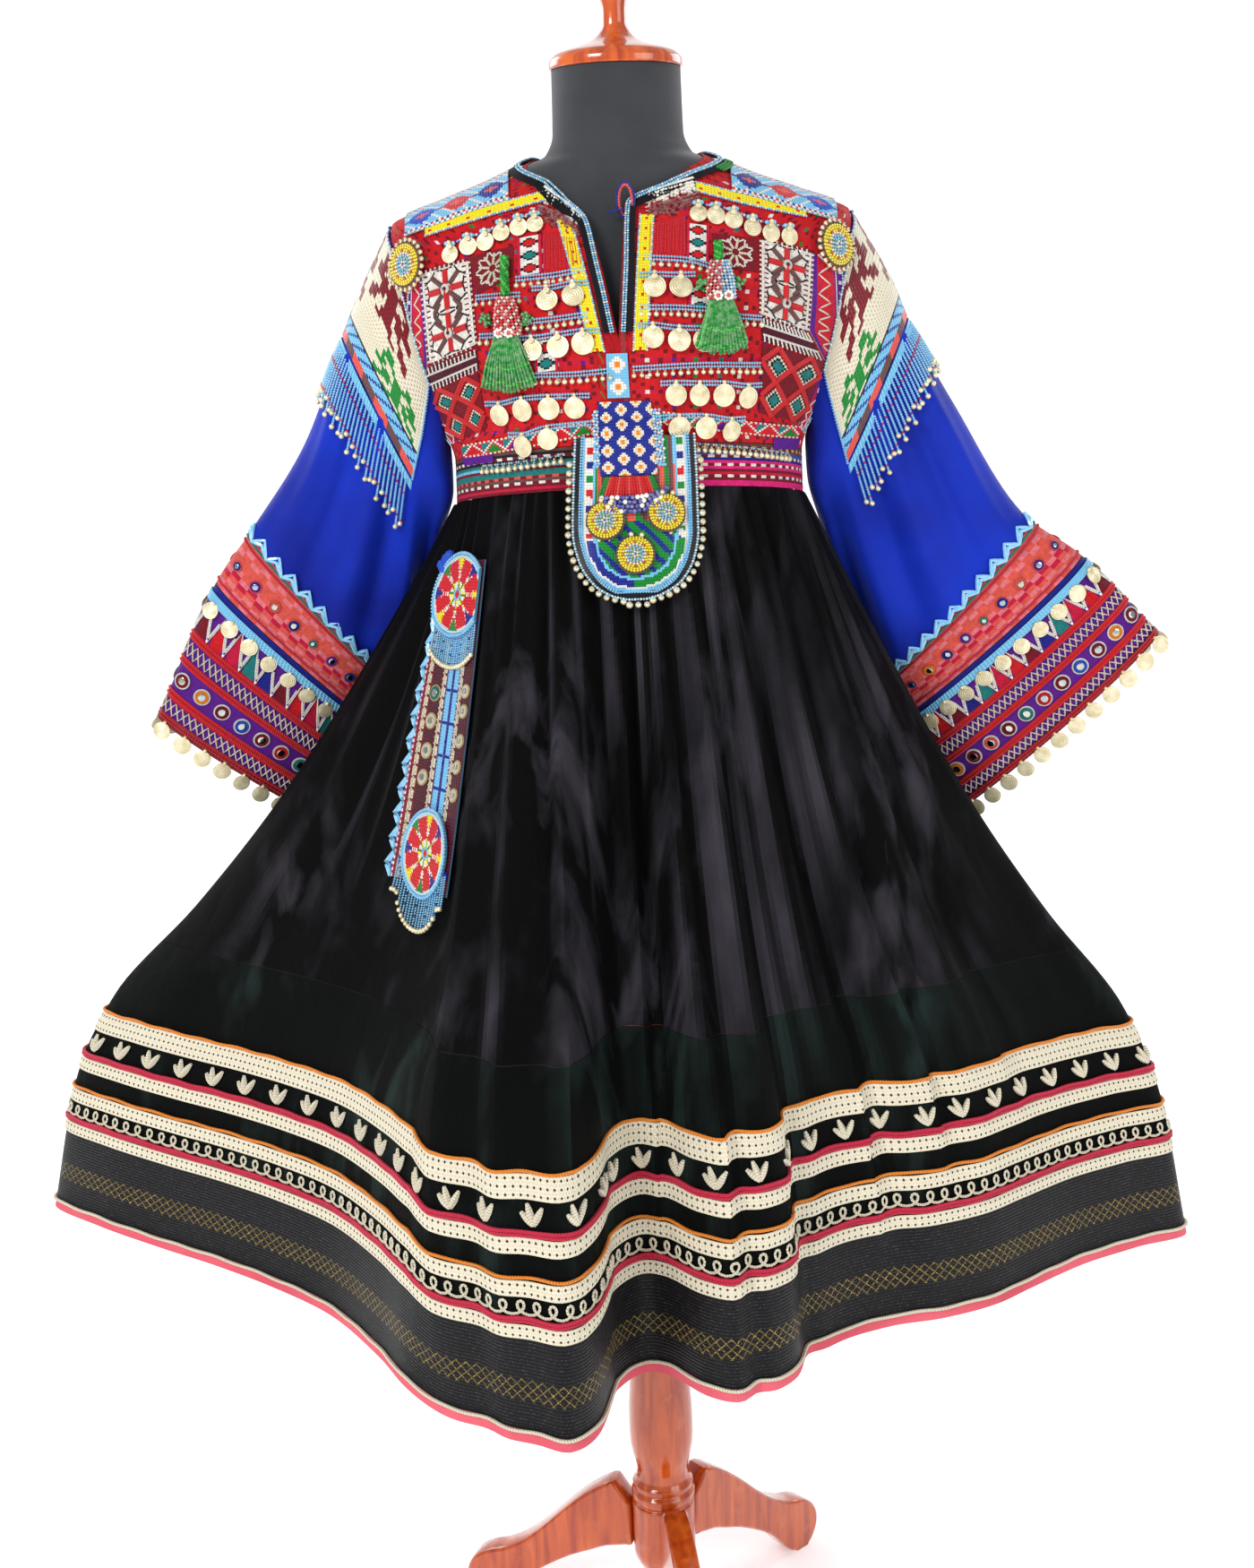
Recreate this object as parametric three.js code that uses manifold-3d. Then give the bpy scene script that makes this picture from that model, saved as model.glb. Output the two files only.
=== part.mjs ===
// Kuchi dress on a dress form. Millimetres, +Z up, the front of the dress faces -Y.
// Cloth is built as thin walls on named surfaces, and what lies on a cloth is made
// from the same surface, lifted off it.
import * as THREE from 'three';
import * as BufferGeometryUtils from 'three/addons/utils/BufferGeometryUtils.js';
import Module from 'manifold-3d';

const wasm = await Module();
wasm.setup();

// Driving dimensions
const CLOTH = 1.8;
const COIN_BRAID = 1.8;
const COIN_THICKNESS = 0.9;
const COIN_SIDES = 6;
const SLEEVE_CLOTH = 1.4;
const BRAID = 1.2;
const SEAM = 0.3;
const LIFT = 0.4;
const NECKBAND_LIFT = 1.84;
const COIN_BRAID_LIFT = 0.8;
const ARMHOLE_GAP = 0.9;
const BINDING_EXTRA = 0.6;
const WAIST_RISE = 20;
const WAIST_Z = 1182;
const BAND_HEIGHT = 38;
const NECK_RADIUS = 58;
const CAP_Z = 1558.4;
const CAP_RADIUS = 59;
const FORM_FOOT_Z = 880;
const POST_RADIUS = 24;
const HUB_RADIUS = 32.5;
const LEG_THICKNESS = 27;
const LEG_TURNS = [-78, 42, 162];

const COLOURS = {
  velvet: '#15121a',
  velvetGreen: '#0e1513',
  lurex: '#1b1a20',
  cream: '#e8dfc2',
  pink: '#e0707c',
  embroidery: '#b3252f',
  waistband: '#7a3b3a',
  black: '#17161a',
  yellow: '#e5cf2e',
  lightBlue: '#7fc0e4',
  white: '#ece6da',
  navy: '#1c2f86',
  green: '#157a34',
  silver: '#c9bf9c',
  royal: '#1427a5',
  coral: '#d5605c',
  cuff: '#8e1f45',
  form: '#2a2c31',
  wood: '#b9481c',
};

// Waist to hem: share of the way out that the skirt has spread at each share of its length
const SPREAD = [
  { along: 0, out: 0 },
  { along: 0.2, out: 0.2 },
  { along: 0.4, out: 0.42 },
  { along: 0.55, out: 0.62 },
  { along: 0.68, out: 0.82 },
  { along: 0.8, out: 0.92 },
  { along: 1, out: 1 },
];

// Hem seen from above: turn from the front centre, and where the cloth that starts there ends
const HEM = [
  { turn: -90, x: -599, y: -1, z: 500 },
  { turn: -84, x: -543, y: -52, z: 500 },
  { turn: -77.5, x: -474, y: -89, z: 492 },
  { turn: -71, x: -417, y: -121, z: 488 },
  { turn: -65, x: -356, y: -158, z: 482 },
  { turn: -59, x: -296, y: -205, z: 476 },
  { turn: -53, x: -246, y: -276, z: 474 },
  { turn: -47.5, x: -215, y: -330, z: 472 },
  { turn: -43, x: -188, y: -354, z: 464 },
  { turn: -38, x: -150, y: -384, z: 462 },
  { turn: -31, x: -105, y: -402, z: 460 },
  { turn: -24, x: -74, y: -412, z: 458 },
  { turn: -18, x: -52, y: -384, z: 458 },
  { turn: -13, x: -40, y: -330, z: 460 },
  { turn: -7, x: -16, y: -296, z: 460 },
  { turn: -1, x: 8, y: -302, z: 460 },
  { turn: 5, x: 38, y: -337, z: 460 },
  { turn: 11, x: 68, y: -349, z: 460 },
  { turn: 18, x: 108, y: -322, z: 460 },
  { turn: 26, x: 152, y: -260, z: 460 },
  { turn: 34, x: 203, y: -235, z: 462 },
  { turn: 43, x: 256, y: -222, z: 462 },
  { turn: 52, x: 307, y: -200, z: 462 },
  { turn: 60, x: 344, y: -172, z: 462 },
  { turn: 70, x: 403, y: -127, z: 461 },
  { turn: 80, x: 462, y: -94, z: 460 },
  { turn: 90, x: 519, y: -60, z: 458 },
  { turn: 99, x: 474, y: 2, z: 458 },
  { turn: 109, x: 430, y: 36, z: 458 },
  { turn: 119, x: 368, y: 96, z: 460 },
  { turn: 129, x: 322, y: 168, z: 462 },
  { turn: 139, x: 248, y: 204, z: 462 },
  { turn: 148, x: 212, y: 276, z: 464 },
  { turn: 157, x: 138, y: 300, z: 466 },
  { turn: 166, x: 92, y: 362, z: 466 },
  { turn: 175, x: 24, y: 342, z: 468 },
  { turn: 184, x: -28, y: 386, z: 468 },
  { turn: 193, x: -98, y: 346, z: 470 },
  { turn: 202, x: -150, y: 366, z: 472 },
  { turn: 212, x: -214, y: 290, z: 476 },
  { turn: 222, x: -282, y: 242, z: 480 },
  { turn: 232, x: -352, y: 160, z: 484 },
  { turn: 242, x: -418, y: 124, z: 489 },
  { turn: 252, x: -480, y: 64, z: 493 },
  { turn: 262, x: -545, y: 40, z: 498 },
];

// The broad pleat on the wearer's right front stands proud of the cloth beside it
const PLEAT_SIDE = [
  { turn: -100, rise: 0 },
  { turn: -47.5, rise: 0 },
  { turn: -43, rise: 1 },
  { turn: -31, rise: 0.7 },
  { turn: -13, rise: 0 },
  { turn: 280, rise: 0 },
];
const PLEAT_RISE = [
  { along: 0, rise: 0 },
  { along: 0.07, rise: 7 },
  { along: 0.25, rise: 16 },
  { along: 0.55, rise: 20 },
  { along: 0.85, rise: 8 },
  { along: 1, rise: 0 },
];
const GATHER_HEIGHT = [
  { along: 0, height: 3.4 },
  { along: 0.1, height: 3 },
  { along: 0.3, height: 1.4 },
  { along: 0.5, height: 0.4 },
  { along: 0.6, height: 0 },
];
const GATHER_BEAT = 2.3;

// Level sections of the bodice: half width, depth to the front and to the back
const BODICE = [
  { z: 1170, half: 160, front: 111, back: 100 },
  { z: 1222, half: 159, front: 118, back: 98 },
  { z: 1247, half: 166, front: 122, back: 98 },
  { z: 1300, half: 186, front: 125, back: 100 },
  { z: 1350, half: 200, front: 118, back: 102 },
  { z: 1400, half: 208, front: 96, back: 92 },
  { z: 1432, half: 205, front: 80, back: 80 },
  { z: 1450, half: 160, front: 72, back: 73 },
  { z: 1465, half: 118, front: 69, back: 70 },
  { z: 1490, half: 62, front: 66, back: 66 },
];
// Angle from the centre line at which front and back end, at the side and at the armhole
const ARMHOLE = [
  { z: 1170, turn: 90 },
  { z: 1235, turn: 90 },
  { z: 1260, turn: 77 },
  { z: 1310, turn: 71 },
  { z: 1370, turn: 71 },
  { z: 1410, turn: 77 },
  { z: 1432, turn: 90 },
  { z: 1490, turn: 90 },
];
const ARMHOLE_LOW = 1235;
const ARMHOLE_HIGH = 1432;

// Top edge of the front: share of the way across, with the slit at its middle
const FRONT_TOP = [
  { across: -1, z: 1486 },
  { across: -0.8, z: 1481 },
  { across: -0.34, z: 1462 },
  { across: -0.15, z: 1443 },
  { across: -0.1, z: 1431 },
  { across: -0.025, z: 1327 },
  { across: 0.012, z: 1441 },
  { across: 0.2, z: 1459 },
  { across: 0.4, z: 1471 },
  { across: 0.8, z: 1484 },
  { across: 1, z: 1486 },
];
const BACK_TOP = [
  { across: -1, z: 1486 },
  { across: -0.5, z: 1482 },
  { across: 0.5, z: 1482 },
  { across: 1, z: 1486 },
];

// Sleeve sections: the upper and the lower edge of the flattened sleeve, and its half depth
const SLEEVE_LEFT = [
  { along: 0, outX: -206, outY: 0, outZ: 1427, inX: -161, inY: 0, inZ: 1235, depth: 40 },
  { along: 0.12, outX: -238, outY: 3, outZ: 1373, inX: -163, inY: 8, inZ: 1194, depth: 42 },
  { along: 0.22, outX: -259, outY: 8, outZ: 1330, inX: -179, inY: 44, inZ: 1150, depth: 42 },
  { along: 0.4, outX: -298, outY: 16, outZ: 1243, inX: -196, inY: 84, inZ: 1074, depth: 41 },
  { along: 0.6, outX: -357, outY: 24, outZ: 1161, inX: -218, inY: 116, inZ: 978, depth: 39 },
  { along: 0.71, outX: -394, outY: 30, outZ: 1114, inX: -232, inY: 132, inZ: 930, depth: 38 },
  { along: 1, outX: -462, outY: 40, outZ: 985, inX: -258, inY: 178, inZ: 808, depth: 34 },
];
const SLEEVE_RIGHT = [
  { along: 0, outX: 206, outY: 0, outZ: 1427, inX: 161, inY: 0, inZ: 1235, depth: 40 },
  { along: 0.12, outX: 240, outY: 3, outZ: 1374, inX: 165, inY: 8, inZ: 1194, depth: 42 },
  { along: 0.22, outX: 260, outY: 8, outZ: 1330, inX: 179, inY: 34, inZ: 1150, depth: 42 },
  { along: 0.4, outX: 304, outY: 16, outZ: 1254, inX: 200, inY: 64, inZ: 1078, depth: 41 },
  { along: 0.6, outX: 368, outY: 24, outZ: 1154, inX: 229, inY: 84, inZ: 990, depth: 39 },
  { along: 0.73, outX: 424, outY: 30, outZ: 1113, inX: 251, inY: 98, inZ: 944, depth: 38 },
  { along: 1, outX: 503, outY: 40, outZ: 1033, inX: 306, inY: 112, inZ: 838, depth: 34 },
];
const SLEEVES = {
  left: { rows: SLEEVE_LEFT, side: -1, bandStart: 0.6, bandEnd: 0.71 },
  right: { rows: SLEEVE_RIGHT, side: 1, bandStart: 0.62, bandEnd: 0.735 },
};

const rad = THREE.MathUtils.degToRad;
const deg = THREE.MathUtils.radToDeg;
const lerp = THREE.MathUtils.lerp;
const clamp = THREE.MathUtils.clamp;

/** Even steps from one value to another, both ends included. */
function steps(from, to, count) {
  return Array.from({ length: count + 1 }, (_, i) => lerp(from, to, i / count));
}

/** Smooth reading of a table column that never swings past its rows. */
function curve(rows, key, column) {
  const xs = rows.map((row) => row[key]);
  const ys = rows.map((row) => row[column]);
  const slopes = xs.slice(1).map((x, i) => (ys[i + 1] - ys[i]) / (x - xs[i]));
  const tangents = xs.map((_, i) => {
    const before = slopes[Math.max(i - 1, 0)];
    const after = slopes[Math.min(i, slopes.length - 1)];
    return before * after <= 0 ? 0 : (2 * before * after) / (before + after);
  });
  return (at) => {
    const x = clamp(at, xs[0], xs[xs.length - 1]);
    let i = 0;
    while (i < xs.length - 2 && x > xs[i + 1]) i += 1;
    const width = xs[i + 1] - xs[i];
    const s = (x - xs[i]) / width;
    const rise = ys[i + 1] - ys[i];
    const [early, late] = [tangents[i] * width - rise, tangents[i + 1] * width - rise];
    return ys[i] + rise * s + s * (1 - s) * ((1 - s) * early - s * late);
  };
}

/** Straight reading of a table column from row to row, and on past its ends. */
function polyline(rows, key, column) {
  return (at) => {
    const found = rows.findIndex((row) => row[key] >= at);
    const after = found < 0 ? rows.length - 1 : Math.max(found, 1);
    const [a, b] = [rows[after - 1], rows[after]];
    return lerp(a[column], b[column], (at - a[key]) / (b[key] - a[key]));
  };
}

/** Unit normal of a surface, on the side that its sign names. */
function normalAt(surface, u, v) {
  const alongU = surface.at(u + surface.du, v).sub(surface.at(u - surface.du, v));
  const alongV = surface.at(u, v + surface.dv).sub(surface.at(u, v - surface.dv));
  return alongU.cross(alongV).normalize().multiplyScalar(surface.sign);
}

/** Geometry of numbered points and faces. */
function meshOf(points, faces) {
  const geometry = new THREE.BufferGeometry();
  const flat = points.flatMap((p) => [p.x, p.y, p.z]);
  geometry.setAttribute('position', new THREE.Float32BufferAttribute(flat, 3));
  geometry.setIndex(faces.flat());
  return geometry;
}

/** Moves the end rows of a grid inwards, which leaves half a seam gap on that side. */
function drawIn(grid, distance, columnsToo) {
  const pull = (end, next) => end.addScaledVector(next.clone().sub(end).normalize(), distance);
  for (const column of grid) {
    pull(column[0], column[1]);
    pull(column[column.length - 1], column[column.length - 2]);
  }
  if (!columnsToo) return;
  const last = grid.length - 1;
  grid[0].forEach((p, j) => pull(p, grid[1][j]));
  grid[last].forEach((p, j) => pull(p, grid[last - 1][j]));
}

/** Closed wall on a surface, from its lift to its lift plus its thickness. */
function wall({ surface, us, vs, thickness, lift = -thickness, closed = false, seam = 0, facing = surface }) {
  const rows = vs.length;
  const columns = us.length;
  const grid = us.map((u) => vs.map((v) => surface.at(u, v)));
  if (seam) drawIn(grid, seam / 2, !closed);
  const normals = us.map((u) => vs.map((v) => normalAt(facing, u, v)));
  const layer = (height) =>
    grid.flatMap((column, i) => column.map((p, j) => p.clone().addScaledVector(normals[i][j], height)));
  const points = [...layer(lift + thickness), ...layer(lift)];
  const index = (i, j, side) => side * rows * columns + (i % columns) * rows + j;
  const faces = [];
  const quad = (a, b, c, d) => {
    if (surface.sign > 0) faces.push([a, b, c], [a, c, d]);
    else faces.push([a, c, b], [a, d, c]);
  };
  const spans = closed ? columns : columns - 1;
  for (let i = 0; i < spans; i += 1) {
    for (let j = 0; j < rows - 1; j += 1) {
      quad(index(i, j, 0), index(i + 1, j, 0), index(i + 1, j + 1, 0), index(i, j + 1, 0));
      quad(index(i, j, 1), index(i, j + 1, 1), index(i + 1, j + 1, 1), index(i + 1, j, 1));
    }
    quad(index(i, 0, 0), index(i, 0, 1), index(i + 1, 0, 1), index(i + 1, 0, 0));
    quad(index(i, rows - 1, 0), index(i + 1, rows - 1, 0), index(i + 1, rows - 1, 1), index(i, rows - 1, 1));
  }
  if (!closed) {
    for (let j = 0; j < rows - 1; j += 1) {
      quad(index(0, j, 0), index(0, j + 1, 0), index(0, j + 1, 1), index(0, j, 1));
      const end = columns - 1;
      quad(index(end, j, 0), index(end, j, 1), index(end, j + 1, 1), index(end, j + 1, 0));
    }
  }
  return meshOf(points, faces);
}

/** A closed mesh as a solid that can be joined to others. */
function solidOf(geometry) {
  const bare = new THREE.BufferGeometry();
  bare.setAttribute('position', geometry.getAttribute('position').clone());
  if (geometry.index) bare.setIndex(geometry.index.clone());
  const merged = BufferGeometryUtils.mergeVertices(bare, 1e-3);
  return new wasm.Manifold(
    new wasm.Mesh({
      numProp: 3,
      vertProperties: new Float32Array(merged.getAttribute('position').array),
      triVerts: new Uint32Array(merged.index.array),
    }),
  );
}

/** One body made of pieces that overlap. */
function fuse(geometries) {
  const joined = geometries.map(solidOf).reduce((all, next) => all.add(next));
  const mesh = joined.getMesh();
  const geometry = new THREE.BufferGeometry();
  geometry.setAttribute('position', new THREE.Float32BufferAttribute(mesh.vertProperties, 3));
  geometry.setIndex(new THREE.Uint32BufferAttribute(mesh.triVerts, 1));
  return geometry;
}

/** Turns a geometry's Y axis along a direction and moves its origin to a point. */
function place(geometry, centre, direction) {
  const up = new THREE.Vector3(0, 1, 0);
  geometry.applyQuaternion(new THREE.Quaternion().setFromUnitVectors(up, direction.clone().normalize()));
  geometry.translate(centre.x, centre.y, centre.z);
  return geometry;
}

/** Flat coin that faces along a normal. */
function coin(centre, normal, radius, thickness, sides) {
  return place(new THREE.CylinderGeometry(radius, radius, thickness, sides), centre, normal);
}

/** Three-sided strand from its root to its tip. */
function strand(root, tip, radius) {
  const length = root.distanceTo(tip);
  const middle = root.clone().add(tip).multiplyScalar(0.5);
  return place(new THREE.CylinderGeometry(radius, radius, length, 3), middle, tip.clone().sub(root));
}

/** Turned solid about the vertical axis, from rows of radius and height. */
function turned(rows, segments) {
  const profile = rows.map((row) => new THREE.Vector2(row.radius, row.z));
  const ends = [new THREE.Vector2(0, rows[0].z), ...profile, new THREE.Vector2(0, rows[rows.length - 1].z)];
  return new THREE.LatheGeometry(ends, segments).rotateX(Math.PI / 2);
}

// Bodice surface: turn from the front centre in degrees, and height
const halfWidth = curve(BODICE, 'z', 'half');
const frontDepth = curve(BODICE, 'z', 'front');
const backDepth = curve(BODICE, 'z', 'back');
const armholeTurn = curve(ARMHOLE, 'z', 'turn');

function bodiceAt(turn, z) {
  const c = Math.cos(rad(turn));
  const depth = c > 0 ? frontDepth(z) : backDepth(z);
  return new THREE.Vector3(halfWidth(z) * Math.sin(rad(turn)), -depth * c, z);
}
const bodice = { at: bodiceAt, du: 0.5, dv: 0.5, sign: 1 };

/** Turn at which the front of the bodice passes a distance from the centre line. */
function turnAt(x, z) {
  return deg(Math.asin(clamp(x / halfWidth(z), -1, 1)));
}

/** Waist seam height, higher at the front. */
function waistHeight(turn) {
  const c = Math.cos(rad(turn));
  return WAIST_Z + (c > 0 ? WAIST_RISE * c : (-WAIST_RISE * c) / 3);
}

// Skirt surface: turn at the waist, and share of the length from waist to hem
const hemRing = [
  { ...HEM[HEM.length - 1], turn: HEM[HEM.length - 1].turn - 360 },
  ...HEM,
  { ...HEM[0], turn: HEM[0].turn + 360 },
];
const hemX = polyline(hemRing, 'turn', 'x');
const hemY = polyline(hemRing, 'turn', 'y');
const hemZ = polyline(hemRing, 'turn', 'z');
const spread = curve(SPREAD, 'along', 'out');
const pleatSide = polyline(PLEAT_SIDE, 'turn', 'rise');
const pleatRise = curve(PLEAT_RISE, 'along', 'rise');
const gatherHeight = curve(GATHER_HEIGHT, 'along', 'height');

// Columns of the skirt: one on each hem row, and one more between them where it is gathered
const FOLD_TURNS = HEM.map((row) => row.turn);
const GATHER_TURNS = HEM.flatMap((row, i) => {
  const next = i + 1 < HEM.length ? HEM[i + 1].turn : HEM[0].turn + 360;
  return [row.turn, (row.turn + next) / 2];
});
const GATHERS = GATHER_TURNS.map((turn, i) => ({
  turn,
  height: (i % 2 ? -1 : 1) * (0.7 + 0.3 * Math.sin(i * GATHER_BEAT)),
}));
const gatherWave = curve([...GATHERS, { ...GATHERS[0], turn: GATHERS[0].turn + 360 }], 'turn', 'height');

/** A turn brought into the range of the hem table. */
function wrapTurn(turn) {
  return turn < -90 ? turn + 360 : turn >= 270 ? turn - 360 : turn;
}

function smoothSkirtAt(turn, along) {
  const around = wrapTurn(turn);
  const waistZ = waistHeight(around) - SEAM;
  const waist = bodiceAt(around, waistZ);
  const out = spread(along);
  const side = pleatSide(around) * pleatRise(along);
  return new THREE.Vector3(
    lerp(waist.x, hemX(around), out) + side * Math.sin(rad(around)),
    lerp(waist.y, hemY(around), out) - side * Math.cos(rad(around)),
    lerp(waistZ, hemZ(around), along),
  );
}

function skirtAt(turn, along) {
  const height = gatherWave(wrapTurn(turn)) * gatherHeight(along);
  const p = smoothSkirtAt(turn, along);
  return p.add(new THREE.Vector3(Math.sin(rad(turn)), -Math.cos(rad(turn)), 0).multiplyScalar(height));
}
const smoothSkirt = { at: smoothSkirtAt, du: 1.2, dv: 0.01, sign: -1 };
const skirt = { at: skirtAt, du: 1.2, dv: 0.01, sign: -1 };

/** The columns of a list between two turns, both ends included. */
function turnsBetween(turns, from, to) {
  const inside = turns.flatMap((turn) => [turn, turn + 360]).filter((turn) => turn > from && turn < to);
  return [from, ...inside.sort((a, b) => a - b), to];
}

const model = new THREE.Group();

/** Adds a named piece with its own material. */
function add(name, geometry, colour, roughness = 0.8, metalness = 0) {
  const bare = new THREE.BufferGeometry();
  bare.setAttribute('position', geometry.getAttribute('position').clone());
  if (geometry.index) bare.setIndex(geometry.index.clone());
  const material = new THREE.MeshStandardMaterial({ color: COLOURS[colour], roughness, metalness });
  const mesh = new THREE.Mesh(bare, material);
  mesh.name = name;
  model.add(mesh);
}

// Skirt: velvet pieces above and below the cross seam, border, braid and hem binding
const CROSS_SEAM = 0.6;
const UPPER_BRAID = [0.7, 0.786];
const LOWER_BRAID = [0.811, 0.88];
const BORDER_END = 0.985;
const UPPER_ROWS = [0, 0.08, 0.25, 0.43, CROSS_SEAM];
const LOWER_ROWS = [CROSS_SEAM, ...UPPER_BRAID, LOWER_BRAID[1]];
const SKIRT_HALVES = { front: [-90, 90], back: [90, 270] };

for (const [half, [from, to]] of Object.entries(SKIRT_HALVES)) {
  const cloth = { surface: skirt, facing: smoothSkirt, thickness: CLOTH, seam: SEAM };
  const upper = { ...cloth, us: turnsBetween(GATHER_TURNS, from, to), vs: UPPER_ROWS };
  const lower = { ...cloth, us: turnsBetween(FOLD_TURNS, from, to), vs: LOWER_ROWS };
  add(`skirt_upper_${half}`, wall(upper), 'velvet', 0.9);
  add(`skirt_lower_${half}`, wall(lower), 'velvetGreen', 0.9);
}

/** A full ring of the skirt between two shares of its length. */
function skirtRing(vs, lift, thickness, seam) {
  return wall({ surface: smoothSkirt, us: FOLD_TURNS, vs, lift, thickness, closed: true, seam });
}
add('skirt_border', skirtRing([LOWER_BRAID[1], BORDER_END], -CLOTH, CLOTH, SEAM), 'lurex', 0.6);
add('hem_binding', skirtRing([BORDER_END, 1], -CLOTH, CLOTH + BINDING_EXTRA, SEAM), 'pink', 0.8);
add('braid_upper', skirtRing(UPPER_BRAID, LIFT, BRAID, 0), 'cream', 0.8);
add('braid_lower', skirtRing(LOWER_BRAID, LIFT, BRAID, SEAM), 'cream', 0.8);

// Bodice front, back and waistband
const FRONT_ACROSS = [
  -1, -0.9, -0.8, -0.68, -0.56, -0.45, -0.34, -0.24, -0.15, -0.1, -0.025,
  0.012, 0.1, 0.2, 0.3, 0.4, 0.5, 0.6, 0.7, 0.8, 0.9, 1,
];
const SHOULDER_TIP = 1432;
const NECK_TOP = 1486;
const BODICE_LEVELS = [
  { up: 0, z: 1217 },
  { up: 0.25, z: 1285 },
  { up: 0.45, z: 1345 },
  { up: 0.65, z: 1400 },
  { up: 0.78, z: SHOULDER_TIP },
  { up: 0.86, z: 1450 },
  { up: 0.93, z: 1468 },
  { up: 1, z: NECK_TOP },
];
const levelAt = polyline(BODICE_LEVELS, 'up', 'z');
const BACK_COLUMNS = 14;

/** Surface across one half of the bodice, from the waistband up to that half's top edge. */
function bodiceHalf(centreTurn, topRows) {
  const topZ = polyline(topRows, 'across', 'z');
  return {
    at: (across, up) => {
      const low = waistHeight(centreTurn + 90 * across) + BAND_HEIGHT;
      const top = topZ(across);
      const level = levelAt(up);
      const reaches = top > SHOULDER_TIP;
      const stretch = (z, from, to, newFrom, newTo) => lerp(newFrom, newTo, (z - from) / (to - from));
      const lower = stretch(level, BODICE_LEVELS[0].z, SHOULDER_TIP, low, SHOULDER_TIP);
      const upper = stretch(level, SHOULDER_TIP, NECK_TOP, SHOULDER_TIP, top);
      const short = stretch(level, BODICE_LEVELS[0].z, NECK_TOP, low, top);
      const z = reaches ? (level < SHOULDER_TIP ? lower : upper) : short;
      return bodiceAt(centreTurn + across * armholeTurn(z), z);
    },
    du: 0.004,
    dv: 0.004,
    sign: 1,
  };
}
const bodiceWall = { thickness: CLOTH, seam: SEAM, vs: BODICE_LEVELS.map((row) => row.up) };

function addBodiceHalf(name, centreTurn, topRows, us) {
  const half = bodiceHalf(centreTurn, topRows);
  add(name, wall({ ...bodiceWall, surface: half, us }), 'embroidery', 0.85);
}
addBodiceHalf('bodice_front', 0, FRONT_TOP, FRONT_ACROSS);
addBodiceHalf('bodice_back', 180, BACK_TOP, steps(-1, 1, BACK_COLUMNS));

const BAND_TURNS = steps(-90, 270, 32).slice(0, -1);
const band = {
  at: (turn, up) => bodiceAt(turn, lerp(waistHeight(turn), waistHeight(turn) + BAND_HEIGHT, up)),
  du: 1,
  dv: 0.02,
  sign: 1,
};
const bandWall = { surface: band, us: BAND_TURNS, vs: [0, 1], thickness: CLOTH, closed: true, seam: SEAM };
add('waistband', wall(bandWall), 'waistband', 0.8);

/** Surface of a ribbon on the bodice: share along its path, and millimetres to its left. */
function ribbonOn(path) {
  const share = path.map((p, i) => ({ s: i / (path.length - 1), turn: p[0], z: p[1] }));
  const turn = curve(share, 's', 'turn');
  const z = curve(share, 's', 'z');
  const centre = (s) => bodiceAt(turn(s), z(s));
  const at = (s, offset) => {
    const along = centre(Math.min(s + 0.01, 1)).sub(centre(Math.max(s - 0.01, 0))).normalize();
    const side = normalAt(bodice, turn(s), z(s)).cross(along).normalize();
    const perTurn = bodiceAt(turn(s) + 0.5, z(s)).sub(bodiceAt(turn(s) - 0.5, z(s)));
    const perZ = bodiceAt(turn(s), z(s) + 0.5).sub(bodiceAt(turn(s), z(s) - 0.5));
    const turnShift = (offset * side.dot(perTurn)) / perTurn.lengthSq();
    const zShift = (offset * side.dot(perZ)) / perZ.lengthSq();
    return bodiceAt(turn(s) + turnShift, z(s) + zShift);
  };
  return { at, du: 0.01, dv: 0.5, sign: 1 };
}

/** Path points on the front, from distances across and heights. */
function frontPath(points) {
  return points.map(([x, z]) => [turnAt(x, z), z]);
}

// Neckband: up one side of the slit, round the neck, and down the other side
const NECK_PATH = [
  ...frontPath([[-9, 1334], [-19, 1384], [-30, 1430], [-44, 1445], [-58, 1460]]),
  [-74, 1478], [-104, 1484], [-140, 1482], [-180, 1481], [-220, 1482], [-256, 1484], [-286, 1478],
];
const NECK_PATH_END = frontPath([[56, 1464], [38, 1457], [4, 1440], [0, 1384], [-4, 1334]])
  .map(([turn, z]) => [turn - 360, z]);
const neckband = ribbonOn([...NECK_PATH, ...NECK_PATH_END]);
const neckGrid = { surface: neckband, us: steps(0, 1, 40), vs: [1, 9.5] };
add('neckband', wall({ ...neckGrid, lift: NECKBAND_LIFT, thickness: BRAID }), 'black');

/** Braid along a path on the front. */
function addStrip(name, points, width, colour, lift = LIFT, count = 6) {
  const us = steps(0, 1, count);
  const surface = ribbonOn(frontPath(points));
  const vs = [-width / 2, width / 2];
  add(name, wall({ surface, us, vs, lift, thickness: BRAID }), colour);
}
addStrip('slit_braid_left', [[-49, 1428], [-37, 1380], [-24, 1318]], 11, 'yellow');
addStrip('slit_braid_right', [[22, 1430], [17, 1380], [12, 1318]], 11, 'yellow');

/** Row of coins that hangs from a braid; the braid passes through the given points. */
function coinRow({ path, coins, radius, drop, width, lift, count }) {
  const surface = ribbonOn(frontPath(path));
  const braid = wall({
    surface, us: steps(0, 1, count), vs: [-width / 2, width / 2], lift, thickness: COIN_BRAID,
  });
  const discs = coins.map(([x, z]) => {
    const turn = turnAt(x, z);
    const normal = normalAt(bodice, turn, z - drop / 2);
    const centre = bodiceAt(turn, z - drop).addScaledVector(normal, lift + COIN_BRAID / 2);
    return coin(centre, normal, radius, COIN_THICKNESS, COIN_SIDES);
  });
  return fuse([braid, ...discs]);
}

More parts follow.
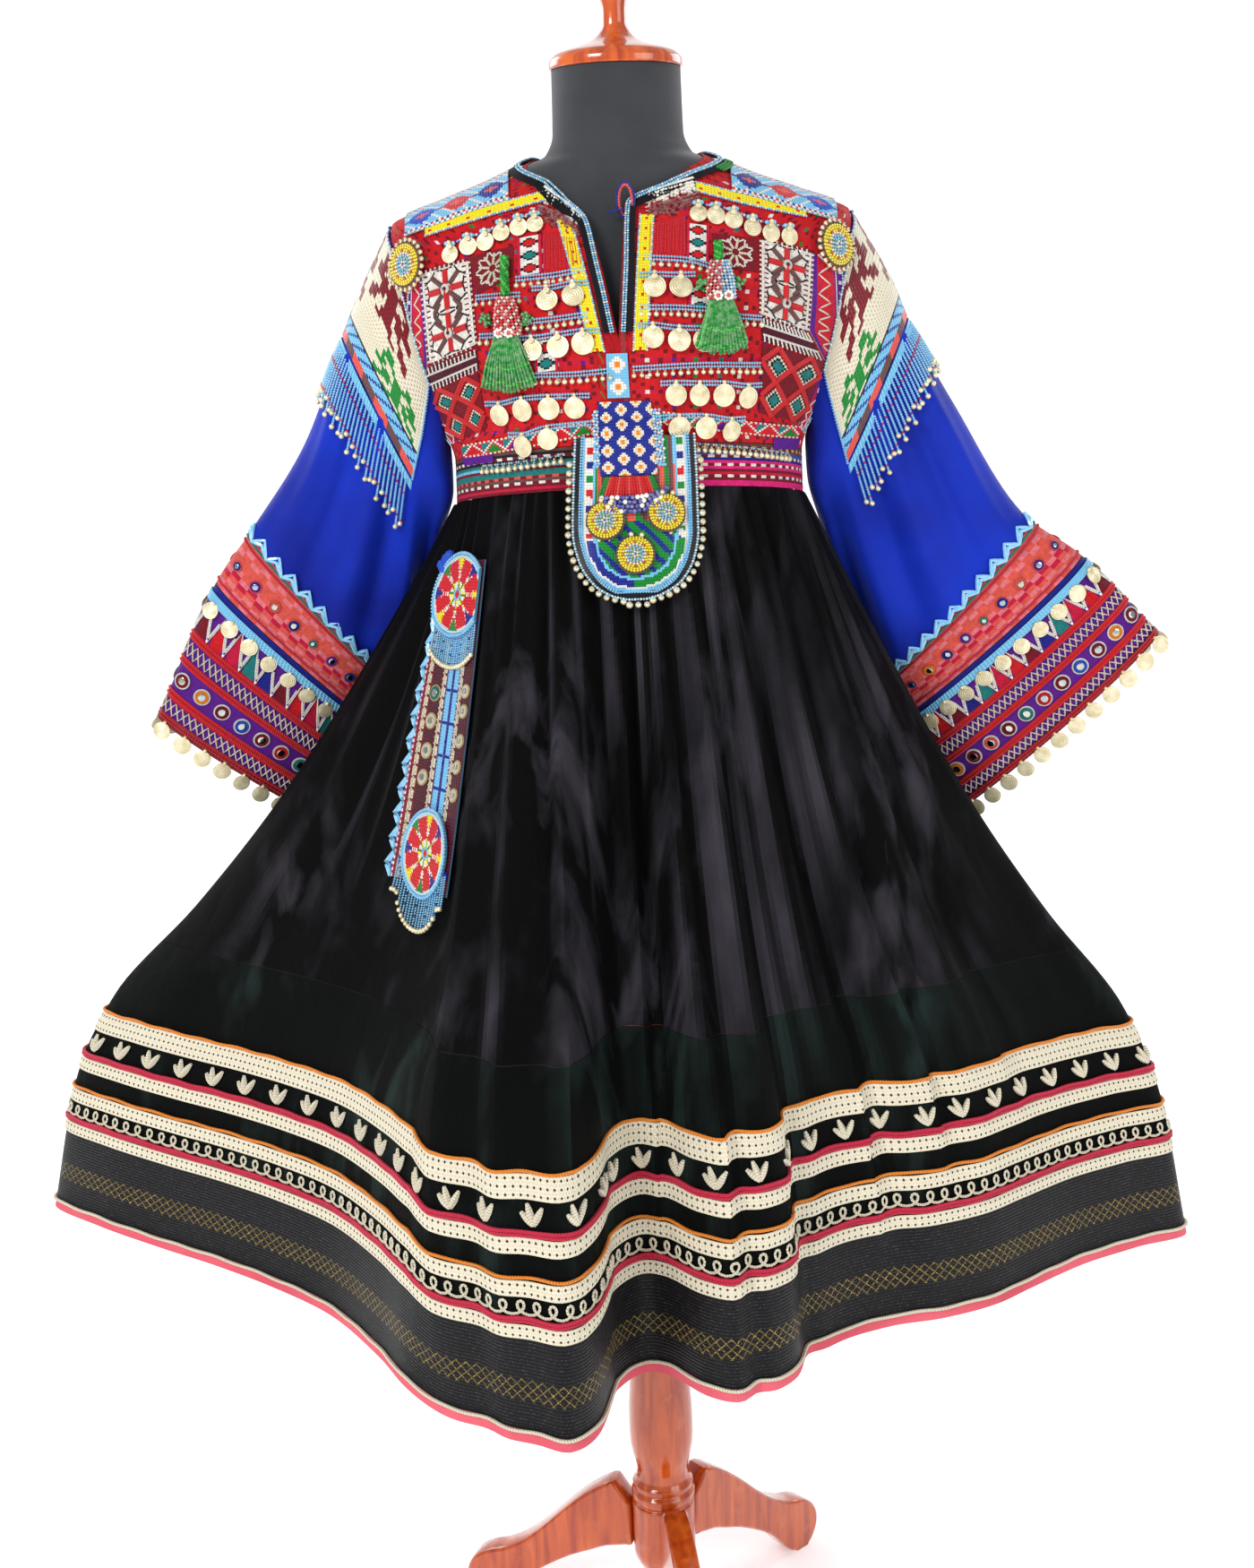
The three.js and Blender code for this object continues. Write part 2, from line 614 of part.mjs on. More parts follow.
const CHEST_COIN = { radius: 9.8, drop: 10, width: 7 };
const OVER_BRAID = LIFT + BRAID + SEAM;
const LOW_ROW_LIFT = 0.35;
const BRAID_PAST_COIN = 12;
const CHEST_ROWS = {
  chest_coins_1_left: { lift: OVER_BRAID, coins: [[-65, 1371], [-43, 1374]] },
  chest_coins_1_right: { lift: OVER_BRAID, coins: [[26, 1379], [48, 1378]] },
  chest_coins_2_left: { lift: OVER_BRAID, coins: [[-79, 1331], [-57, 1333], [-36, 1335]] },
  chest_coins_2_right: { lift: OVER_BRAID, coins: [[23, 1338], [45, 1335], [66, 1334]] },
  chest_coins_3_left: { lift: LOW_ROW_LIFT, coins: [[-110, 1277], [-90, 1281], [-67, 1282], [-45, 1282]] },
  chest_coins_3_right: { lift: LOW_ROW_LIFT, coins: [[41, 1290], [61, 1289], [82, 1288], [103, 1285]] },
};
for (const [name, { lift, coins }] of Object.entries(CHEST_ROWS)) {
  const [firstX, firstZ] = coins[0];
  const [lastX, lastZ] = coins[coins.length - 1];
  const path = [
    [firstX - BRAID_PAST_COIN, firstZ],
    [(firstX + lastX) / 2, (firstZ + lastZ) / 2],
    [lastX + BRAID_PAST_COIN, lastZ],
  ];
  add(name, coinRow({ ...CHEST_COIN, path, coins, lift, count: 4 }), 'silver', 0.35, 0.8);
}
const LOW_COINS = [[-91, 1250], [-69, 1256], [43, 1262], [66, 1261], [88, 1257]];
const LOW_PATH = [[-104, 1248], [-50, 1257], [0, 1260], [50, 1261], [104, 1252]];
const lowRow = { ...CHEST_COIN, path: LOW_PATH, coins: LOW_COINS, lift: LOW_ROW_LIFT, count: 12 };
add('chest_coins_4', coinRow(lowRow), 'silver', 0.35, 0.8);

const SHOULDER_COIN = { radius: 8, drop: 8, width: 6, lift: 0.9 };
const SHOULDER_COINS = {
  left: [[-148, 1411], [-132, 1417], [-117, 1420], [-103, 1427], [-88, 1431], [-74, 1433]],
  right: [[66, 1437], [81, 1435], [96, 1431], [112, 1424], [128, 1419], [144, 1416]],
};
for (const [side, coins] of Object.entries(SHOULDER_COINS)) {
  const path = coins.filter((_, i) => i % 2 === 0 || i === coins.length - 1);
  add(`shoulder_coins_${side}`, coinRow({ ...SHOULDER_COIN, path, coins, count: 6 }), 'silver', 0.35, 0.8);
}

// Shoulder yokes: from a line on the front, over the shoulder seam, to the back
const YOKE_LIFT = 2.4;
const YOKE_ENDS = { inner: { x: 96, low: 1446 }, outer: { x: 188, low: 1421 } };
const seamHeight = curve(BODICE.slice(6).map((row) => ({ x: -row.half, z: row.z })), 'x', 'z');

function yoke(side) {
  return {
    at: (along, over) => {
      const x = lerp(YOKE_ENDS.inner.x, YOKE_ENDS.outer.x, along);
      const low = lerp(YOKE_ENDS.inner.low, YOKE_ENDS.outer.low, along);
      const z = lerp(seamHeight(-x), low, over * over);
      const turn = turnAt(x, z);
      return bodiceAt(side * (over < 0 ? 180 - turn : turn), z);
    },
    du: 0.01,
    dv: 0.02,
    sign: -side,
  };
}
for (const [name, side] of [['left', -1], ['right', 1]]) {
  const over = [-1, -0.7, -0.35, -0.1, 0.1, 0.35, 0.7, 1];
  const grid = { surface: yoke(side), us: steps(0, 1, 4), vs: over, lift: YOKE_LIFT, thickness: BRAID };
  add(`shoulder_yoke_${name}`, wall(grid), 'lightBlue');
}

/** Round or pointed plate on a surface, given its half width at each height. */
function plate(surface, outline, columns, lift, thickness) {
  const vs = outline.map((row) => row.v);
  const half = curve(outline, 'v', 'half');
  const middle = curve(outline, 'v', 'middle');
  const shaped = { ...surface, at: (a, v) => surface.at(middle(v) + a * half(v), v), du: 0.02 };
  return wall({ surface: shaped, us: steps(-1, 1, columns), vs, lift, thickness, facing: shaped });
}

// Shoulder rosettes: a disc on a short sewn stem, facing along the bodice's normal
const ROSETTE = [
  { radius: 8, z: SEAM },
  { radius: 8, z: 4.5 },
  { radius: 19, z: 4.5 },
  { radius: 19, z: 7.5 },
];
const SHOULDER_ROSETTES = { left: { x: -186, z: 1396 }, right: { x: 184, z: 1400 } };
for (const [side, { x, z }] of Object.entries(SHOULDER_ROSETTES)) {
  const turn = turnAt(x, z);
  const disc = turned(ROSETTE, 12).rotateX(-Math.PI / 2);
  add(`shoulder_rosette_${side}`, place(disc, bodiceAt(turn, z), normalAt(bodice, turn, z)), 'yellow');
}

// Tassels on the chest: a barrel with strands below it
const TASSELS = {
  left: { x: -99, top: 1400, neck: 1333, foot: 1288, half: 24 },
  right: { x: 80, top: 1405, neck: 1356, foot: 1313, half: 22 },
};
const TASSEL = {
  strands: 9, strandRadius: 1.9, rootHalf: 7, lift: 8.7, headRadius: 5, collarRadius: 10, collarHeight: 9,
};
const STRAND_DEPTHS = [9, 6];
const TASSEL_CURVE = 5;
for (const [side, row] of Object.entries(TASSELS)) {
  const normal = normalAt(bodice, turnAt(row.x, row.neck), (row.neck + row.foot) / 2);
  const at = (x, z, lift) => bodiceAt(turnAt(x, z), z).addScaledVector(normal, lift);
  const neck = at(row.x, row.neck - 4, TASSEL.lift + 1);
  const head = strand(at(row.x, row.top, TASSEL.lift), neck, TASSEL.headRadius);
  const cone = new THREE.CylinderGeometry(TASSEL.headRadius, TASSEL.collarRadius, TASSEL.collarHeight, 8);
  const collar = place(cone, neck, new THREE.Vector3(0, 0, 1));
  const strands = steps(-1, 1, TASSEL.strands - 1).map((share, i) => {
    const root = at(row.x + share * TASSEL.rootHalf, row.neck - 5, TASSEL.lift + 1);
    const foot = row.foot + TASSEL_CURVE * share * share;
    return strand(root, at(row.x + share * row.half, foot, STRAND_DEPTHS[i % 2]), TASSEL.strandRadius);
  });
  add(`tassel_${side}`, fuse([head, collar, ...strands]), 'green', 0.7);
}

// Pendant panel: hangs from the chest over the waist onto the top of the skirt
const PENDANT_DEPTH = [
  { z: 1100, depth: 156 },
  { z: 1130, depth: 148 },
  { z: 1165, depth: 139 },
  { z: 1200, depth: 132 },
  { z: 1232, depth: 130 },
  { z: 1248, depth: 127.6 },
  { z: 1262, depth: 122.8 },
  { z: 1276, depth: 122.8 },
];
const pendantDepth = curve(PENDANT_DEPTH, 'z', 'depth');
const PENDANT_BOW = 0.0031;
const pendant = {
  at: (x, z) => new THREE.Vector3(x, -pendantDepth(z) + PENDANT_BOW * x * x, z),
  du: 1,
  dv: 1,
  sign: 1,
};
const PENDANT_OUTLINE = [
  { v: 1109, half: 6, middle: 2 },
  { v: 1113, half: 22, middle: 2 },
  { v: 1124, half: 39, middle: 3 },
  { v: 1143, half: 50, middle: 3 },
  { v: 1165, half: 54, middle: 3 },
  { v: 1205, half: 53, middle: 4 },
  { v: 1246, half: 51, middle: 5 },
];
const PENDANT_THICKNESS = 2.2;
add('pendant_panel', plate(pendant, PENDANT_OUTLINE, 6, 0, PENDANT_THICKNESS), 'black');

const PATCH_OUTLINE = [
  { v: 1214, half: 24, middle: -1 },
  { v: 1245, half: 23, middle: -2 },
  { v: 1276, half: 22, middle: -3 },
];
const PATCH_LIFT = PENDANT_THICKNESS + LIFT;
add('pendant_patch', plate(pendant, PATCH_OUTLINE, 4, PATCH_LIFT, BRAID), 'navy');

const PENDANT_ROSETTE = { radius: 16, thickness: 2.6, sides: 12 };
const PENDANT_ROSETTES = {
  left: { x: -22, z: 1176, lift: 4.7 },
  right: { x: 29, z: 1181, lift: 4.8 },
  low: { x: 2, z: 1147, lift: 4.4 },
};
for (const [name, { x, z, lift }] of Object.entries(PENDANT_ROSETTES)) {
  const normal = normalAt(pendant, x, z);
  const centre = pendant.at(x, z).addScaledVector(normal, lift);
  const { radius, thickness, sides } = PENDANT_ROSETTE;
  add(`pendant_rosette_${name}`, coin(centre, normal, radius, thickness, sides), 'yellow');
}

// Strap on the skirt, tucked under the broad pleat, with two medallions and their fringes
const STRAP = {
  left: [{ down: 0, turn: -66 }, { down: 1, turn: -60 }],
  right: [{ down: 0, turn: -48.4 }, { down: 1, turn: -48 }],
  from: 0.075,
  to: 0.46,
  length: 275,
  half: 36,
};
const strapLeft = curve(STRAP.left, 'down', 'turn');
const strapRight = curve(STRAP.right, 'down', 'turn');
const strap = {
  at: (across, down) => {
    const turn = lerp(strapLeft(down), strapRight(down), (across + 1) / 2);
    return smoothSkirtAt(turn, lerp(STRAP.from, STRAP.to, down));
  },
  du: 0.02,
  dv: 0.01,
  sign: -1,
};
const STRAP_LIFT = 3.5;
const STRAP_THICKNESS = 1.6;
const strapRows = steps(0, 1, 7);
const strapGrid = { surface: strap, us: steps(-1, 1, 6), vs: strapRows };
add('strap', wall({ ...strapGrid, lift: STRAP_LIFT, thickness: STRAP_THICKNESS }), 'lightBlue');

const MEDALLION_RADIUS = 36;
const MEDALLIONS = { upper: { across: 0.12, down: 0.11 }, lower: { across: 0.2, down: 0.9 } };
const FRINGE = { lift: STRAP_LIFT + STRAP_THICKNESS + SEAM, thickness: 1, half: 3, length: 26, strands: 8 };
const MEDALLION_LIFT = FRINGE.lift + FRINGE.thickness + SEAM;
const STRAP_EDGE = 0.97;
const DISC_TURNS = [-78, -58, -36, -12, 12, 36, 58, 78];

/** Half width of a medallion, as a share of the strap's, a share of the strap away from its middle. */
function medallionChord(away) {
  const share = clamp((away * STRAP.length) / MEDALLION_RADIUS, -1, 1);
  return (MEDALLION_RADIUS / STRAP.half) * Math.sqrt(1 - share * share);
}

/** How far down the strap a medallion's lower edge lies at a share of the width. */
function medallionEdge({ across, down }, a) {
  const share = clamp(((a - across) * STRAP.half) / MEDALLION_RADIUS, -0.95, 0.95);
  return down + (MEDALLION_RADIUS / STRAP.length) * Math.sqrt(1 - share * share);
}

for (const [name, middleOf] of Object.entries(MEDALLIONS)) {
  const { across, down } = middleOf;
  const cut = {
    ...strap,
    at: (a, v) => {
      const chord = medallionChord(v - down);
      const right = Math.min(across + chord, STRAP_EDGE);
      return strap.at(lerp(across - chord, right, (a + 1) / 2), v);
    },
  };
  const vs = DISC_TURNS.map((turn) => down + (MEDALLION_RADIUS / STRAP.length) * Math.sin(rad(turn)));
  const disc = { surface: cut, us: steps(-1, 1, 5), vs, lift: MEDALLION_LIFT, thickness: 3 };
  add(`medallion_${name}`, wall(disc), 'embroidery');

  const under = {
    ...strap,
    at: (a, mm) => strap.at(a, medallionEdge(middleOf, a) + mm / STRAP.length),
    dv: 0.5,
  };
  const left = across - 0.85;
  const backing = wall({
    surface: under, us: steps(left, STRAP_EDGE, 6), vs: [-FRINGE.half, FRINGE.half],
    lift: FRINGE.lift, thickness: FRINGE.thickness,
  });
  const strands = steps(left + 0.06, STRAP_EDGE - 0.06, FRINGE.strands - 1).map((a) => {
    const at = (mm) => {
      const normal = normalAt(under, a, mm);
      return under.at(a, mm).addScaledVector(normal, FRINGE.lift + FRINGE.thickness);
    };
    return strand(at(FRINGE.half - 1.5), at(FRINGE.length), 1.1);
  });
  add(`medallion_fringe_${name}`, fuse([backing, ...strands]), 'lightBlue');
}

// Sleeves: share of the length from armhole to cuff edge, turn round the section
const ARMHOLE_MIDDLE = (ARMHOLE_LOW + ARMHOLE_HIGH) / 2;
const ARMHOLE_HALF = (ARMHOLE_HIGH - ARMHOLE_LOW) / 2;
const SLEEVE_TURNS = steps(0, 360, 16).slice(0, -1);
const HEAD_BLEND = 0.12;

/** Edge of the armhole, from its top at 0 degrees round by the front. */
function armholeAt(side, turn) {
  const z = ARMHOLE_MIDDLE + ARMHOLE_HALF * Math.cos(rad(turn));
  const ahead = turn <= 180;
  const around = ahead ? armholeTurn(z) : 180 - armholeTurn(z);
  const p = bodiceAt(side * around, z);
  p.x += side * ARMHOLE_GAP;
  return p;
}

function sleeveOf({ rows, side }) {
  const column = (name) => curve(rows, 'along', name);
  const outer = ['outX', 'outY', 'outZ'].map(column);
  const inner = ['inX', 'inY', 'inZ'].map(column);
  const depth = column('depth');
  const at = (turn, along) => {
    const round = ((turn % 360) + 360) % 360;
    const top = new THREE.Vector3(...outer.map((read) => read(along)));
    const low = new THREE.Vector3(...inner.map((read) => read(along)));
    const centre = top.clone().add(low).multiplyScalar(0.5);
    const major = top.clone().sub(low).multiplyScalar(0.5);
    const axis = major.clone().normalize();
    const minor = new THREE.Vector3(0, -1, 0);
    minor.addScaledVector(axis, -minor.dot(axis)).normalize();
    centre.addScaledVector(major, Math.cos(rad(round)));
    centre.addScaledVector(minor, depth(along) * Math.sin(rad(round)));
    const share = clamp(along / HEAD_BLEND, 0, 1);
    return armholeAt(side, round).lerp(centre, share * share * (3 - 2 * share));
  };
  return { at, du: 2, dv: 0.004, sign: side };
}

const COIN_COUNT = { row: 10, hem: 14 };
const HEAD_PATCH = { turns: steps(-67.5, 112.5, 8), rows: [0.02, 0.07, HEAD_BLEND, 0.2] };
const BEADS = {
  from: 0.206, to: 0.222, foot: 0.33, first: -61.5, last: 106.5, strands: 12, rootLift: 1.12, lift: 3.5,
};
for (const [name, spec] of Object.entries(SLEEVES)) {
  const surface = sleeveOf(spec);
  const tube = { surface, us: SLEEVE_TURNS, thickness: SLEEVE_CLOTH, closed: true, seam: SEAM };
  const sleeveRows = [0, 0.07, HEAD_BLEND, 0.22, 0.4, spec.bandStart];
  add(`sleeve_${name}`, wall({ ...tube, vs: sleeveRows }), 'royal', 0.6);
  add(`sleeve_band_${name}`, wall({ ...tube, vs: [spec.bandStart, spec.bandEnd] }), 'coral');
  add(`cuff_${name}`, wall({ ...tube, vs: [spec.bandEnd, 0.87, 1] }), 'cuff');

  const patch = { surface, us: HEAD_PATCH.turns, vs: HEAD_PATCH.rows, lift: LIFT, thickness: BRAID };
  add(`sleeve_patch_${name}`, wall(patch), 'white');
  const beadBand = wall({ ...patch, vs: [BEADS.from, BEADS.to] });
  const beadAt = (turn, along) => {
    const normal = normalAt(surface, turn, along);
    return surface.at(turn, along).addScaledVector(normal, along > BEADS.to ? BEADS.lift : BEADS.rootLift);
  };
  const beads = steps(BEADS.first, BEADS.last, BEADS.strands - 1).map((turn) =>
    strand(beadAt(turn, BEADS.to - 0.006), beadAt(turn, BEADS.foot), 1.2));
  add(`sleeve_beads_${name}`, fuse([beadBand, ...beads]), 'lightBlue');

  const coinRing = (from, to, count, radius, below) => {
    const ring = { ...tube, seam: 0, vs: [from, to], lift: COIN_BRAID_LIFT, thickness: COIN_BRAID };
    const discs = steps(0, 360, count).slice(0, -1).map((turn) => {
      const normal = normalAt(surface, turn, Math.min(to, 0.99));
      const down = surface.at(turn, to).sub(surface.at(turn, from)).normalize();
      const centre = surface.at(turn, to).addScaledVector(down, below);
      centre.addScaledVector(normal, COIN_BRAID_LIFT + COIN_BRAID / 2);
      return coin(centre, normal, radius, COIN_THICKNESS, COIN_SIDES);
    });
    return fuse([wall(ring), ...discs]);
  };
  const rowStart = spec.bandEnd + 0.012;
  add(`cuff_coins_${name}`, coinRing(rowStart, rowStart + 0.018, COIN_COUNT.row, 8.5, 6), 'silver', 0.35, 0.8);
  add(`hem_coins_${name}`, coinRing(0.98, 0.998, COIN_COUNT.hem, 9, 7.5), 'silver', 0.35, 0.8);
}

// Dress form: neck, shoulders and body in one smooth solid, just inside the cloth
const FORM = [
  { z: FORM_FOOT_Z, half: 96, front: 72, back: 82 },
  { z: 960, half: 146, front: 92, back: 112 },
  { z: 1040, half: 142, front: 88, back: 104 },
  { z: 1130, half: 112, front: 78, back: 82 },
  { z: 1180, half: 106, front: 76, back: 74 },
  { z: 1240, half: 120, front: 92, back: 78 },
  { z: 1300, half: 142, front: 110, back: 86 },
  { z: 1350, half: 160, front: 100, back: 90 },
  { z: 1400, half: 184, front: 80, back: 82 },
  { z: 1436, half: 185, front: 70, back: 72 },
];
const SHOULDER_LINE = [1450, 1468, 1480];
const SHOULDER_DROP = 2.4;
const SHOULDER_EASE = 5;
const FORM_NECK = [
  { z: 1484, half: 67, front: 61, back: 61 },
  { z: 1502, half: NECK_RADIUS, front: NECK_RADIUS, back: NECK_RADIUS },
  { z: CAP_Z - SEAM, half: NECK_RADIUS - 1, front: NECK_RADIUS - 1, back: NECK_RADIUS - 1 },
];
const shoulderRows = SHOULDER_LINE.map((z) => ({
  z: z - SHOULDER_DROP,
  half: halfWidth(z) - 0.4,
  front: frontDepth(z) - SHOULDER_EASE,
  back: backDepth(z) - SHOULDER_EASE,
}));
const formRows = [...FORM, ...shoulderRows, ...FORM_NECK];

/** Solid through level sections, closed at both ends. */
function sectionsSolid(rows, count) {
  const ring = (row) => steps(0, 360, count).slice(0, -1).map((turn) => {
    const c = Math.cos(rad(turn));
    return new THREE.Vector3(row.half * Math.sin(rad(turn)), -(c > 0 ? row.front : row.back) * c, row.z);
  });
  const points = rows.flatMap(ring);
  const faces = [];
  for (let i = 0; i < rows.length - 1; i += 1) {
    for (let j = 0; j < count; j += 1) {
      const [a, b] = [i * count + j, i * count + ((j + 1) % count)];
      faces.push([a, b, b + count], [a, b + count, a + count]);
    }
  }
  const low = points.push(new THREE.Vector3(0, 0, rows[0].z)) - 1;
  const high = points.push(new THREE.Vector3(0, 0, rows[rows.length - 1].z)) - 1;
  const last = (rows.length - 1) * count;
  for (let j = 0; j < count; j += 1) {
    const next = (j + 1) % count;
    faces.push([low, next, j], [high, last + j, last + next]);
  }
  return meshOf(points, faces);
}
add('dress_form', sectionsSolid(formRows, 20), 'form', 0.95);

// Wooden cap with its finial, post with its bulb and hub, and three legs
const CAP = [
  { radius: CAP_RADIUS, z: CAP_Z },
  { radius: CAP_RADIUS, z: 1565 },
  { radius: 54, z: 1572 },
  { radius: 30, z: 1579 },
  { radius: 19, z: 1583 },
  { radius: 10.5, z: 1596 },
  { radius: 11.5, z: 1616 },
  { radius: 19, z: 1638 },
  { radius: 22, z: 1655 },
  { radius: 8, z: 1687 },
];
add('cap', turned(CAP, 16), 'wood', 0.25);

const POST = [
  { radius: 24, z: 70 },
  { radius: HUB_RADIUS, z: 92 },
  { radius: HUB_RADIUS, z: 148 },
  { radius: 33, z: 160 },
  { radius: 31, z: 170 },
  { radius: 27, z: 186 },
  { radius: 31, z: 205 },
  { radius: 33, z: 232 },
  { radius: 31, z: 280 },
  { radius: POST_RADIUS, z: 360 },
  { radius: POST_RADIUS, z: FORM_FOOT_Z - SEAM },
];
add('post', turned(POST, 16), 'wood', 0.25);

const LEG_TOP = [
  [HUB_RADIUS + SEAM, 140], [50, 166], [76, 152], [103, 128], [131, 100], [154, 82], [196, 62],
];
const LEG_FOOT = [[216, 46], [222, 24], [212, 6], [202, 0], [186, 0]];
const LEG_UNDER = [[167, 20], [142, 42], [100, 70], [60, 88], [HUB_RADIUS + SEAM, 94]];
const legOutline = [...LEG_TOP, ...LEG_FOOT, ...LEG_UNDER].map(([r, z]) => new THREE.Vector2(r, z));
const legShape = new THREE.Shape(legOutline);
LEG_TURNS.forEach((turn, i) => {
  const leg = new THREE.ExtrudeGeometry(legShape, { depth: LEG_THICKNESS, bevelEnabled: false });
  leg.translate(0, 0, -LEG_THICKNESS / 2).rotateX(Math.PI / 2).rotateZ(rad(turn));
  add(`leg_${i + 1}`, leg, 'wood', 0.25);
});

// The part stands with the middle of its outline over the origin
const box = new THREE.Box3().setFromObject(model);
const middle = box.getCenter(new THREE.Vector3());
model.position.set(-middle.x, -middle.y, -box.min.z);

export default model;
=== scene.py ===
"""Kuchi dress on a dress form: its looks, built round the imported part.

Surfaces are worked out in millimetres about the stand's axis, with the front of
the dress towards -Y, and every mesh is made in metres in the part's frame.
"""

import math
from functools import partial

import bpy
import numpy as np
from mathutils import Matrix, Vector


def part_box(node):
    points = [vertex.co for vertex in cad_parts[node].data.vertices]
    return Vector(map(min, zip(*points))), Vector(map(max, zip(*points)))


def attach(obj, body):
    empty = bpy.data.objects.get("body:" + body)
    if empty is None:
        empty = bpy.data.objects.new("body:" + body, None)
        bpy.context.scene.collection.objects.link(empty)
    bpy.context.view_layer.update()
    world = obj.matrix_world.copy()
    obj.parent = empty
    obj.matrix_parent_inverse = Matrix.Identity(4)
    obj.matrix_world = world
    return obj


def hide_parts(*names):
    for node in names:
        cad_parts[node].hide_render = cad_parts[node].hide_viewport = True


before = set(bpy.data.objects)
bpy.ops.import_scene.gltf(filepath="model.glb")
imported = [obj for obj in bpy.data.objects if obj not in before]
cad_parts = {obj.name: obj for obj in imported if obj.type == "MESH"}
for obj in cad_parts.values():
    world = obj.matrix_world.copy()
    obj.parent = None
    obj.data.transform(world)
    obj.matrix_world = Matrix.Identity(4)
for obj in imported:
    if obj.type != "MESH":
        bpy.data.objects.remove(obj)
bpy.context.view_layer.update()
rng = np.random.default_rng(7)

MM = 0.001
post_low, post_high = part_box("post")
AXIS = np.array([(post_low.x + post_high.x) / 2, (post_low.y + post_high.y) / 2, 0.0])


def table(names, *rows):
    """Rows of a table as one array for each named column."""
    return {name: np.array(column, float) for name, column in zip(names.split(), zip(*rows))}


def curve(xs, ys):
    """Smooth reading of a column that never swings past its rows."""
    slopes = np.diff(ys) / np.diff(xs)
    before, after = np.r_[slopes[0], slopes], np.r_[slopes, slopes[-1]]
    product = before * after
    total = np.where(before + after == 0, 1, before + after)
    tangents = np.where(product <= 0, 0, 2 * product / total)
    return lambda at: hermite(xs, ys, tangents, np.clip(at, xs[0], xs[-1]))


def hermite(xs, ys, tangents, at):
    i = np.clip(np.searchsorted(xs, at, "right") - 1, 0, len(xs) - 2)
    width = xs[i + 1] - xs[i]
    s, rise = (at - xs[i]) / width, ys[i + 1] - ys[i]
    early, late = tangents[i] * width - rise, tangents[i + 1] * width - rise
    return ys[i] + rise * s + s * (1 - s) * ((1 - s) * early - s * late)


def ring_curve(turns, values):
    """Smooth reading of a column round a full turn."""
    xs = np.r_[turns[-2:] - 360, turns, turns[:3] + 360]
    ys = np.r_[values[-2:], values, values[:3]]
    tangents = np.gradient(ys, xs)
    return lambda at: hermite(xs, ys, tangents, at)


def polyline(xs, ys):
    """Straight reading of a column, and on past its ends."""

    def read(at):
        i = np.clip(np.searchsorted(xs, at, "left") - 1, 0, len(xs) - 2)
        return ys[i] + (ys[i + 1] - ys[i]) * (at - xs[i]) / (xs[i + 1] - xs[i])

    return read


def lerp(a, b, t):
    return a + (b - a) * t


def steps(start, end, count):
    return np.linspace(start, end, count + 1)


def sin(degrees):
    return np.sin(np.radians(degrees))


def cos(degrees):
    return np.cos(np.radians(degrees))


def unit(vectors):
    return vectors / np.maximum(np.linalg.norm(vectors, axis=-1, keepdims=True), 1e-9)


def points3(x, y, z):
    return np.stack(np.broadcast_arrays(x, y, z), -1).astype(float)


class Surface:
    """Points at two coordinates, with the side that faces out."""

    def __init__(self, at, du, dv, sign=1):
        self.at, self.du, self.dv, self.sign = at, du, dv, sign

    def normal(self, u, v):
        u, v = np.broadcast_arrays(np.asarray(u, float), np.asarray(v, float))
        along_u = self.at(u + self.du, v) - self.at(u - self.du, v)
        along_v = self.at(u, v + self.dv) - self.at(u, v - self.dv)
        return unit(np.cross(along_u, along_v)) * self.sign

    def lifted(self, u, v, height):
        u, v = np.broadcast_arrays(np.asarray(u, float), np.asarray(v, float))
        return self.at(u, v) + self.normal(u, v) * np.asarray(height)[..., None]


# Colours as they read in the photograph
COLOURS = {
    "cream": "#e9e0c6",
    "white": "#f1ece2",
    "red": "#d8141d",
    "crimson": "#d0103f",
    "dark_red": "#7c0a1c",
    "orange": "#f58a12",
    "coral": "#ea5a4c",
    "yellow": "#fbe616",
    "green": "#088a2c",
    "bright_green": "#3fc43a",
    "teal": "#17807d",
    "navy": "#13228c",
    "blue": "#2a56c8",
    "light_blue": "#7cc6ee",
    "purple": "#5f1590",
    "pink": "#f07c86",
    "hot_pink": "#ef1f7d",
    "brown": "#6b4644",
    "black": "#16131a",
    "silver": "#cfc6a6",
    "gold": "#cdb374",
    "wine": "#4d0a22",
}


def linear(hex_colour):
    """Linear colour of a hex one."""
    values = np.array([int(hex_colour[i : i + 2], 16) / 255 for i in (1, 3, 5)])
    return np.where(values <= 0.04045, values / 12.92, ((values + 0.055) / 1.055) ** 2.4)


TINTS = {name: linear(value) for name, value in COLOURS.items()}


def tint(name):
    return TINTS[name] if isinstance(name, str) else np.asarray(name, float)


def cells(rule, columns, rows):
    """Colours of a chart's cells, from a rule of their column and row."""
    return np.array([[tint(rule(i, j)) for j in range(rows)] for i in range(columns)])


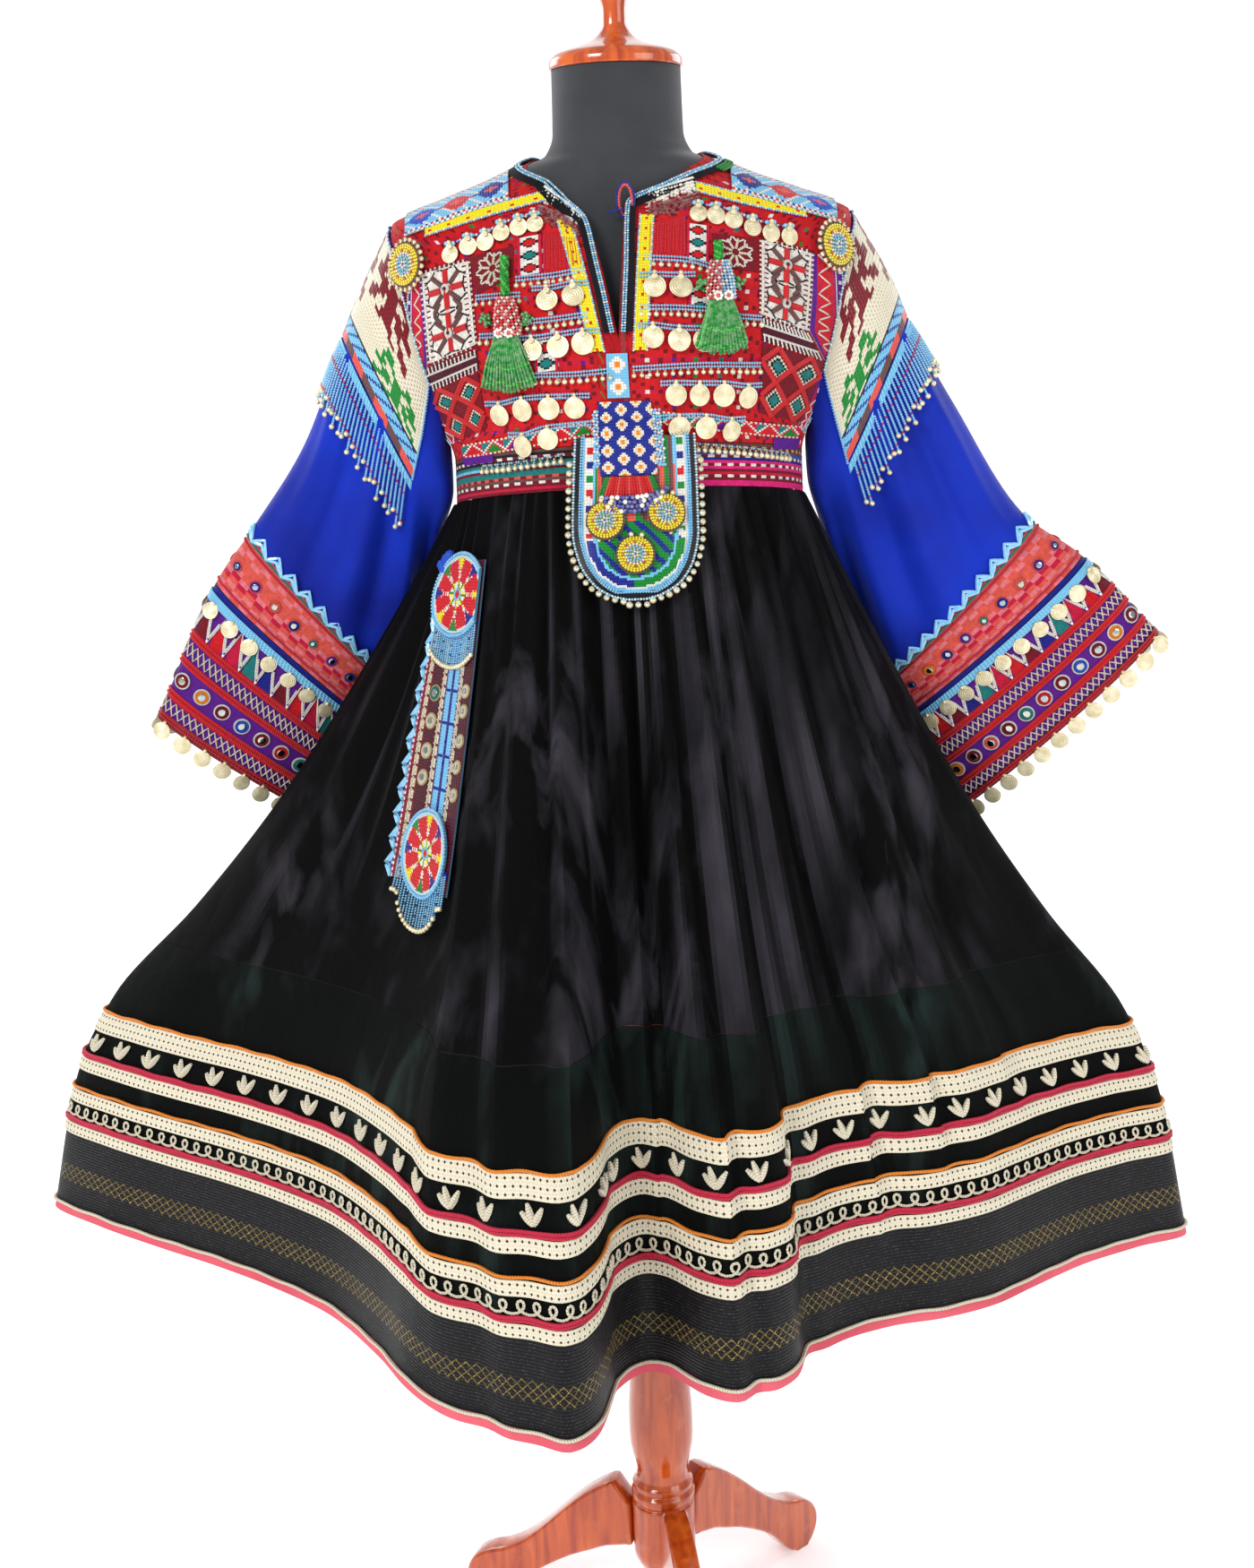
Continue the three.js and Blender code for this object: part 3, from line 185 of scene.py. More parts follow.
class Piece:
    """Mesh joined from many parts, with a colour for each face and a map in metres."""

    def __init__(self, name, *materials):
        self.name, self.materials = name, materials
        self.points, self.corners, self.sizes, self.tints, self.maps, self.slots = [], [], [], [], [], []
        self.count = 0

    def add(self, points, faces, colour, mapped=None, slot=0):
        """Faces is an array of rows of corners; mapped gives a place in the map for each corner."""
        points, faces = np.asarray(points, float).reshape(-1, 3), np.asarray(faces, int)
        colour = np.asarray(colour, float)
        if colour.ndim == 1:
            colour = np.tile(colour, (len(faces), 1))
        if mapped is None:
            mapped = np.zeros(faces.shape + (2,))
        self.points.append(points)
        self.corners.append((faces + self.count).ravel())
        self.sizes.append(np.full(len(faces), faces.shape[1]))
        self.tints.append(np.repeat(colour, faces.shape[1], axis=0))
        self.maps.append(np.asarray(mapped, float).reshape(-1, 2))
        self.slots.append(np.full(len(faces), slot))
        self.count += len(points)

    def build(self, *nodes, slot_name=None, body="root"):
        """Makes the object in the part's frame, standing for the named CAD nodes."""
        points = np.concatenate(self.points) * MM + AXIS
        corners, sizes = np.concatenate(self.corners), np.concatenate(self.sizes)
        mesh = bpy.data.meshes.new(self.name)
        mesh.vertices.add(len(points))
        mesh.vertices.foreach_set("co", points.astype(np.float32).ravel())
        mesh.loops.add(len(corners))
        mesh.loops.foreach_set("vertex_index", corners.astype(np.int32))
        mesh.polygons.add(len(sizes))
        mesh.polygons.foreach_set("loop_start", np.r_[0, np.cumsum(sizes)[:-1]].astype(np.int32))
        mesh.polygons.foreach_set("material_index", np.concatenate(self.slots).astype(np.int32))
        mesh.polygons.foreach_set("use_smooth", np.ones(len(sizes), bool))
        colours = mesh.color_attributes.new("tint", "FLOAT_COLOR", "CORNER")
        shades = np.concatenate(self.tints)
        colours.data.foreach_set("color", np.c_[shades, np.ones(len(shades))].astype(np.float32).ravel())
        layer = mesh.uv_layers.new(name="cloth")
        layer.data.foreach_set("uv", np.concatenate(self.maps).astype(np.float32).ravel())
        for material in self.materials:
            mesh.materials.append(material)
        mesh.update(calc_edges=True)
        mesh.set_sharp_from_angle(angle=math.radians(50))
        made = bpy.data.objects.new(self.name, mesh)
        bpy.context.scene.collection.objects.link(made)
        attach(made, body)
        if nodes:
            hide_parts(*nodes)
        return made


def quads(rows, columns, closed_rows=False):
    """Corners of the quads of a grid, whose points run along its columns first."""
    i = np.arange(rows if closed_rows else rows - 1)[:, None]
    j = np.arange(columns - 1)[None, :]
    following = (i + 1) % rows
    start, end = i * columns + j, following * columns + j
    return np.stack([start, end, end + 1, start + 1], -1)


def face_places(places, i, j):
    """Places in the map of the corners of each quad of a grid."""
    corners = [places[i, j], places[i + 1, j], places[i + 1, j + 1], places[i, j + 1]]
    return np.stack(corners, 2).reshape(-1, 4, 2)


def shell(
    piece, surface, us, vs, thickness, colour, lift=None, closed=0, relief=None,
    scale=(MM, MM), inside=None, slot=0, inner_slot=None,
):
    """Thin closed wall on a surface; a closed one runs round by that many units of its first coordinate."""
    lift = -thickness if lift is None else lift
    u, v = np.meshgrid(us, vs, indexing="ij")
    height = relief(u, v) if relief else np.zeros(u.shape)
    outer = surface.lifted(u, v, lift + thickness + height)
    inner = surface.lifted(u, v, lift + height)
    n, m = u.shape
    top = quads(n, m, bool(closed)).reshape(-1, 4)
    places = np.stack([u * scale[0], v * scale[1]], -1)
    around = np.concatenate([places, places[:1] + [closed * scale[0], 0]]) if closed else places
    spans = n if closed else n - 1
    i, j = np.meshgrid(np.arange(spans), np.arange(m - 1), indexing="ij")
    mapped = face_places(around, i, j)
    colour = tint(colour) if isinstance(colour, str) else np.asarray(colour, float)
    face_colour = colour.reshape(-1, 3) if colour.ndim > 1 else np.tile(colour, (len(top), 1))
    back_colour = face_colour if inside is None else np.tile(tint(inside), (len(top), 1))
    if surface.sign < 0:
        top, mapped = top[:, ::-1], mapped[:, ::-1]
    points = np.concatenate([outer.reshape(-1, 3), inner.reshape(-1, 3)])
    under = top[:, ::-1] + n * m
    under_slot = slot if inner_slot is None else inner_slot
    piece.add(points, top, face_colour, mapped, slot)
    base = piece.count - len(points)
    edges = []
    for column in (0, m - 1):
        a = np.arange(spans) * m + column
        b = (np.arange(spans) + 1) % n * m + column
        rim = np.stack([a, a + n * m, b + n * m, b], -1)
        edges.append(rim if column == 0 else rim[:, ::-1])
    if not closed:
        for row in (0, n - 1):
            a = row * m + np.arange(m - 1)
            rim = np.stack([a, a + 1, a + 1 + n * m, a + n * m], -1)
            edges.append(rim if row == 0 else rim[:, ::-1])
    rims = np.concatenate(edges)
    if surface.sign < 0:
        rims = rims[:, ::-1]
    offset = base - piece.count
    piece.add(np.zeros((0, 3)), under + offset, back_colour, mapped[:, ::-1], under_slot)
    piece.add(np.zeros((0, 3)), rims + offset, face_colour[0], None, slot)


def tube(piece, path, radius, colour, sides=5, closed=False, normals=None, slot=0):
    """Round cord along a path, with closed ends."""
    path = np.asarray(path, float)
    count = len(path)
    if closed:
        tangents = unit(np.roll(path, -1, 0) - np.roll(path, 1, 0))
    else:
        tangents = unit(np.gradient(path, axis=0))
    if normals is None:
        normals = np.where(np.abs(tangents[:, 2:3]) > 0.9, [[0, 1, 0]], [[0, 0, 1]])
    side = unit(np.cross(tangents, normals))
    other = np.cross(side, tangents)
    turn = np.linspace(0, 2 * math.pi, sides, endpoint=False)
    radii = np.broadcast_to(radius, count)[:, None, None]
    ring = side[:, None] * np.cos(turn)[None, :, None] + other[:, None] * np.sin(turn)[None, :, None]
    points = path[:, None] + ring * radii
    i = np.arange(count if closed else count - 1)[:, None]
    j = np.arange(sides)[None, :]
    ahead, over = (i + 1) % count, (j + 1) % sides
    faces = np.stack([i * sides + j, i * sides + over, ahead * sides + over, ahead * sides + j], -1)
    length = np.r_[0, np.cumsum(np.linalg.norm(np.diff(path, axis=0), axis=1))] * MM
    length = np.r_[length, length[-1] * count / max(count - 1, 1)]
    around = np.arange(sides + 1) / sides
    places = np.stack(np.meshgrid(length, around, indexing="ij"), -1)
    i, j = np.broadcast_arrays(i, j)
    mapped = face_places(places, i, j)[:, [0, 3, 2, 1]]
    piece.add(points.reshape(-1, 3), faces.reshape(-1, 4), tint(colour), mapped, slot)
    if not closed:
        last = (count - 1) * sides
        caps = np.stack([np.arange(sides)[::-1], last + np.arange(sides)])
        piece.add(np.zeros((0, 3)), caps - count * sides, tint(colour), None, slot)


OCTAHEDRON = np.array([[1, 0, 0], [-1, 0, 0], [0, 1, 0], [0, -1, 0], [0, 0, 1], [0, 0, -1]], float)
OCTAHEDRON_FACES = np.array(
    [[0, 2, 4], [2, 1, 4], [1, 3, 4], [3, 0, 4], [2, 0, 5], [1, 2, 5], [3, 1, 5], [0, 3, 5]]
)


def rounded(points, faces):
    """A solid with each face split in four and its points moved onto the unit sphere."""
    points, made, middles = [tuple(p) for p in points], [], {}

    def middle(a, b):
        key = (min(a, b), max(a, b))
        if key not in middles:
            middles[key] = len(points)
            points.append(tuple(unit(np.add(points[a], points[b]))))
        return middles[key]

    for a, b, c in faces:
        ab, bc, ca = middle(a, b), middle(b, c), middle(c, a)
        made += [[a, ab, ca], [ab, b, bc], [ca, bc, c], [ab, bc, ca]]
    return np.array(points), np.array(made)


BEAD_FORMS = {"small": (OCTAHEDRON, OCTAHEDRON_FACES), "round": rounded(OCTAHEDRON, OCTAHEDRON_FACES)}


def beads(piece, centres, radius, colours, form="small", slot=0):
    """A bead at each centre, each with its own radius and colour or all with one."""
    centres = np.asarray(centres, float).reshape(-1, 3)
    shape, faces = BEAD_FORMS[form]
    radii = np.broadcast_to(radius, len(centres))[:, None, None]
    points = centres[:, None] + shape[None] * radii
    all_faces = (faces[None] + (np.arange(len(centres)) * len(shape))[:, None, None]).reshape(-1, 3)
    shades = np.broadcast_to(np.asarray(tint(colours)), (len(centres), 3))
    piece.add(points, all_faces, np.repeat(shades, len(faces), 0), None, slot)


def facing(normal):
    """Two directions at right angles to a normal and to each other."""
    side = unit(np.cross(normal, [0.0, 0.31, 1.0]))
    return side, np.cross(normal, side)


def circle_round(centre, normal, radius, count):
    side, other = facing(normal)
    turn = np.linspace(0, 2 * math.pi, count, endpoint=False)
    return centre + (side * np.cos(turn)[:, None] + other * np.sin(turn)[:, None]) * radius


def disc(piece, centre, normal, radius, thickness, colour, sides=18, dome=0.0, slot=0):
    """Coin or boss with a softened rim that faces along a normal."""
    centre, normal = np.asarray(centre), unit(np.asarray(normal, float))
    rows = [(0, -0.5), (1, -0.5), (1, 0.3), (0.93, 0.5), (0.5, 0.5 + dome * 0.75), (0, 0.5 + dome)]
    turn = np.linspace(0, 2 * math.pi, sides, endpoint=False)
    points = [centre + normal * rows[0][1] * thickness]
    for share, height in rows[1:-1]:
        points += list(circle_round(centre, normal, radius * share, sides) + normal * height * thickness)
    points.append(centre + normal * rows[-1][1] * thickness)
    j = np.arange(sides)
    over = (j + 1) % sides
    middle, circle = np.full((1, 2), 0.5), np.stack([np.cos(turn), np.sin(turn)], -1) / 2
    spot = np.concatenate([middle, *[middle + circle * share for share, _ in rows[1:-1]], middle])
    last = len(points) - 1
    low_fan = np.stack([0 * j, 1 + over, 1 + j], -1)
    top_fan = np.stack([0 * j + last, last - sides + j, last - sides + over], -1)
    tris = np.concatenate([low_fan, top_fan])
    rings = [
        np.stack([first + j, first + over, first + sides + over, first + sides + j], -1)
        for first in range(1, last - sides, sides)
    ]
    belt = np.concatenate(rings)
    piece.add(points, tris, tint(colour), spot[tris], slot)
    piece.add(np.zeros((0, 3)), belt - len(points), tint(colour), spot[belt], slot)


# Materials
class Wire:
    """A number in a material, which can be used in sums."""

    def __init__(self, shader, socket):
        self.shader, self.socket = shader, socket

    def op(self, name, *others):
        return self.shader.sum(name, self, *others)

    def __add__(self, other):
        return self.op("ADD", other)

    def __sub__(self, other):
        return self.op("SUBTRACT", other)

    def __mul__(self, other):
        return self.op("MULTIPLY", other)

    def fract(self):
        return self.op("FRACT")

    def size(self):
        return self.op("ABSOLUTE")

    def under(self, limit):
        return self.op("LESS_THAN", limit)

    def zigzag(self):
        """Goes from 0 to 1 and back once in each unit."""
        return (self.fract() - 0.5).size() * 2

    def wave(self):
        return (self * (2 * math.pi)).op("SINE")


class Shader:
    """A material with one principled shader, and short ways to feed it."""

    def __init__(self, name, roughness=0.8, **values):
        self.material = bpy.data.materials.new(name)
        self.material.use_nodes = True
        self.tree = self.material.node_tree
        self.surface = self.tree.nodes["Principled BSDF"]
        self.surface.inputs["Roughness"].default_value = roughness
        for socket, value in values.items():
            self.surface.inputs[socket.replace("_", " ")].default_value = value

    def node(self, kind, **settings):
        made = self.tree.nodes.new("ShaderNode" + kind)
        for name, value in settings.items():
            setattr(made, name, value)
        return made

    def feed(self, socket, value):
        if isinstance(value, Wire):
            self.tree.links.new(value.socket, socket)
        else:
            socket.default_value = value

    def sum(self, name, *values):
        made = self.node("Math", operation=name)
        for socket, value in zip(made.inputs, values):
            self.feed(socket, value)
        return Wire(self, made.outputs[0])

    def mix(self, share, first, second):
        made = self.node("Mix", data_type="RGBA")
        self.feed(made.inputs["Factor"], share)
        for socket, value in ((made.inputs[6], first), (made.inputs[7], second)):
            self.feed(socket, value if isinstance(value, Wire) else (*tint(value), 1))
        return Wire(self, made.outputs[2])

    def painted(self):
        """The colour of each face."""
        return Wire(self, self.node("Attribute", attribute_name="tint").outputs["Color"])

    def places(self):
        """Both coordinates of the map, in metres."""
        parts = self.node("SeparateXYZ")
        self.tree.links.new(self.node("UVMap", uv_map="cloth").outputs[0], parts.inputs[0])
        return Wire(self, parts.outputs[0]), Wire(self, parts.outputs[1])

    def noise(self, scale, detail=3.0, stretch=(1, 1, 1), distortion=0.0):
        made = self.node("TexNoise")
        made.inputs["Scale"].default_value = scale
        made.inputs["Detail"].default_value = detail
        made.inputs["Distortion"].default_value = distortion
        sized = self.node("Mapping")
        sized.inputs["Scale"].default_value = stretch
        self.tree.links.new(self.node("TexCoord").outputs["Object"], sized.inputs[0])
        self.tree.links.new(sized.outputs[0], made.inputs["Vector"])
        return Wire(self, made.outputs["Fac"])

    def ramp(self, value, low, high):
        made = self.node("MapRange")
        self.feed(made.inputs[0], value)
        made.inputs[1].default_value, made.inputs[2].default_value = low, high
        return Wire(self, made.outputs[0])

    def colour(self, value):
        value = value if isinstance(value, Wire) else (*tint(value), 1)
        self.feed(self.surface.inputs["Base Color"], value)

    def relief(self, height, strength=0.5, distance=0.001):
        made = self.node("Bump")
        made.inputs["Strength"].default_value = strength
        made.inputs["Distance"].default_value = distance
        self.feed(made.inputs["Height"], height)
        self.tree.links.new(made.outputs[0], self.surface.inputs["Normal"])


def velvet(name, dark, light, bloom):
    """Crushed pile: nearly black, with a coloured bloom where it catches the light, and a colour lightened
    by painted sheen streaks, partly the crush of the pile, and by painted fold highlights.
    """
    made = Shader(
        name, 0.7, Sheen_Weight=0.07, Sheen_Roughness=0.3, Sheen_Tint=(*linear(bloom), 1),
        Specular_IOR_Level=0.08
    )
    # Painted sheen: lighter vertical streaks in patches, partly the crush of the pile. The face colours add
    # painted highlights on the folds.
    crush_and_sheen_streaks = made.ramp(made.noise(34, 6, (1, 1, 0.14), 0.4), 0.47, 0.66)
    patchy = made.ramp(made.noise(7, 4, (1, 1, 0.3)), 0.49, 0.62)
    painted_highlight = made.painted() * made.ramp(made.noise(10, 5, (1, 1, 0.3)), 0.4, 0.62)
    made.colour(made.mix(crush_and_sheen_streaks * patchy * 0.8 + painted_highlight, linear(dark), linear(light)))
    made.relief(made.noise(1500, 2) + made.noise(30, 5, (1, 1, 0.25), 0.8) * 5, 0.6, 0.0016)
    return made.material


def woven(name, first, second=None, pitch=0.0011, roughness=0.85, sheen=0.25, crease=0.6):
    """Plain weave with slight wear."""
    made = Shader(name, roughness, Sheen_Weight=sheen, Specular_IOR_Level=0.15)
    u, v = made.places()
    threads = (u * (1 / pitch)).wave() * (v * (1 / pitch)).wave()
    made.colour(made.mix(made.ramp(made.noise(9, 4), 0.35, 0.7), linear(first), linear(second or first)))
    made.relief(threads * 0.25 + made.noise(30, 4, (1, 1, 0.5)) * crease, 0.4, 0.001)
    return made.material


def needlework(name):
    """Painted by face, with close slanted stitches."""
    made = Shader(name, 0.6, Sheen_Weight=0.03, Specular_IOR_Level=0.2)
    u, v = made.places()
    stitches = ((u + v * 0.6) * 620).wave() * 0.5 + (v * 900).wave() * 0.3
    worn = made.ramp(made.noise(240, 3), 0.3, 0.75)
    made.colour(made.mix(worn * 0.35, made.painted(), linear("#1c1214")))
    made.relief(stitches + made.noise(400, 3), 0.6, 0.0008)
    return made.material


def beadwork(name, pitch=0.0026):
    """Painted by face, with rows of round glass beads, and painted shade in the corners between them."""
    made = Shader(name, 0.34, Coat_Weight=0.12, Coat_Roughness=0.15, Specular_IOR_Level=0.3)
    u, v = made.places()
    across, up = (u * (1 / pitch)).zigzag(), (v * (1 / pitch)).zigzag()
    gap = (across * across + up * up).op("SQRT")
    # Painted shade: the corners between the round beads are darkened.
    made.colour(made.mix(made.ramp(gap, 0.95, 1.3) * 0.55, made.painted(), linear("#1d1b1f")))
    made.relief(gap * -1.0, 0.9, 0.001)
    return made.material


def glass_beads(name):
    made = Shader(name, 0.2, Coat_Weight=0.4, Coat_Roughness=0.1)
    made.colour(made.mix(made.ramp(made.noise(300, 1), 0.35, 0.7) * 0.25, made.painted(), "white"))
    made.relief(made.noise(900, 2), 0.15, 0.0005)
    return made.material


def cord_thread(name):
    """Painted by face, twisted along its length, with painted shade in the grooves of the twist."""
    made = Shader(name, 0.62, Sheen_Weight=0.04)
    u, v = made.places()
    twist = (u * 420 + v).wave()
    # Painted shade darkens the grooves of the twist.
    painted_groove_shade = made.mix(0.4, made.painted(), linear("#2a1c16"))
    made.colour(made.mix(made.ramp(twist, -1.0, -0.4), painted_groove_shade, made.painted()))
    made.relief(twist + made.noise(700, 2), 0.7, 0.0007)
    return made.material


def metal(name, bright, dull):
    """Old coin silver: struck relief, dull in random patches."""
    made = Shader(name, 0.42, Metallic=0.55)
    u, v = made.places()
    reach = ((u - 0.5) * (u - 0.5) + (v - 0.5) * (v - 0.5)).op("SQRT")
    struck = (reach * 9).wave() + made.noise(420, 3) * 1.5
    made.colour(made.mix(made.ramp(made.noise(130, 4), 0.35, 0.7), linear(bright), linear(dull)))
    made.relief(struck, 0.35, 0.0005)
    return made.material


def braid(name, ground, rows, pitch):
    """Cream braid with rows of small dark eyelets; its map runs from 0 to 1 across."""
    made = Shader(name, 0.75, Sheen_Weight=0.04)
    u, v = made.places()
    along, across = (u * (1 / pitch)), v * rows
    hole = (along.fract() - 0.5).size() + (across.fract() - 0.5).size() * 0.9
    dark = made.ramp(hole, 0.24, 0.16)
    made.colour(made.mix(dark, ground, linear("#241a14")))
    plait = (along * 2 + across).wave() + (along * 2 - across).wave()
    made.relief(plait * 0.4 + made.noise(500, 3) - dark, 0.8, 0.0009)
    return made.material


def lurex(name):
    """Dark cloth with fine metallic lines and a gold hatched band in the middle."""
    made = Shader(name, 0.5, Sheen_Weight=0.03, Specular_IOR_Level=0.2)
    u, v = made.places()
    lines = (v * 26).zigzag()
    glint = made.ramp(made.noise(700, 3, (1, 1, 1)), 0.52, 0.64)
    hatch = (u * 110 + v * 9).zigzag().under(0.14).op("MAXIMUM", (u * 110 - v * 9).zigzag().under(0.14))
    middle = (v - 0.56).size().under(0.12)
    # Painted glints: random flecks brighten the silver lines and the gold hatching.
    silver = made.ramp(lines, 0.75, 0.95) * (glint * 0.5 + 0.03)
    cloth = made.mix(silver, linear("#08070a"), linear("#77747c"))
    made.colour(made.mix(hatch * middle * (glint * 0.75 + 0.25), cloth, linear("#b59a4a")))
    made.relief(lines + made.noise(300, 3), 0.5, 0.0008)
    return made.material


def lacquer(name):
    """Glossy orange-brown lacquer over wood."""
    made = Shader(name, 0.16, Coat_Weight=0.7, Coat_Roughness=0.06)
    grain = made.noise(14, 6, (6, 6, 0.7), 0.6)
    rubbed = made.ramp(made.noise(55, 4), 0.6, 0.8)
    wood = made.mix(made.ramp(grain, 0.35, 0.7), linear("#a8370f"), linear("#d9621f"))
    made.colour(made.mix(rubbed * 0.3, wood, linear("#e58a4c")))
    made.relief(grain, 0.06, 0.001)
    return made.material


def form_cloth(name):
    """Matt charcoal jersey."""
    made = Shader(name, 0.92, Sheen_Weight=0.3, Sheen_Roughness=0.5)
    made.colour(made.mix(made.ramp(made.noise(14, 4), 0.3, 0.7), linear("#26272b"), linear("#34363b")))
    made.relief(made.noise(1300, 2) + made.noise(160, 2) * 0.4, 0.45, 0.0006)
    return made.material


def mirror_glass(name):
    made = Shader(name, 0.06, Metallic=1.0)
    made.colour(made.mix(made.ramp(made.noise(60, 2), 0.4, 0.6), linear("#9fb0b6"), linear("#c9c6b4")))
    made.relief(made.noise(90, 1), 0.1, 0.0005)
    return made.material


# Each velvet: its deep colour, the lighter colour of its sheen streaks and painted highlights, and its
# sheen tint
VELVET = velvet("velvet", "#020203", "#3b383f", "#4c4b55")
VELVET_GREEN = velvet("velvet_green", "#020403", "#22302d", "#30453f")
LUREX = lurex("lurex")
BRAID_WIDE = braid("braid_wide", "cream", 3, 0.0058)
BRAID_NARROW = braid("braid_narrow", "cream", 2, 0.0058)
BINDING = woven("binding", "#ea6a78", "#d65564", 0.0016, 0.8, 0.05)
ROYAL = woven("royal_blue", "#0730bd", "#051d90", 0.0006, 0.5, 0.04, 2.2)
BLACK = woven("black_cloth", "#0b0a0d", "#1a181d", 0.0011, 0.8, 0.05)
LINING = woven("lining", "#3b3236", "#2b2428", 0.0011, 0.85, 0.05)
STITCHED = needlework("needlework")
BEADED = beadwork("beadwork")
GLASS = glass_beads("glass_beads")
THREAD = cord_thread("thread")
COIN = metal("coin", "#f6ecca", "#d9c99c")
MIRROR = mirror_glass("mirror")
LACQUER = lacquer("lacquer")
FORM_CLOTH = form_cloth("form_cloth")
ORNAMENT = (STITCHED, BEADED, GLASS, THREAD, COIN, MIRROR, LINING)
STITCHED_SLOT, BEADED_SLOT, GLASS_SLOT, THREAD_SLOT, COIN_SLOT, MIRROR_SLOT, LINING_SLOT = range(7)


# The garment's surfaces, in millimetres about the stand's axis
WAIST_Z, WAIST_RISE, BAND_HEIGHT, SEAM = 1182, 20, 38, 0.3
CLOTH, BRAID, LIFT = 1.8, 1.2, 0.4
HEM = table(
    "turn x y z",
    (-90, -599, -1, 500), (-84, -543, -52, 500), (-77.5, -474, -89, 492), (-71, -417, -121, 488),
    (-65, -356, -158, 482), (-59, -296, -205, 476), (-53, -246, -276, 474), (-47.5, -215, -330, 472),
    (-43, -188, -354, 464), (-38, -150, -384, 462), (-31, -105, -402, 460), (-24, -74, -412, 458),
    (-18, -52, -384, 458), (-13, -40, -330, 460), (-7, -16, -296, 460), (-1, 8, -302, 460),
    (5, 38, -337, 460), (11, 68, -349, 460), (18, 108, -322, 460), (26, 152, -260, 460),
    (34, 203, -235, 462), (43, 256, -222, 462), (52, 307, -200, 462), (60, 344, -172, 462),
    (70, 403, -127, 461), (80, 462, -94, 460), (90, 519, -60, 458), (99, 474, 2, 458),
    (109, 430, 36, 458), (119, 368, 96, 460), (129, 322, 168, 462), (139, 248, 204, 462),
    (148, 212, 276, 464), (157, 138, 300, 466), (166, 92, 362, 466), (175, 24, 342, 468),
    (184, -28, 386, 468), (193, -98, 346, 470), (202, -150, 366, 472), (212, -214, 290, 476),
    (222, -282, 242, 480), (232, -352, 160, 484), (242, -418, 124, 489), (252, -480, 64, 493),
    (262, -545, 40, 498),
)
SPREAD = table(
    "along out", (0, 0), (0.2, 0.2), (0.4, 0.42), (0.55, 0.62), (0.68, 0.82), (0.8, 0.92), (1, 1)
)
PLEAT_SIDE = table("turn rise", (-100, 0), (-47.5, 0), (-43, 1), (-31, 0.7), (-13, 0), (280, 0))
PLEAT_RISE = table("along rise", (0, 0), (0.07, 7), (0.25, 16), (0.55, 20), (0.85, 8), (1, 0))
GATHER_HEIGHT = table("along height", (0, 3.0), (0.1, 3.0), (0.3, 1.6), (0.5, 0.5), (0.6, 0))
BODICE = table(
    "z half front back",
    (1170, 160, 111, 100), (1222, 159, 118, 98), (1247, 166, 122, 98), (1300, 186, 125, 100),
    (1350, 200, 118, 102), (1400, 208, 96, 92), (1432, 205, 80, 80), (1450, 160, 72, 73),
    (1465, 118, 69, 70), (1490, 62, 66, 66),
)
ARMHOLE = table(
    "z turn",
    (1170, 90), (1235, 90), (1260, 77), (1310, 71), (1370, 71), (1410, 77), (1432, 90), (1490, 90),
)
half_width = curve(BODICE["z"], BODICE["half"])
front_depth = curve(BODICE["z"], BODICE["front"])
back_depth = curve(BODICE["z"], BODICE["back"])
armhole_turn = curve(ARMHOLE["z"], ARMHOLE["turn"])
hem_x, hem_y, hem_z = (ring_curve(HEM["turn"], HEM[key]) for key in "xyz")
spread = curve(SPREAD["along"], SPREAD["out"])
pleat_side = polyline(PLEAT_SIDE["turn"], PLEAT_SIDE["rise"])
pleat_rise = curve(PLEAT_RISE["along"], PLEAT_RISE["rise"])
gather_height = curve(GATHER_HEIGHT["along"], GATHER_HEIGHT["height"])


def bodice_at(turn, z):
    c = cos(turn)
    depth = np.where(c > 0, front_depth(z), back_depth(z))
    return points3(half_width(z) * sin(turn), -depth * c, z)


def turn_of(x, z, limit=1.0):
    return np.degrees(np.arcsin(np.clip(x / half_width(z), -limit, limit)))


def front_at(x, z):
    """Front of the bodice at a distance across and a height."""
    return bodice_at(turn_of(x, z, 0.9999), z)


def waist_height(turn):
    c = cos(turn)
    return WAIST_Z + np.where(c > 0, WAIST_RISE * c, -WAIST_RISE * c / 3)


def wrap(turn):
    return (turn + 90) % 360 - 90


def smooth_skirt_at(turn, along):
    turn = wrap(np.asarray(turn, float))
    waist_z = waist_height(turn) - SEAM
    waist = bodice_at(turn, waist_z)
    out, side = spread(along), pleat_side(turn) * pleat_rise(along)
    return points3(
        lerp(waist[..., 0], hem_x(turn), out) + side * sin(turn),
        lerp(waist[..., 1], hem_y(turn), out) - side * cos(turn),
        lerp(waist_z, hem_z(turn), along),
    )


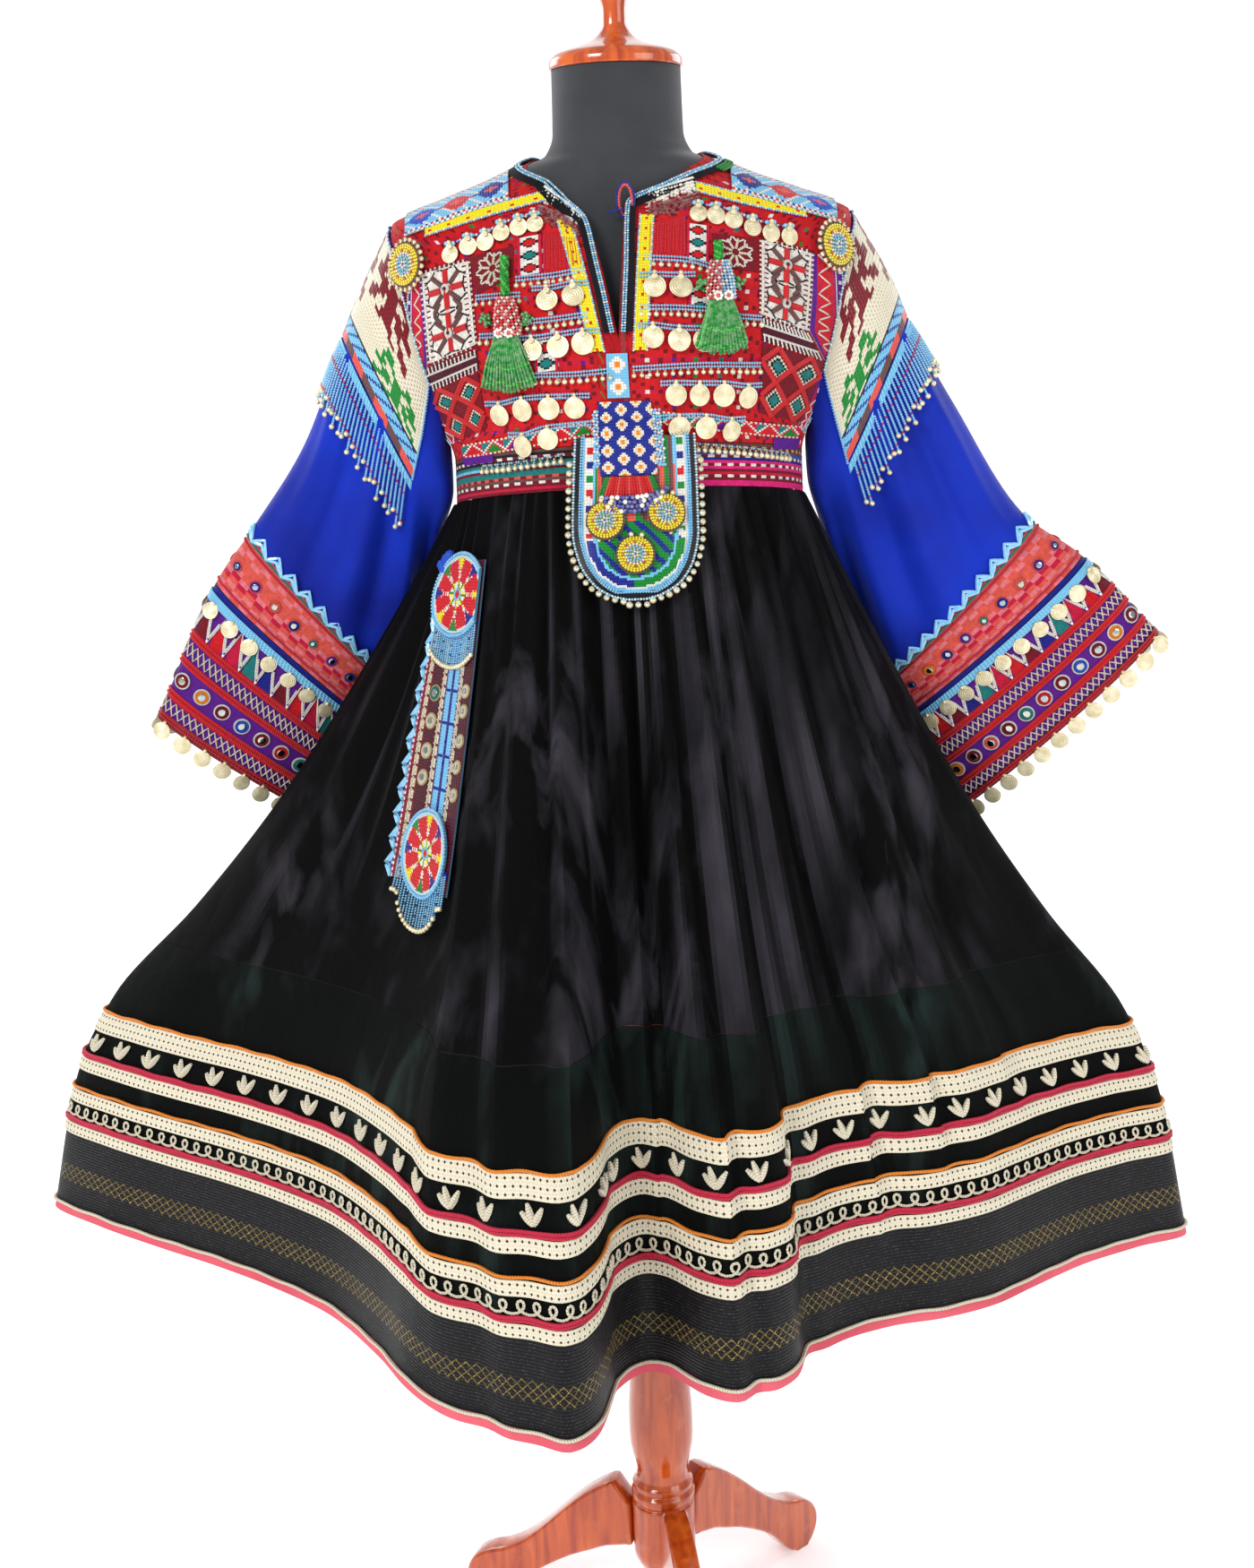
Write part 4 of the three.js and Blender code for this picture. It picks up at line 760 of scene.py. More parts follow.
# Creases given one by one: where each starts and ends, its depth (a ridge is positive) and its width
CREASES = table(
    "turn_top turn_low start end height width",
    (-80, -78, 0.02, 0.62, 7, 3.0), (-72, -75, 0.0, 0.55, -8, 2.6),
    (-40, -38, 0.0, 0.98, -7, 2.4), (-33, -34.5, 0.0, 0.9, 8, 2.2), (-27, -28, 0.02, 0.7, -8, 2.0),
    (-20, -14.5, 0.0, 1.0, -12, 2.0), (-12, -9.5, 0.02, 0.75, -9, 1.8), (-7.5, -4, 0.0, 0.6, 5, 1.6),
    (-3, 1.5, 0.02, 0.8, -9, 1.8), (3, 7.5, 0.0, 0.7, 5, 1.6), (9, 13.5, 0.0, 0.95, -9, 1.8),
    (15, 17.5, 0.03, 0.8, 6, 1.8), (19, 22.5, 0.0, 1.0, -12, 1.8), (25, 29, 0.02, 0.7, 8, 2.0),
    (31, 37.5, 0.0, 0.92, -10, 2.0), (38, 42, 0.02, 0.6, 8, 2.2), (46, 48, 0.0, 0.85, -10, 2.4),
    (53, 56, 0.03, 0.7, 7, 2.2), (62, 65.5, 0.0, 0.8, -8, 2.6), (72, 74, 0.02, 0.6, 6, 2.6),
    (98, 102, 0.0, 0.9, -6, 2.6), (114, 113, 0.03, 0.8, 5, 2.6), (133, 134, 0.0, 0.95, -6, 2.6),
    (152, 150, 0.03, 0.7, 5, 2.4), (170, 171, 0.0, 0.9, -6, 2.4), (188, 189, 0.03, 0.8, 5, 2.4),
    (208, 206, 0.0, 0.95, -6, 2.6), (228, 226, 0.03, 0.7, 5, 2.6), (247, 247, 0.0, 0.9, -6, 2.6),
    (262, 263, 0.03, 0.6, 4, 2.6),
)
GATHERS, HIGHEST_FOLD = 59, 11

# Pressed pleat edges: where each starts and ends, its height and how far its soft side reaches
PLEAT_EDGES = table(
    "turn_top turn_low start end height reach",
    (-23, -20, 0.0, 0.96, 7, 7), (-5.5, -1.5, 0.04, 0.86, 7, 6), (6.5, 11, 0.1, 0.9, 7, 6),
    (17, 20.5, 0.02, 0.97, 8, 6), (28.5, 34, 0.02, 0.9, 7, 7), (43.5, 45.5, 0.0, 0.82, 7, 7),
    (58, 61, 0.02, 0.75, 6, 7), (120, 122, 0.02, 0.9, 7, 8), (160, 161, 0.02, 0.9, 7, 8),
    (200, 199, 0.02, 0.9, 7, 8), (238, 237, 0.02, 0.9, 7, 8),
)
EDGE_WIDTH = 0.55


def folds(turn, along):
    """How far the skirt's creases and gathers stand out."""
    turn = wrap(np.asarray(turn, float))
    uneven = 0.7 + 0.3 * np.sin(np.radians(turn) * 17 + 1.3)
    bunched = turn + 2.2 * np.sin(np.radians(turn) * 11)
    height = np.sin(np.radians(bunched) * GATHERS) * gather_height(along) * uneven
    for top, low, start, end, rise, width in zip(*CREASES.values()):
        share = np.clip((along - start) / (end - start), 0, 1)
        off = np.abs((turn - lerp(top, low, share) + 180) % 360 - 180)
        body = np.sin(share * math.pi) ** 0.7
        body = np.where(end > 0.94, np.clip(share * 2.4, 0, 1), body)
        height = height + rise * body * np.exp(-((off / width) ** 2))
    for top, low, start, end, rise, reach in zip(*PLEAT_EDGES.values()):
        share = np.clip((along - start) / (end - start), 0, 1)
        off = (turn - lerp(top, low, share) + 180) % 360 - 180
        soft = np.clip(1 + off / reach, 0, 1) ** 2
        sharp = np.exp(-((np.maximum(off, 0) / EDGE_WIDTH) ** 2))
        ends = np.clip(share * 6, 0, 1) * np.sin(share * math.pi) ** 0.5
        height = height + rise * ends * soft * sharp
    return height


def skirt_at(turn, along):
    out = points3(sin(turn), -cos(turn), 0)
    return smooth_skirt_at(turn, along) + out * np.minimum(folds(turn, along), HIGHEST_FOLD)[..., None]


skirt = Surface(skirt_at, 0.6, 0.006, -1)
bodice = Surface(bodice_at, 0.5, 0.5)
SKIRT_TURNS = np.linspace(-90, 270, 480, endpoint=False)
girth_path = smooth_skirt_at(SKIRT_TURNS, 0.8)
GIRTH = np.linalg.norm(np.roll(girth_path, -1, 0) - girth_path, axis=1).sum()
arc = np.r_[0, np.cumsum(np.linalg.norm(np.diff(girth_path, axis=0), axis=1))]


def turn_of_arc(share):
    """Turn at a share of the girth, so that a pattern's repeats keep one size."""
    return np.interp(np.asarray(share) % 1 * GIRTH, np.r_[arc, GIRTH], np.r_[SKIRT_TURNS, 270.0])


# Skirt: levels of its parts, as shares of its length, and the gap left at each seam
CROSS_SEAM, BORDER_START, BORDER_END, SEAM_SHARE = 0.6, 0.88, 0.985, 0.0006
PANEL_COLUMNS_HALF, PANEL_EASE = 210, 0.02
GIRTH_PER_TURN, SKIRT_LENGTH = GIRTH * MM / 360, 0.72


def skirt_panel(name, start, end, levels, material, node, slot_name):
    """Velvet panel whose face colours are a painted highlight: lighter on the sides of its folds that catch
    the light, and on their ridges.
    """
    piece = Piece(name, material, LINING)
    turns = steps(start, end, PANEL_COLUMNS_HALF)
    turns[0] += PANEL_EASE
    turns[-1] -= PANEL_EASE
    at_turn, at_level = (turns[1:] + turns[:-1])[:, None] / 2, (levels[1:] + levels[:-1])[None] / 2
    # Painted highlight: faces on the side of a fold that faces the light, and higher faces, are made
    # lighter.
    slope = folds(at_turn + 0.8, at_level) - folds(at_turn - 0.8, at_level)
    painted_highlight = np.clip(slope / 6 + (folds(at_turn, at_level) - 2) / 22, 0, 1)
    shell(piece, skirt, turns, levels, CLOTH, np.repeat(painted_highlight[..., None], 3, -1),
          scale=(GIRTH_PER_TURN, SKIRT_LENGTH), inner_slot=1)
    made = piece.build(node, slot_name=slot_name)


for half, (start, end) in {"front": (-90, 90), "back": (90, 270)}.items():
    upper_levels = np.r_[steps(0, 0.12, 10), steps(0.12, CROSS_SEAM - SEAM_SHARE, 30)[1:]]
    lower_levels = steps(CROSS_SEAM, BORDER_START - SEAM_SHARE, 20)
    skirt_panel(f"velvet_upper_{half}", start, end, upper_levels, VELVET,
                f"skirt_upper_{half}", "velvet")
    skirt_panel(f"velvet_lower_{half}", start, end, lower_levels, VELVET_GREEN,
                f"skirt_lower_{half}", "velvet_green")


def ring(name, levels, thickness, material, nodes, slot_name, cut, rests_on, lift=None, relief=None):
    """Strip all the way round the skirt; its map runs from 0 to 1 from top to bottom.

    Its cut, its length as a share of the girth and its width in metres, is not used.
    """
    piece = Piece(name, material, LINING)
    low, high = levels[0], levels[-1]
    mapped = Surface(lambda share, up: skirt_at(turn_of_arc(share), lerp(low, high, up)), 0.0008, 0.05, -1)
    shares = np.linspace(0, 1, len(SKIRT_TURNS), endpoint=False)
    ups = (np.asarray(levels) - low) / (high - low)
    shell(piece, mapped, shares, ups, thickness, "cream", lift=lift, closed=1,
          scale=(GIRTH * MM, 1), relief=relief, inner_slot=1)
    made = piece.build(*nodes, slot_name=slot_name)
    GIRTH * MM * cut[0]


ring("border", steps(BORDER_START + SEAM_SHARE, BORDER_END, 8), CLOTH, LUREX, ["skirt_border"], "lurex",
     (1.04, 0.083), "velvet_lower_front")
ring("binding", steps(BORDER_END + SEAM_SHARE, 1, 4), CLOTH + 0.6, BINDING, ["hem_binding"], "pink_binding",
     (1.08, 0.0125), "border")

# Braids, one above the other: level of the middle, width as a share of the length, and material
BRAIDS = {
    "braid_1": (0.7155, 0.026, BRAID_WIDE),
    "braid_2": (0.777, 0.018, BRAID_NARROW),
    "braid_3": (0.824, 0.018, BRAID_NARROW),
    "braid_4": (0.872, 0.016, BRAID_NARROW),
}
BRAID_NODES = {"braid_1": ["braid_upper"], "braid_3": ["braid_lower"]}


def crowned(_, up):
    """Rounded edges of a braid."""
    return -0.7 * np.abs(2 * up - 1) ** 4


for name, (middle, width, material) in BRAIDS.items():
    levels = middle + steps(-0.5, 0.5, 4) * width
    ring(name, levels, BRAID, material, BRAID_NODES.get(name, []), "cream_braid",
         (1, width * 0.76), "velvet_lower_front", LIFT, crowned)

# Cords between the braids: level, colour, radius in millimetres
CORDS = [
    (0.7005, "orange", 1.5), (0.7615, "crimson", 1.9), (0.7655, "crimson", 1.5), (0.811, "orange", 1.5),
    (0.8565, "crimson", 1.9), (0.8605, "crimson", 1.5), (0.9862, "cream", 1.6),
]
cords = Piece("skirt_cords", THREAD)
around = turn_of_arc(np.linspace(0, 1, 600, endpoint=False))
for level, colour, radius in CORDS:
    wobble = 0.0007 * np.sin(np.linspace(0, 2 * math.pi, 600) * 61 + level * 40)
    path = skirt.lifted(around, level + wobble, 0.6 + radius * 0.7)
    tube(cords, path, radius, colour, closed=True, normals=skirt.normal(around, level))
cords.build(slot_name="cream_braid")

# Running loops on the lower dark band, and sprigs of three leaves on the upper one
loops = Piece("skirt_loops", THREAD)
LOOP_PITCH, LOOP_POINTS = 14.0, 12
loop_count = round(GIRTH / LOOP_PITCH)
phase = np.arange(loop_count * LOOP_POINTS) / LOOP_POINTS
place = (phase + 0.42 * np.sin(2 * math.pi * phase)) / loop_count
level = 0.8445 + 0.0075 * np.cos(2 * math.pi * phase)
loop_turns = turn_of_arc(place)
tube(loops, skirt.lifted(loop_turns, level, 1.6), 1.25, "cream", closed=True, sides=4,
     normals=skirt.normal(loop_turns, level))
loops.build(slot_name="cream_braid")

sprigs = Piece("skirt_sprigs", THREAD)
SPRIG_PITCH = 40.0
LEAVES = [(-11, 10), (-5.5, 17), (8, 15)]
for k in range(round(GIRTH / SPRIG_PITCH)):
    foot = (k + 0.5) / round(GIRTH / SPRIG_PITCH)
    for across, up in LEAVES:
        t = steps(0, 1, 4)
        share = foot + across * t / GIRTH
        level = 0.7545 - up * t / 760
        turns = turn_of_arc(share)
        swell = 1.2 + 2.0 * np.sin(math.pi * np.clip(t * 0.85 + 0.12, 0, 1))
        tube(sprigs, skirt.lifted(turns, level, 1.4), swell, "cream", normals=skirt.normal(turns, level))
sprigs.build(slot_name="cream_braid")


# Bodice: front with its slit, back, waistband
BODICE_LEVELS = table(
    "up z",
    (0, 1217), (0.25, 1285), (0.45, 1345), (0.65, 1400),
    (0.78, 1432), (0.86, 1450), (0.93, 1468), (1, 1486),
)
FRONT_TOP = table(
    "across z",
    (-1, 1486), (-0.8, 1481), (-0.34, 1462), (-0.15, 1443), (-0.1, 1431), (-0.025, 1327),
    (0.012, 1441), (0.2, 1459), (0.4, 1471), (0.8, 1484), (1, 1486),
)
BACK_TOP = table("across z", (-1, 1486), (-0.5, 1482), (0.5, 1482), (1, 1486))
SHOULDER_TIP, NECK_TOP = 1432, 1486
level_z = polyline(BODICE_LEVELS["up"], BODICE_LEVELS["z"])


def bodice_half(centre, tops):
    """One half of the bodice, across from edge to edge and up from the waistband."""
    top_z = polyline(tops["across"], tops["z"])

    def at(across, up):
        low, top, level = waist_height(centre + 90 * across) + BAND_HEIGHT, top_z(across), level_z(up)
        first = BODICE_LEVELS["z"][0]
        lower = lerp(low, SHOULDER_TIP, (level - first) / (SHOULDER_TIP - first))
        upper = lerp(SHOULDER_TIP, top, (level - SHOULDER_TIP) / (NECK_TOP - SHOULDER_TIP))
        short = lerp(low, top, (level - first) / (NECK_TOP - first))
        z = np.where(top > SHOULDER_TIP, np.where(level < SHOULDER_TIP, lower, upper), short)
        return bodice_at(centre + across * armhole_turn(z), z)

    return Surface(at, 0.004, 0.004)


FRONT_COLUMNS = np.unique(np.r_[np.linspace(-1, 1, 121), FRONT_TOP["across"]])
SEAM_EASE, GROUND_ROWS = 0.0008, 76


def ground_colour(i, j):
    """Close red stitching with dashes and dots of other threads."""
    if (i + 3 * (j % 2)) % 6 == 0 and j % 4 == 1:
        return ("white", "purple", "green", "teal")[(i // 6 + j) % 4]
    if j % 8 == 5:
        return "crimson" if i % 3 else "dark_red"
    return "dark_red" if (i + 2 * j) % 7 == 0 else "red"


for half, (centre, tops, columns) in {
    "front": (0, FRONT_TOP, FRONT_COLUMNS), "back": (180, BACK_TOP, np.linspace(-1, 1, 61)),
}.items():
    piece = Piece(f"bodice_{half}_cloth", STITCHED, LINING)
    shades = cells(ground_colour, len(columns) - 1, GROUND_ROWS) if half == "front" else "wine"
    levels = steps(0.001, 0.999, GROUND_ROWS)
    shell(piece, bodice_half(centre, tops), columns * (1 - SEAM_EASE), levels, CLOTH, shades,
          scale=(0.2, 0.26), inner_slot=1)
    made = piece.build(f"bodice_{half}", slot_name="embroidery")

band = Surface(lambda turn, up: bodice_at(turn, waist_height(turn) + BAND_HEIGHT * up), 1, 0.02)
BAND_ROWS = 15
BAND_STRIPES = (
    "hot_pink hot_pink dark_red white crimson dark_red hot_pink white hot_pink navy white blue brown"
    " gold brown"
).split()
BAND_STRIPES_LEFT = (
    "dark_red crimson dark_red white brown coral teal teal dark_red light_blue teal black white black brown"
).split()


def band_colours(turns):
    """Stripes of the waistband; checks break some of them, and each side has its own colours."""
    colours = np.zeros((len(turns), BAND_ROWS, 3))
    for i, turn in enumerate(turns):
        rows = BAND_STRIPES_LEFT if wrap(turn) < 0 or wrap(turn) > 180 else BAND_STRIPES
        for j, name in enumerate(rows):
            checked = name in ("white", "gold", "coral") and (i // 2 + j) % 2
            colours[i, j] = tint("dark_red" if checked else name)
    return colours


def band_ribs(_, up):
    return 0.35 * np.sin(up * math.pi * BAND_ROWS)


piece = Piece("waistband_cloth", STITCHED, LINING)
band_turns = np.linspace(-90, 270, 300, endpoint=False)
shell(piece, band, band_turns, steps(0.01, 0.99, BAND_ROWS), CLOTH, band_colours(band_turns), closed=360,
      scale=(0.0023, BAND_HEIGHT * MM), relief=band_ribs, inner_slot=1)
made = piece.build("waistband", slot_name="waistband")

# Sleeves: side, where the band starts and ends, and the flattened sleeve's edges and half depth
# at shares of its length
SLEEVE_ROWS = "along outX outY outZ inX inY inZ depth"
SLEEVES = {
    "left": (-1, 0.6, 0.71, table(
        SLEEVE_ROWS,
        (0, -206, 0, 1427, -161, 0, 1235, 40), (0.12, -238, 3, 1373, -163, 8, 1194, 42),
        (0.22, -259, 8, 1330, -179, 44, 1150, 42), (0.4, -298, 16, 1243, -196, 84, 1074, 41),
        (0.6, -357, 24, 1161, -218, 116, 978, 39), (0.71, -394, 30, 1114, -232, 132, 930, 38),
        (1, -462, 40, 985, -258, 178, 808, 34),
    )),
    "right": (1, 0.62, 0.735, table(
        SLEEVE_ROWS,
        (0, 206, 0, 1427, 161, 0, 1235, 40), (0.12, 240, 3, 1374, 165, 8, 1194, 42),
        (0.22, 260, 8, 1330, 179, 34, 1150, 42), (0.4, 304, 16, 1254, 200, 64, 1078, 41),
        (0.6, 368, 24, 1154, 229, 84, 990, 39), (0.73, 424, 30, 1113, 251, 98, 944, 38),
        (1, 503, 40, 1033, 306, 112, 838, 34),
    )),
}
ARMHOLE_LOW, ARMHOLE_HIGH, HEAD_BLEND, ARMHOLE_GAP = 1235, 1432, 0.12, 0.9
SLEEVE_CLOTH = 1.4


def armhole_at(side, turn):
    z = (ARMHOLE_LOW + ARMHOLE_HIGH) / 2 + (ARMHOLE_HIGH - ARMHOLE_LOW) / 2 * cos(turn)
    around = np.where(turn <= 180, armhole_turn(z), 180 - armhole_turn(z))
    return bodice_at(side * around, z) + points3(side * ARMHOLE_GAP, 0, 0)


def sleeve_of(side, rows):
    read = {key: curve(rows["along"], rows[key]) for key in rows if key != "along"}

    def at(turn, along):
        turn, along = np.broadcast_arrays(np.asarray(turn, float) % 360, np.asarray(along, float))
        top = points3(*(read[f"out{axis}"](along) for axis in "XYZ"))
        low = points3(*(read[f"in{axis}"](along) for axis in "XYZ"))
        major = (top - low) / 2
        direction = unit(major)
        minor = np.broadcast_to([0.0, -1.0, 0.0], top.shape)
        minor = unit(minor - direction * (minor * direction).sum(-1, keepdims=True))
        open_tube = (top + low) / 2 + major * cos(turn)[..., None]
        open_tube = open_tube + minor * (read["depth"](along) * sin(turn))[..., None]
        share = np.clip(along / HEAD_BLEND, 0, 1)
        return lerp(armhole_at(side, turn), open_tube, (share * share * (3 - 2 * share))[..., None])

    return Surface(at, 2, 0.004, side)


# Soft folds of the sleeves: turn at the head and at the cuff, height, width in degrees
SLEEVE_FOLDS = table(
    "head cuff height width",
    (28, 40, 5.0, 8), (50, 66, -6.0, 6), (74, 92, 5.5, 7), (92, 108, -6.0, 6), (116, 124, 5.0, 8),
    (142, 142, -5.0, 9), (215, 222, 5.0, 10), (248, 246, -5.5, 8), (275, 270, 5.0, 9), (306, 300, -5.0, 9),
)


def sleeve_folds(turn, along):
    height = np.zeros(np.broadcast(turn, along).shape)
    body = np.sin(np.clip((along - 0.16) / 0.5, 0, 1) * math.pi) ** 0.8
    for head, cuff, rise, width in zip(*SLEEVE_FOLDS.values()):
        off = np.abs((turn % 360 - lerp(head, cuff, along) + 180) % 360 - 180)
        height = height + rise * np.exp(-((off / width) ** 2))
    return height * body


SLEEVE_TURNS = np.linspace(0, 360, 96, endpoint=False)
SLEEVE_SURFACES = {side: sleeve_of(sign, rows) for side, (sign, _, _, rows) in SLEEVES.items()}
for side, (_, band_start, _, _) in SLEEVES.items():
    piece = Piece(f"sleeve_{side}_cloth", ROYAL)
    levels = steps(0.0015, band_start - 0.001, 34)
    shell(piece, SLEEVE_SURFACES[side], SLEEVE_TURNS, levels, SLEEVE_CLOTH, "navy", closed=360,
          relief=sleeve_folds, scale=(0.0011, 0.55))
    made = piece.build(f"sleeve_{side}", slot_name="royal_blue")


# Dress form, cap, post and legs
FORM = table(
    "z half front back",
    (880, 96, 72, 82), (960, 146, 92, 112), (1040, 142, 88, 104), (1130, 112, 78, 82),
    (1180, 106, 76, 74), (1240, 120, 92, 78), (1300, 142, 110, 86), (1350, 160, 100, 90),
    (1400, 184, 80, 82), (1436, 185, 70, 72), (1447.6, 159.6, 67, 68), (1465.6, 117.6, 64, 65),
    (1477.6, 90, 61, 62), (1486, 66, 60.5, 60.5), (1504, 58.2, 58.2, 58.2), (1558.1, 57, 57, 57),
)
FORM_FOOT_Z, FORM_TOP_Z = FORM["z"][[0, -1]]
form_read = {key: curve(FORM["z"], FORM[key]) for key in ("half", "front", "back")}


def form_at(turn, z):
    c = cos(turn)
    depth = np.where(c > 0, form_read["front"](z), form_read["back"](z))
    return points3(form_read["half"](z) * sin(turn), -depth * c, z)


def solid_of_rings(piece, rings, colour):
    """Closed body through rings of points, from its lowest to its highest."""
    count, sides = rings.shape[:2]
    faces = quads(count, sides + 1).reshape(-1, 4)
    row, column = np.divmod(faces, sides + 1)
    faces = (row * sides + column % sides)[:, ::-1]
    mapped = np.stack([column / sides, row / count], -1)[:, ::-1]
    piece.add(rings.reshape(-1, 3), faces, tint(colour), mapped)
    for end, turned_over in ((0, False), (count - 1, True)):
        cap = end * sides + np.arange(sides)
        cap = cap[::-1] if turned_over else cap
        piece.add(np.zeros((0, 3)), cap[None] - piece.count, tint(colour))


def turned(name, profile, count, node):
    """Turned wood, from a profile of radius and height."""
    radii, heights = np.array(profile, float).T
    rows = np.arange(len(profile), dtype=float)
    at = steps(0, rows[-1], count)
    height, radius = np.interp(at, rows, heights)[:, None], curve(rows, radii)(at)[:, None]
    turn = np.linspace(0, 360, TURNED_SIDES, endpoint=False)
    piece = Piece(name, LACQUER)
    solid_of_rings(piece, points3(radius * sin(turn), -radius * cos(turn), height), "orange")
    piece.build(node, slot_name="lacquered_wood")


piece = Piece("form", FORM_CLOTH)
levels = np.unique(np.r_[steps(FORM_FOOT_Z, 1430, 50), steps(1430, 1510, 30), steps(1510, FORM_TOP_Z, 8)])
solid_of_rings(piece, form_at(np.linspace(0, 360, 96, endpoint=False)[None], levels[:, None]), "black")
piece.build("dress_form", slot_name="form_cloth")

TURNED_SIDES = 48
CAP_PROFILE = [
    (58.4, 1558.4), (59.2, 1559.4), (59.4, 1562), (59.2, 1565), (57.6, 1567.6), (54, 1571), (44, 1574.5),
    (31, 1578.5), (20, 1583), (13.5, 1589), (10.8, 1597), (10.6, 1606), (11.8, 1616), (15.5, 1628),
    (20, 1641), (21.8, 1652), (21.5, 1662),
    (19, 1672), (14, 1681), (8, 1686.6),
]
turned("cap_turned", CAP_PROFILE, 70, "cap")
POST_PROFILE = [
    (24, 70), (27, 76), (30.5, 84), (32.2, 92), (32.4, 120), (32.4, 147), (30.4, 149.5), (31.5, 152),
    (33, 155.5), (33, 160), (31, 163), (29.6, 165), (31.2, 167), (31.4, 170.5), (29.4, 173.5), (27.2, 178),
    (26.6, 186), (28, 194), (30.6, 205), (32.6, 219), (33, 232), (32.6, 255), (31, 280), (28, 320),
    (24.6, 358), (24, 380), (24, 560), (24, 740), (24, 879.7),
]
turned("post_turned", POST_PROFILE, 110, "post")

LEG_TOP = [(32.8, 140), (50, 164), (76, 151), (103, 128), (131, 100), (154, 80), (178, 66), (196, 60)]
LEG_FOOT = [(212, 50), (220.5, 36), (221, 20), (214, 6), (205, 0), (188, 0)]
LEG_UNDER = [(176, 7), (160, 26), (142, 43), (122, 57), (100, 70), (78, 80), (60, 88), (32.8, 94)]
LEG_TURNS, LEG_THICKNESS, LEG_ROUNDING = [-78, 42, 162], 27, 3.2
LEG_SECTIONS = [(-1, 1), (-0.93, 0.3), (-0.76, 0), (0.76, 0), (0.93, 0.3), (1, 1)]


def leg_outline():
    """Smooth line through the leg's points, with its foot on the floor."""
    outline = np.array(LEG_TOP + LEG_FOOT + LEG_UNDER)
    dense = []
    for i, (a, b) in enumerate(zip(outline[:-1], outline[1:])):
        before, after = outline[max(i - 1, 0)], outline[min(i + 2, len(outline) - 1)]
        first, last = (b - before) / 2 - (b - a), (after - a) / 2 - (b - a)
        for t in np.arange(4) / 4:
            bend = t * (1 - t) * ((1 - t) * first - t * last)
            dense.append(lerp(a, b, t) + (bend if 0 < i < len(outline) - 2 else 0))
    dense = np.array(dense + [outline[-1]])
    dense[:, 1] = np.maximum(dense[:, 1], 0)
    return dense


for k, turn in enumerate(LEG_TURNS):
    dense = leg_outline()
    ahead = unit(np.roll(dense, -1, 0) - np.roll(dense, 1, 0))
    inward = np.stack([ahead[:, 1], -ahead[:, 0]], -1)
    flat = (dense[:, 1] < 0.5)[:, None]
    sections = []
    for offset, inset in LEG_SECTIONS:
        moved = dense + np.where(flat, 0, inward) * LEG_ROUNDING * inset
        moved[:, 1] = np.maximum(moved[:, 1], 0)
        y = np.full(len(dense), offset * LEG_THICKNESS / 2)
        x = moved[:, 0]
        sections.append(points3(x * cos(turn) - y * sin(turn), x * sin(turn) + y * cos(turn), moved[:, 1]))
    piece = Piece(f"leg_board_{k + 1}", LACQUER)
    solid_of_rings(piece, np.array(sections)[::-1], "orange")
    piece.build(f"leg_{k + 1}", slot_name="lacquered_wood")


# Ways to lay ornament on a surface
def on_front(*corners):
    """Four-sided area on the bodice's front, from its top corner with the least x, clockwise as seen."""
    (ax, az), (bx, bz), (cx, cz), (dx, dz) = corners

    def at(s, t):
        x, z = lerp(lerp(ax, bx, s), lerp(dx, cx, s), t), lerp(lerp(az, bz, s), lerp(dz, cz, s), t)
        return front_at(x, z)

    return Surface(at, 0.01, 0.01, -1)


def chart(piece, surface, columns, rows, rule, lift=0.3, thickness=0.6, slot=BEADED_SLOT, pitch=0.0026):
    """Cells coloured by a rule of their column and row."""
    shades = cells(rule, columns, rows)
    shell(piece, surface, steps(0, 1, columns), steps(0, 1, rows), thickness, shades, lift=lift,
          scale=(columns * pitch, rows * pitch), slot=slot)


def plain(name):
    """Rule of a chart in one colour."""
    return lambda *cell: name


def stroke(piece, surface, points, width, colour, lift=1.1, sides=4, count=None):
    """Raised thread through points of a surface."""
    points = np.asarray(points, float)
    share = np.linspace(0, 1, len(points))
    fine = np.linspace(0, 1, count or max(3, 2 * len(points)))
    s, t = np.interp(fine, share, points[:, 0]), np.interp(fine, share, points[:, 1])
    path, normals = surface.lifted(s, t, lift), surface.normal(s, t)
    tube(piece, path, width / 2, colour, sides, normals=normals, slot=THREAD_SLOT)


def strokes(piece, surface, lines, width, colour, lift=1.1):
    for line in lines:
        stroke(piece, surface, line, width, colour, lift)


def on_circle(degrees, across, up):
    return across * math.cos(math.radians(degrees)), up * math.sin(math.radians(degrees))


def spaced(path, spacing):
    """Points at even distances along a path."""
    path = np.asarray(path, float)
    length = np.r_[0, np.cumsum(np.linalg.norm(np.diff(path, axis=0), axis=1))]
    count = max(2, int(round(length[-1] / spacing)) + 1)
    at = np.linspace(0, length[-1], count)
    return np.stack([np.interp(at, length, path[:, k]) for k in range(3)], -1)


def front_line(points, lift, count=40):
    """Smooth line on the bodice's front through points across and up."""
    points = np.asarray(points, float)
    share, fine = np.linspace(0, 1, len(points)), np.linspace(0, 1, count)
    x, z = (curve(share, points[:, k])(fine) for k in (0, 1))
    turn = turn_of(x, z, 0.999)
    return bodice.lifted(turn, z, lift), bodice.normal(turn, z)


def bead_line(piece, path, radius, colours, spacing=None):
    """Beads threaded along a path, in one colour or in colours that repeat."""
    places = spaced(path, spacing or radius * 1.85)
    names = [colours] if isinstance(colours, str) else colours
    shades = np.array([tint(names[k % len(names)]) for k in range(len(places))])
    beads(piece, places, radius, shades, "small", GLASS_SLOT)


def bells(piece, path, spacing, radius, drop, colour="silver"):
    """Small round bells that hang below a line."""
    places = spaced(path + np.array([0, 0, -drop]), spacing)
    beads(piece, places, radius * rng.uniform(0.85, 1.1, len(places)), colour, "round", COIN_SLOT)
    beads(piece, places + [0, 0, radius * 1.15], radius * 0.4, "gold", "small", COIN_SLOT)


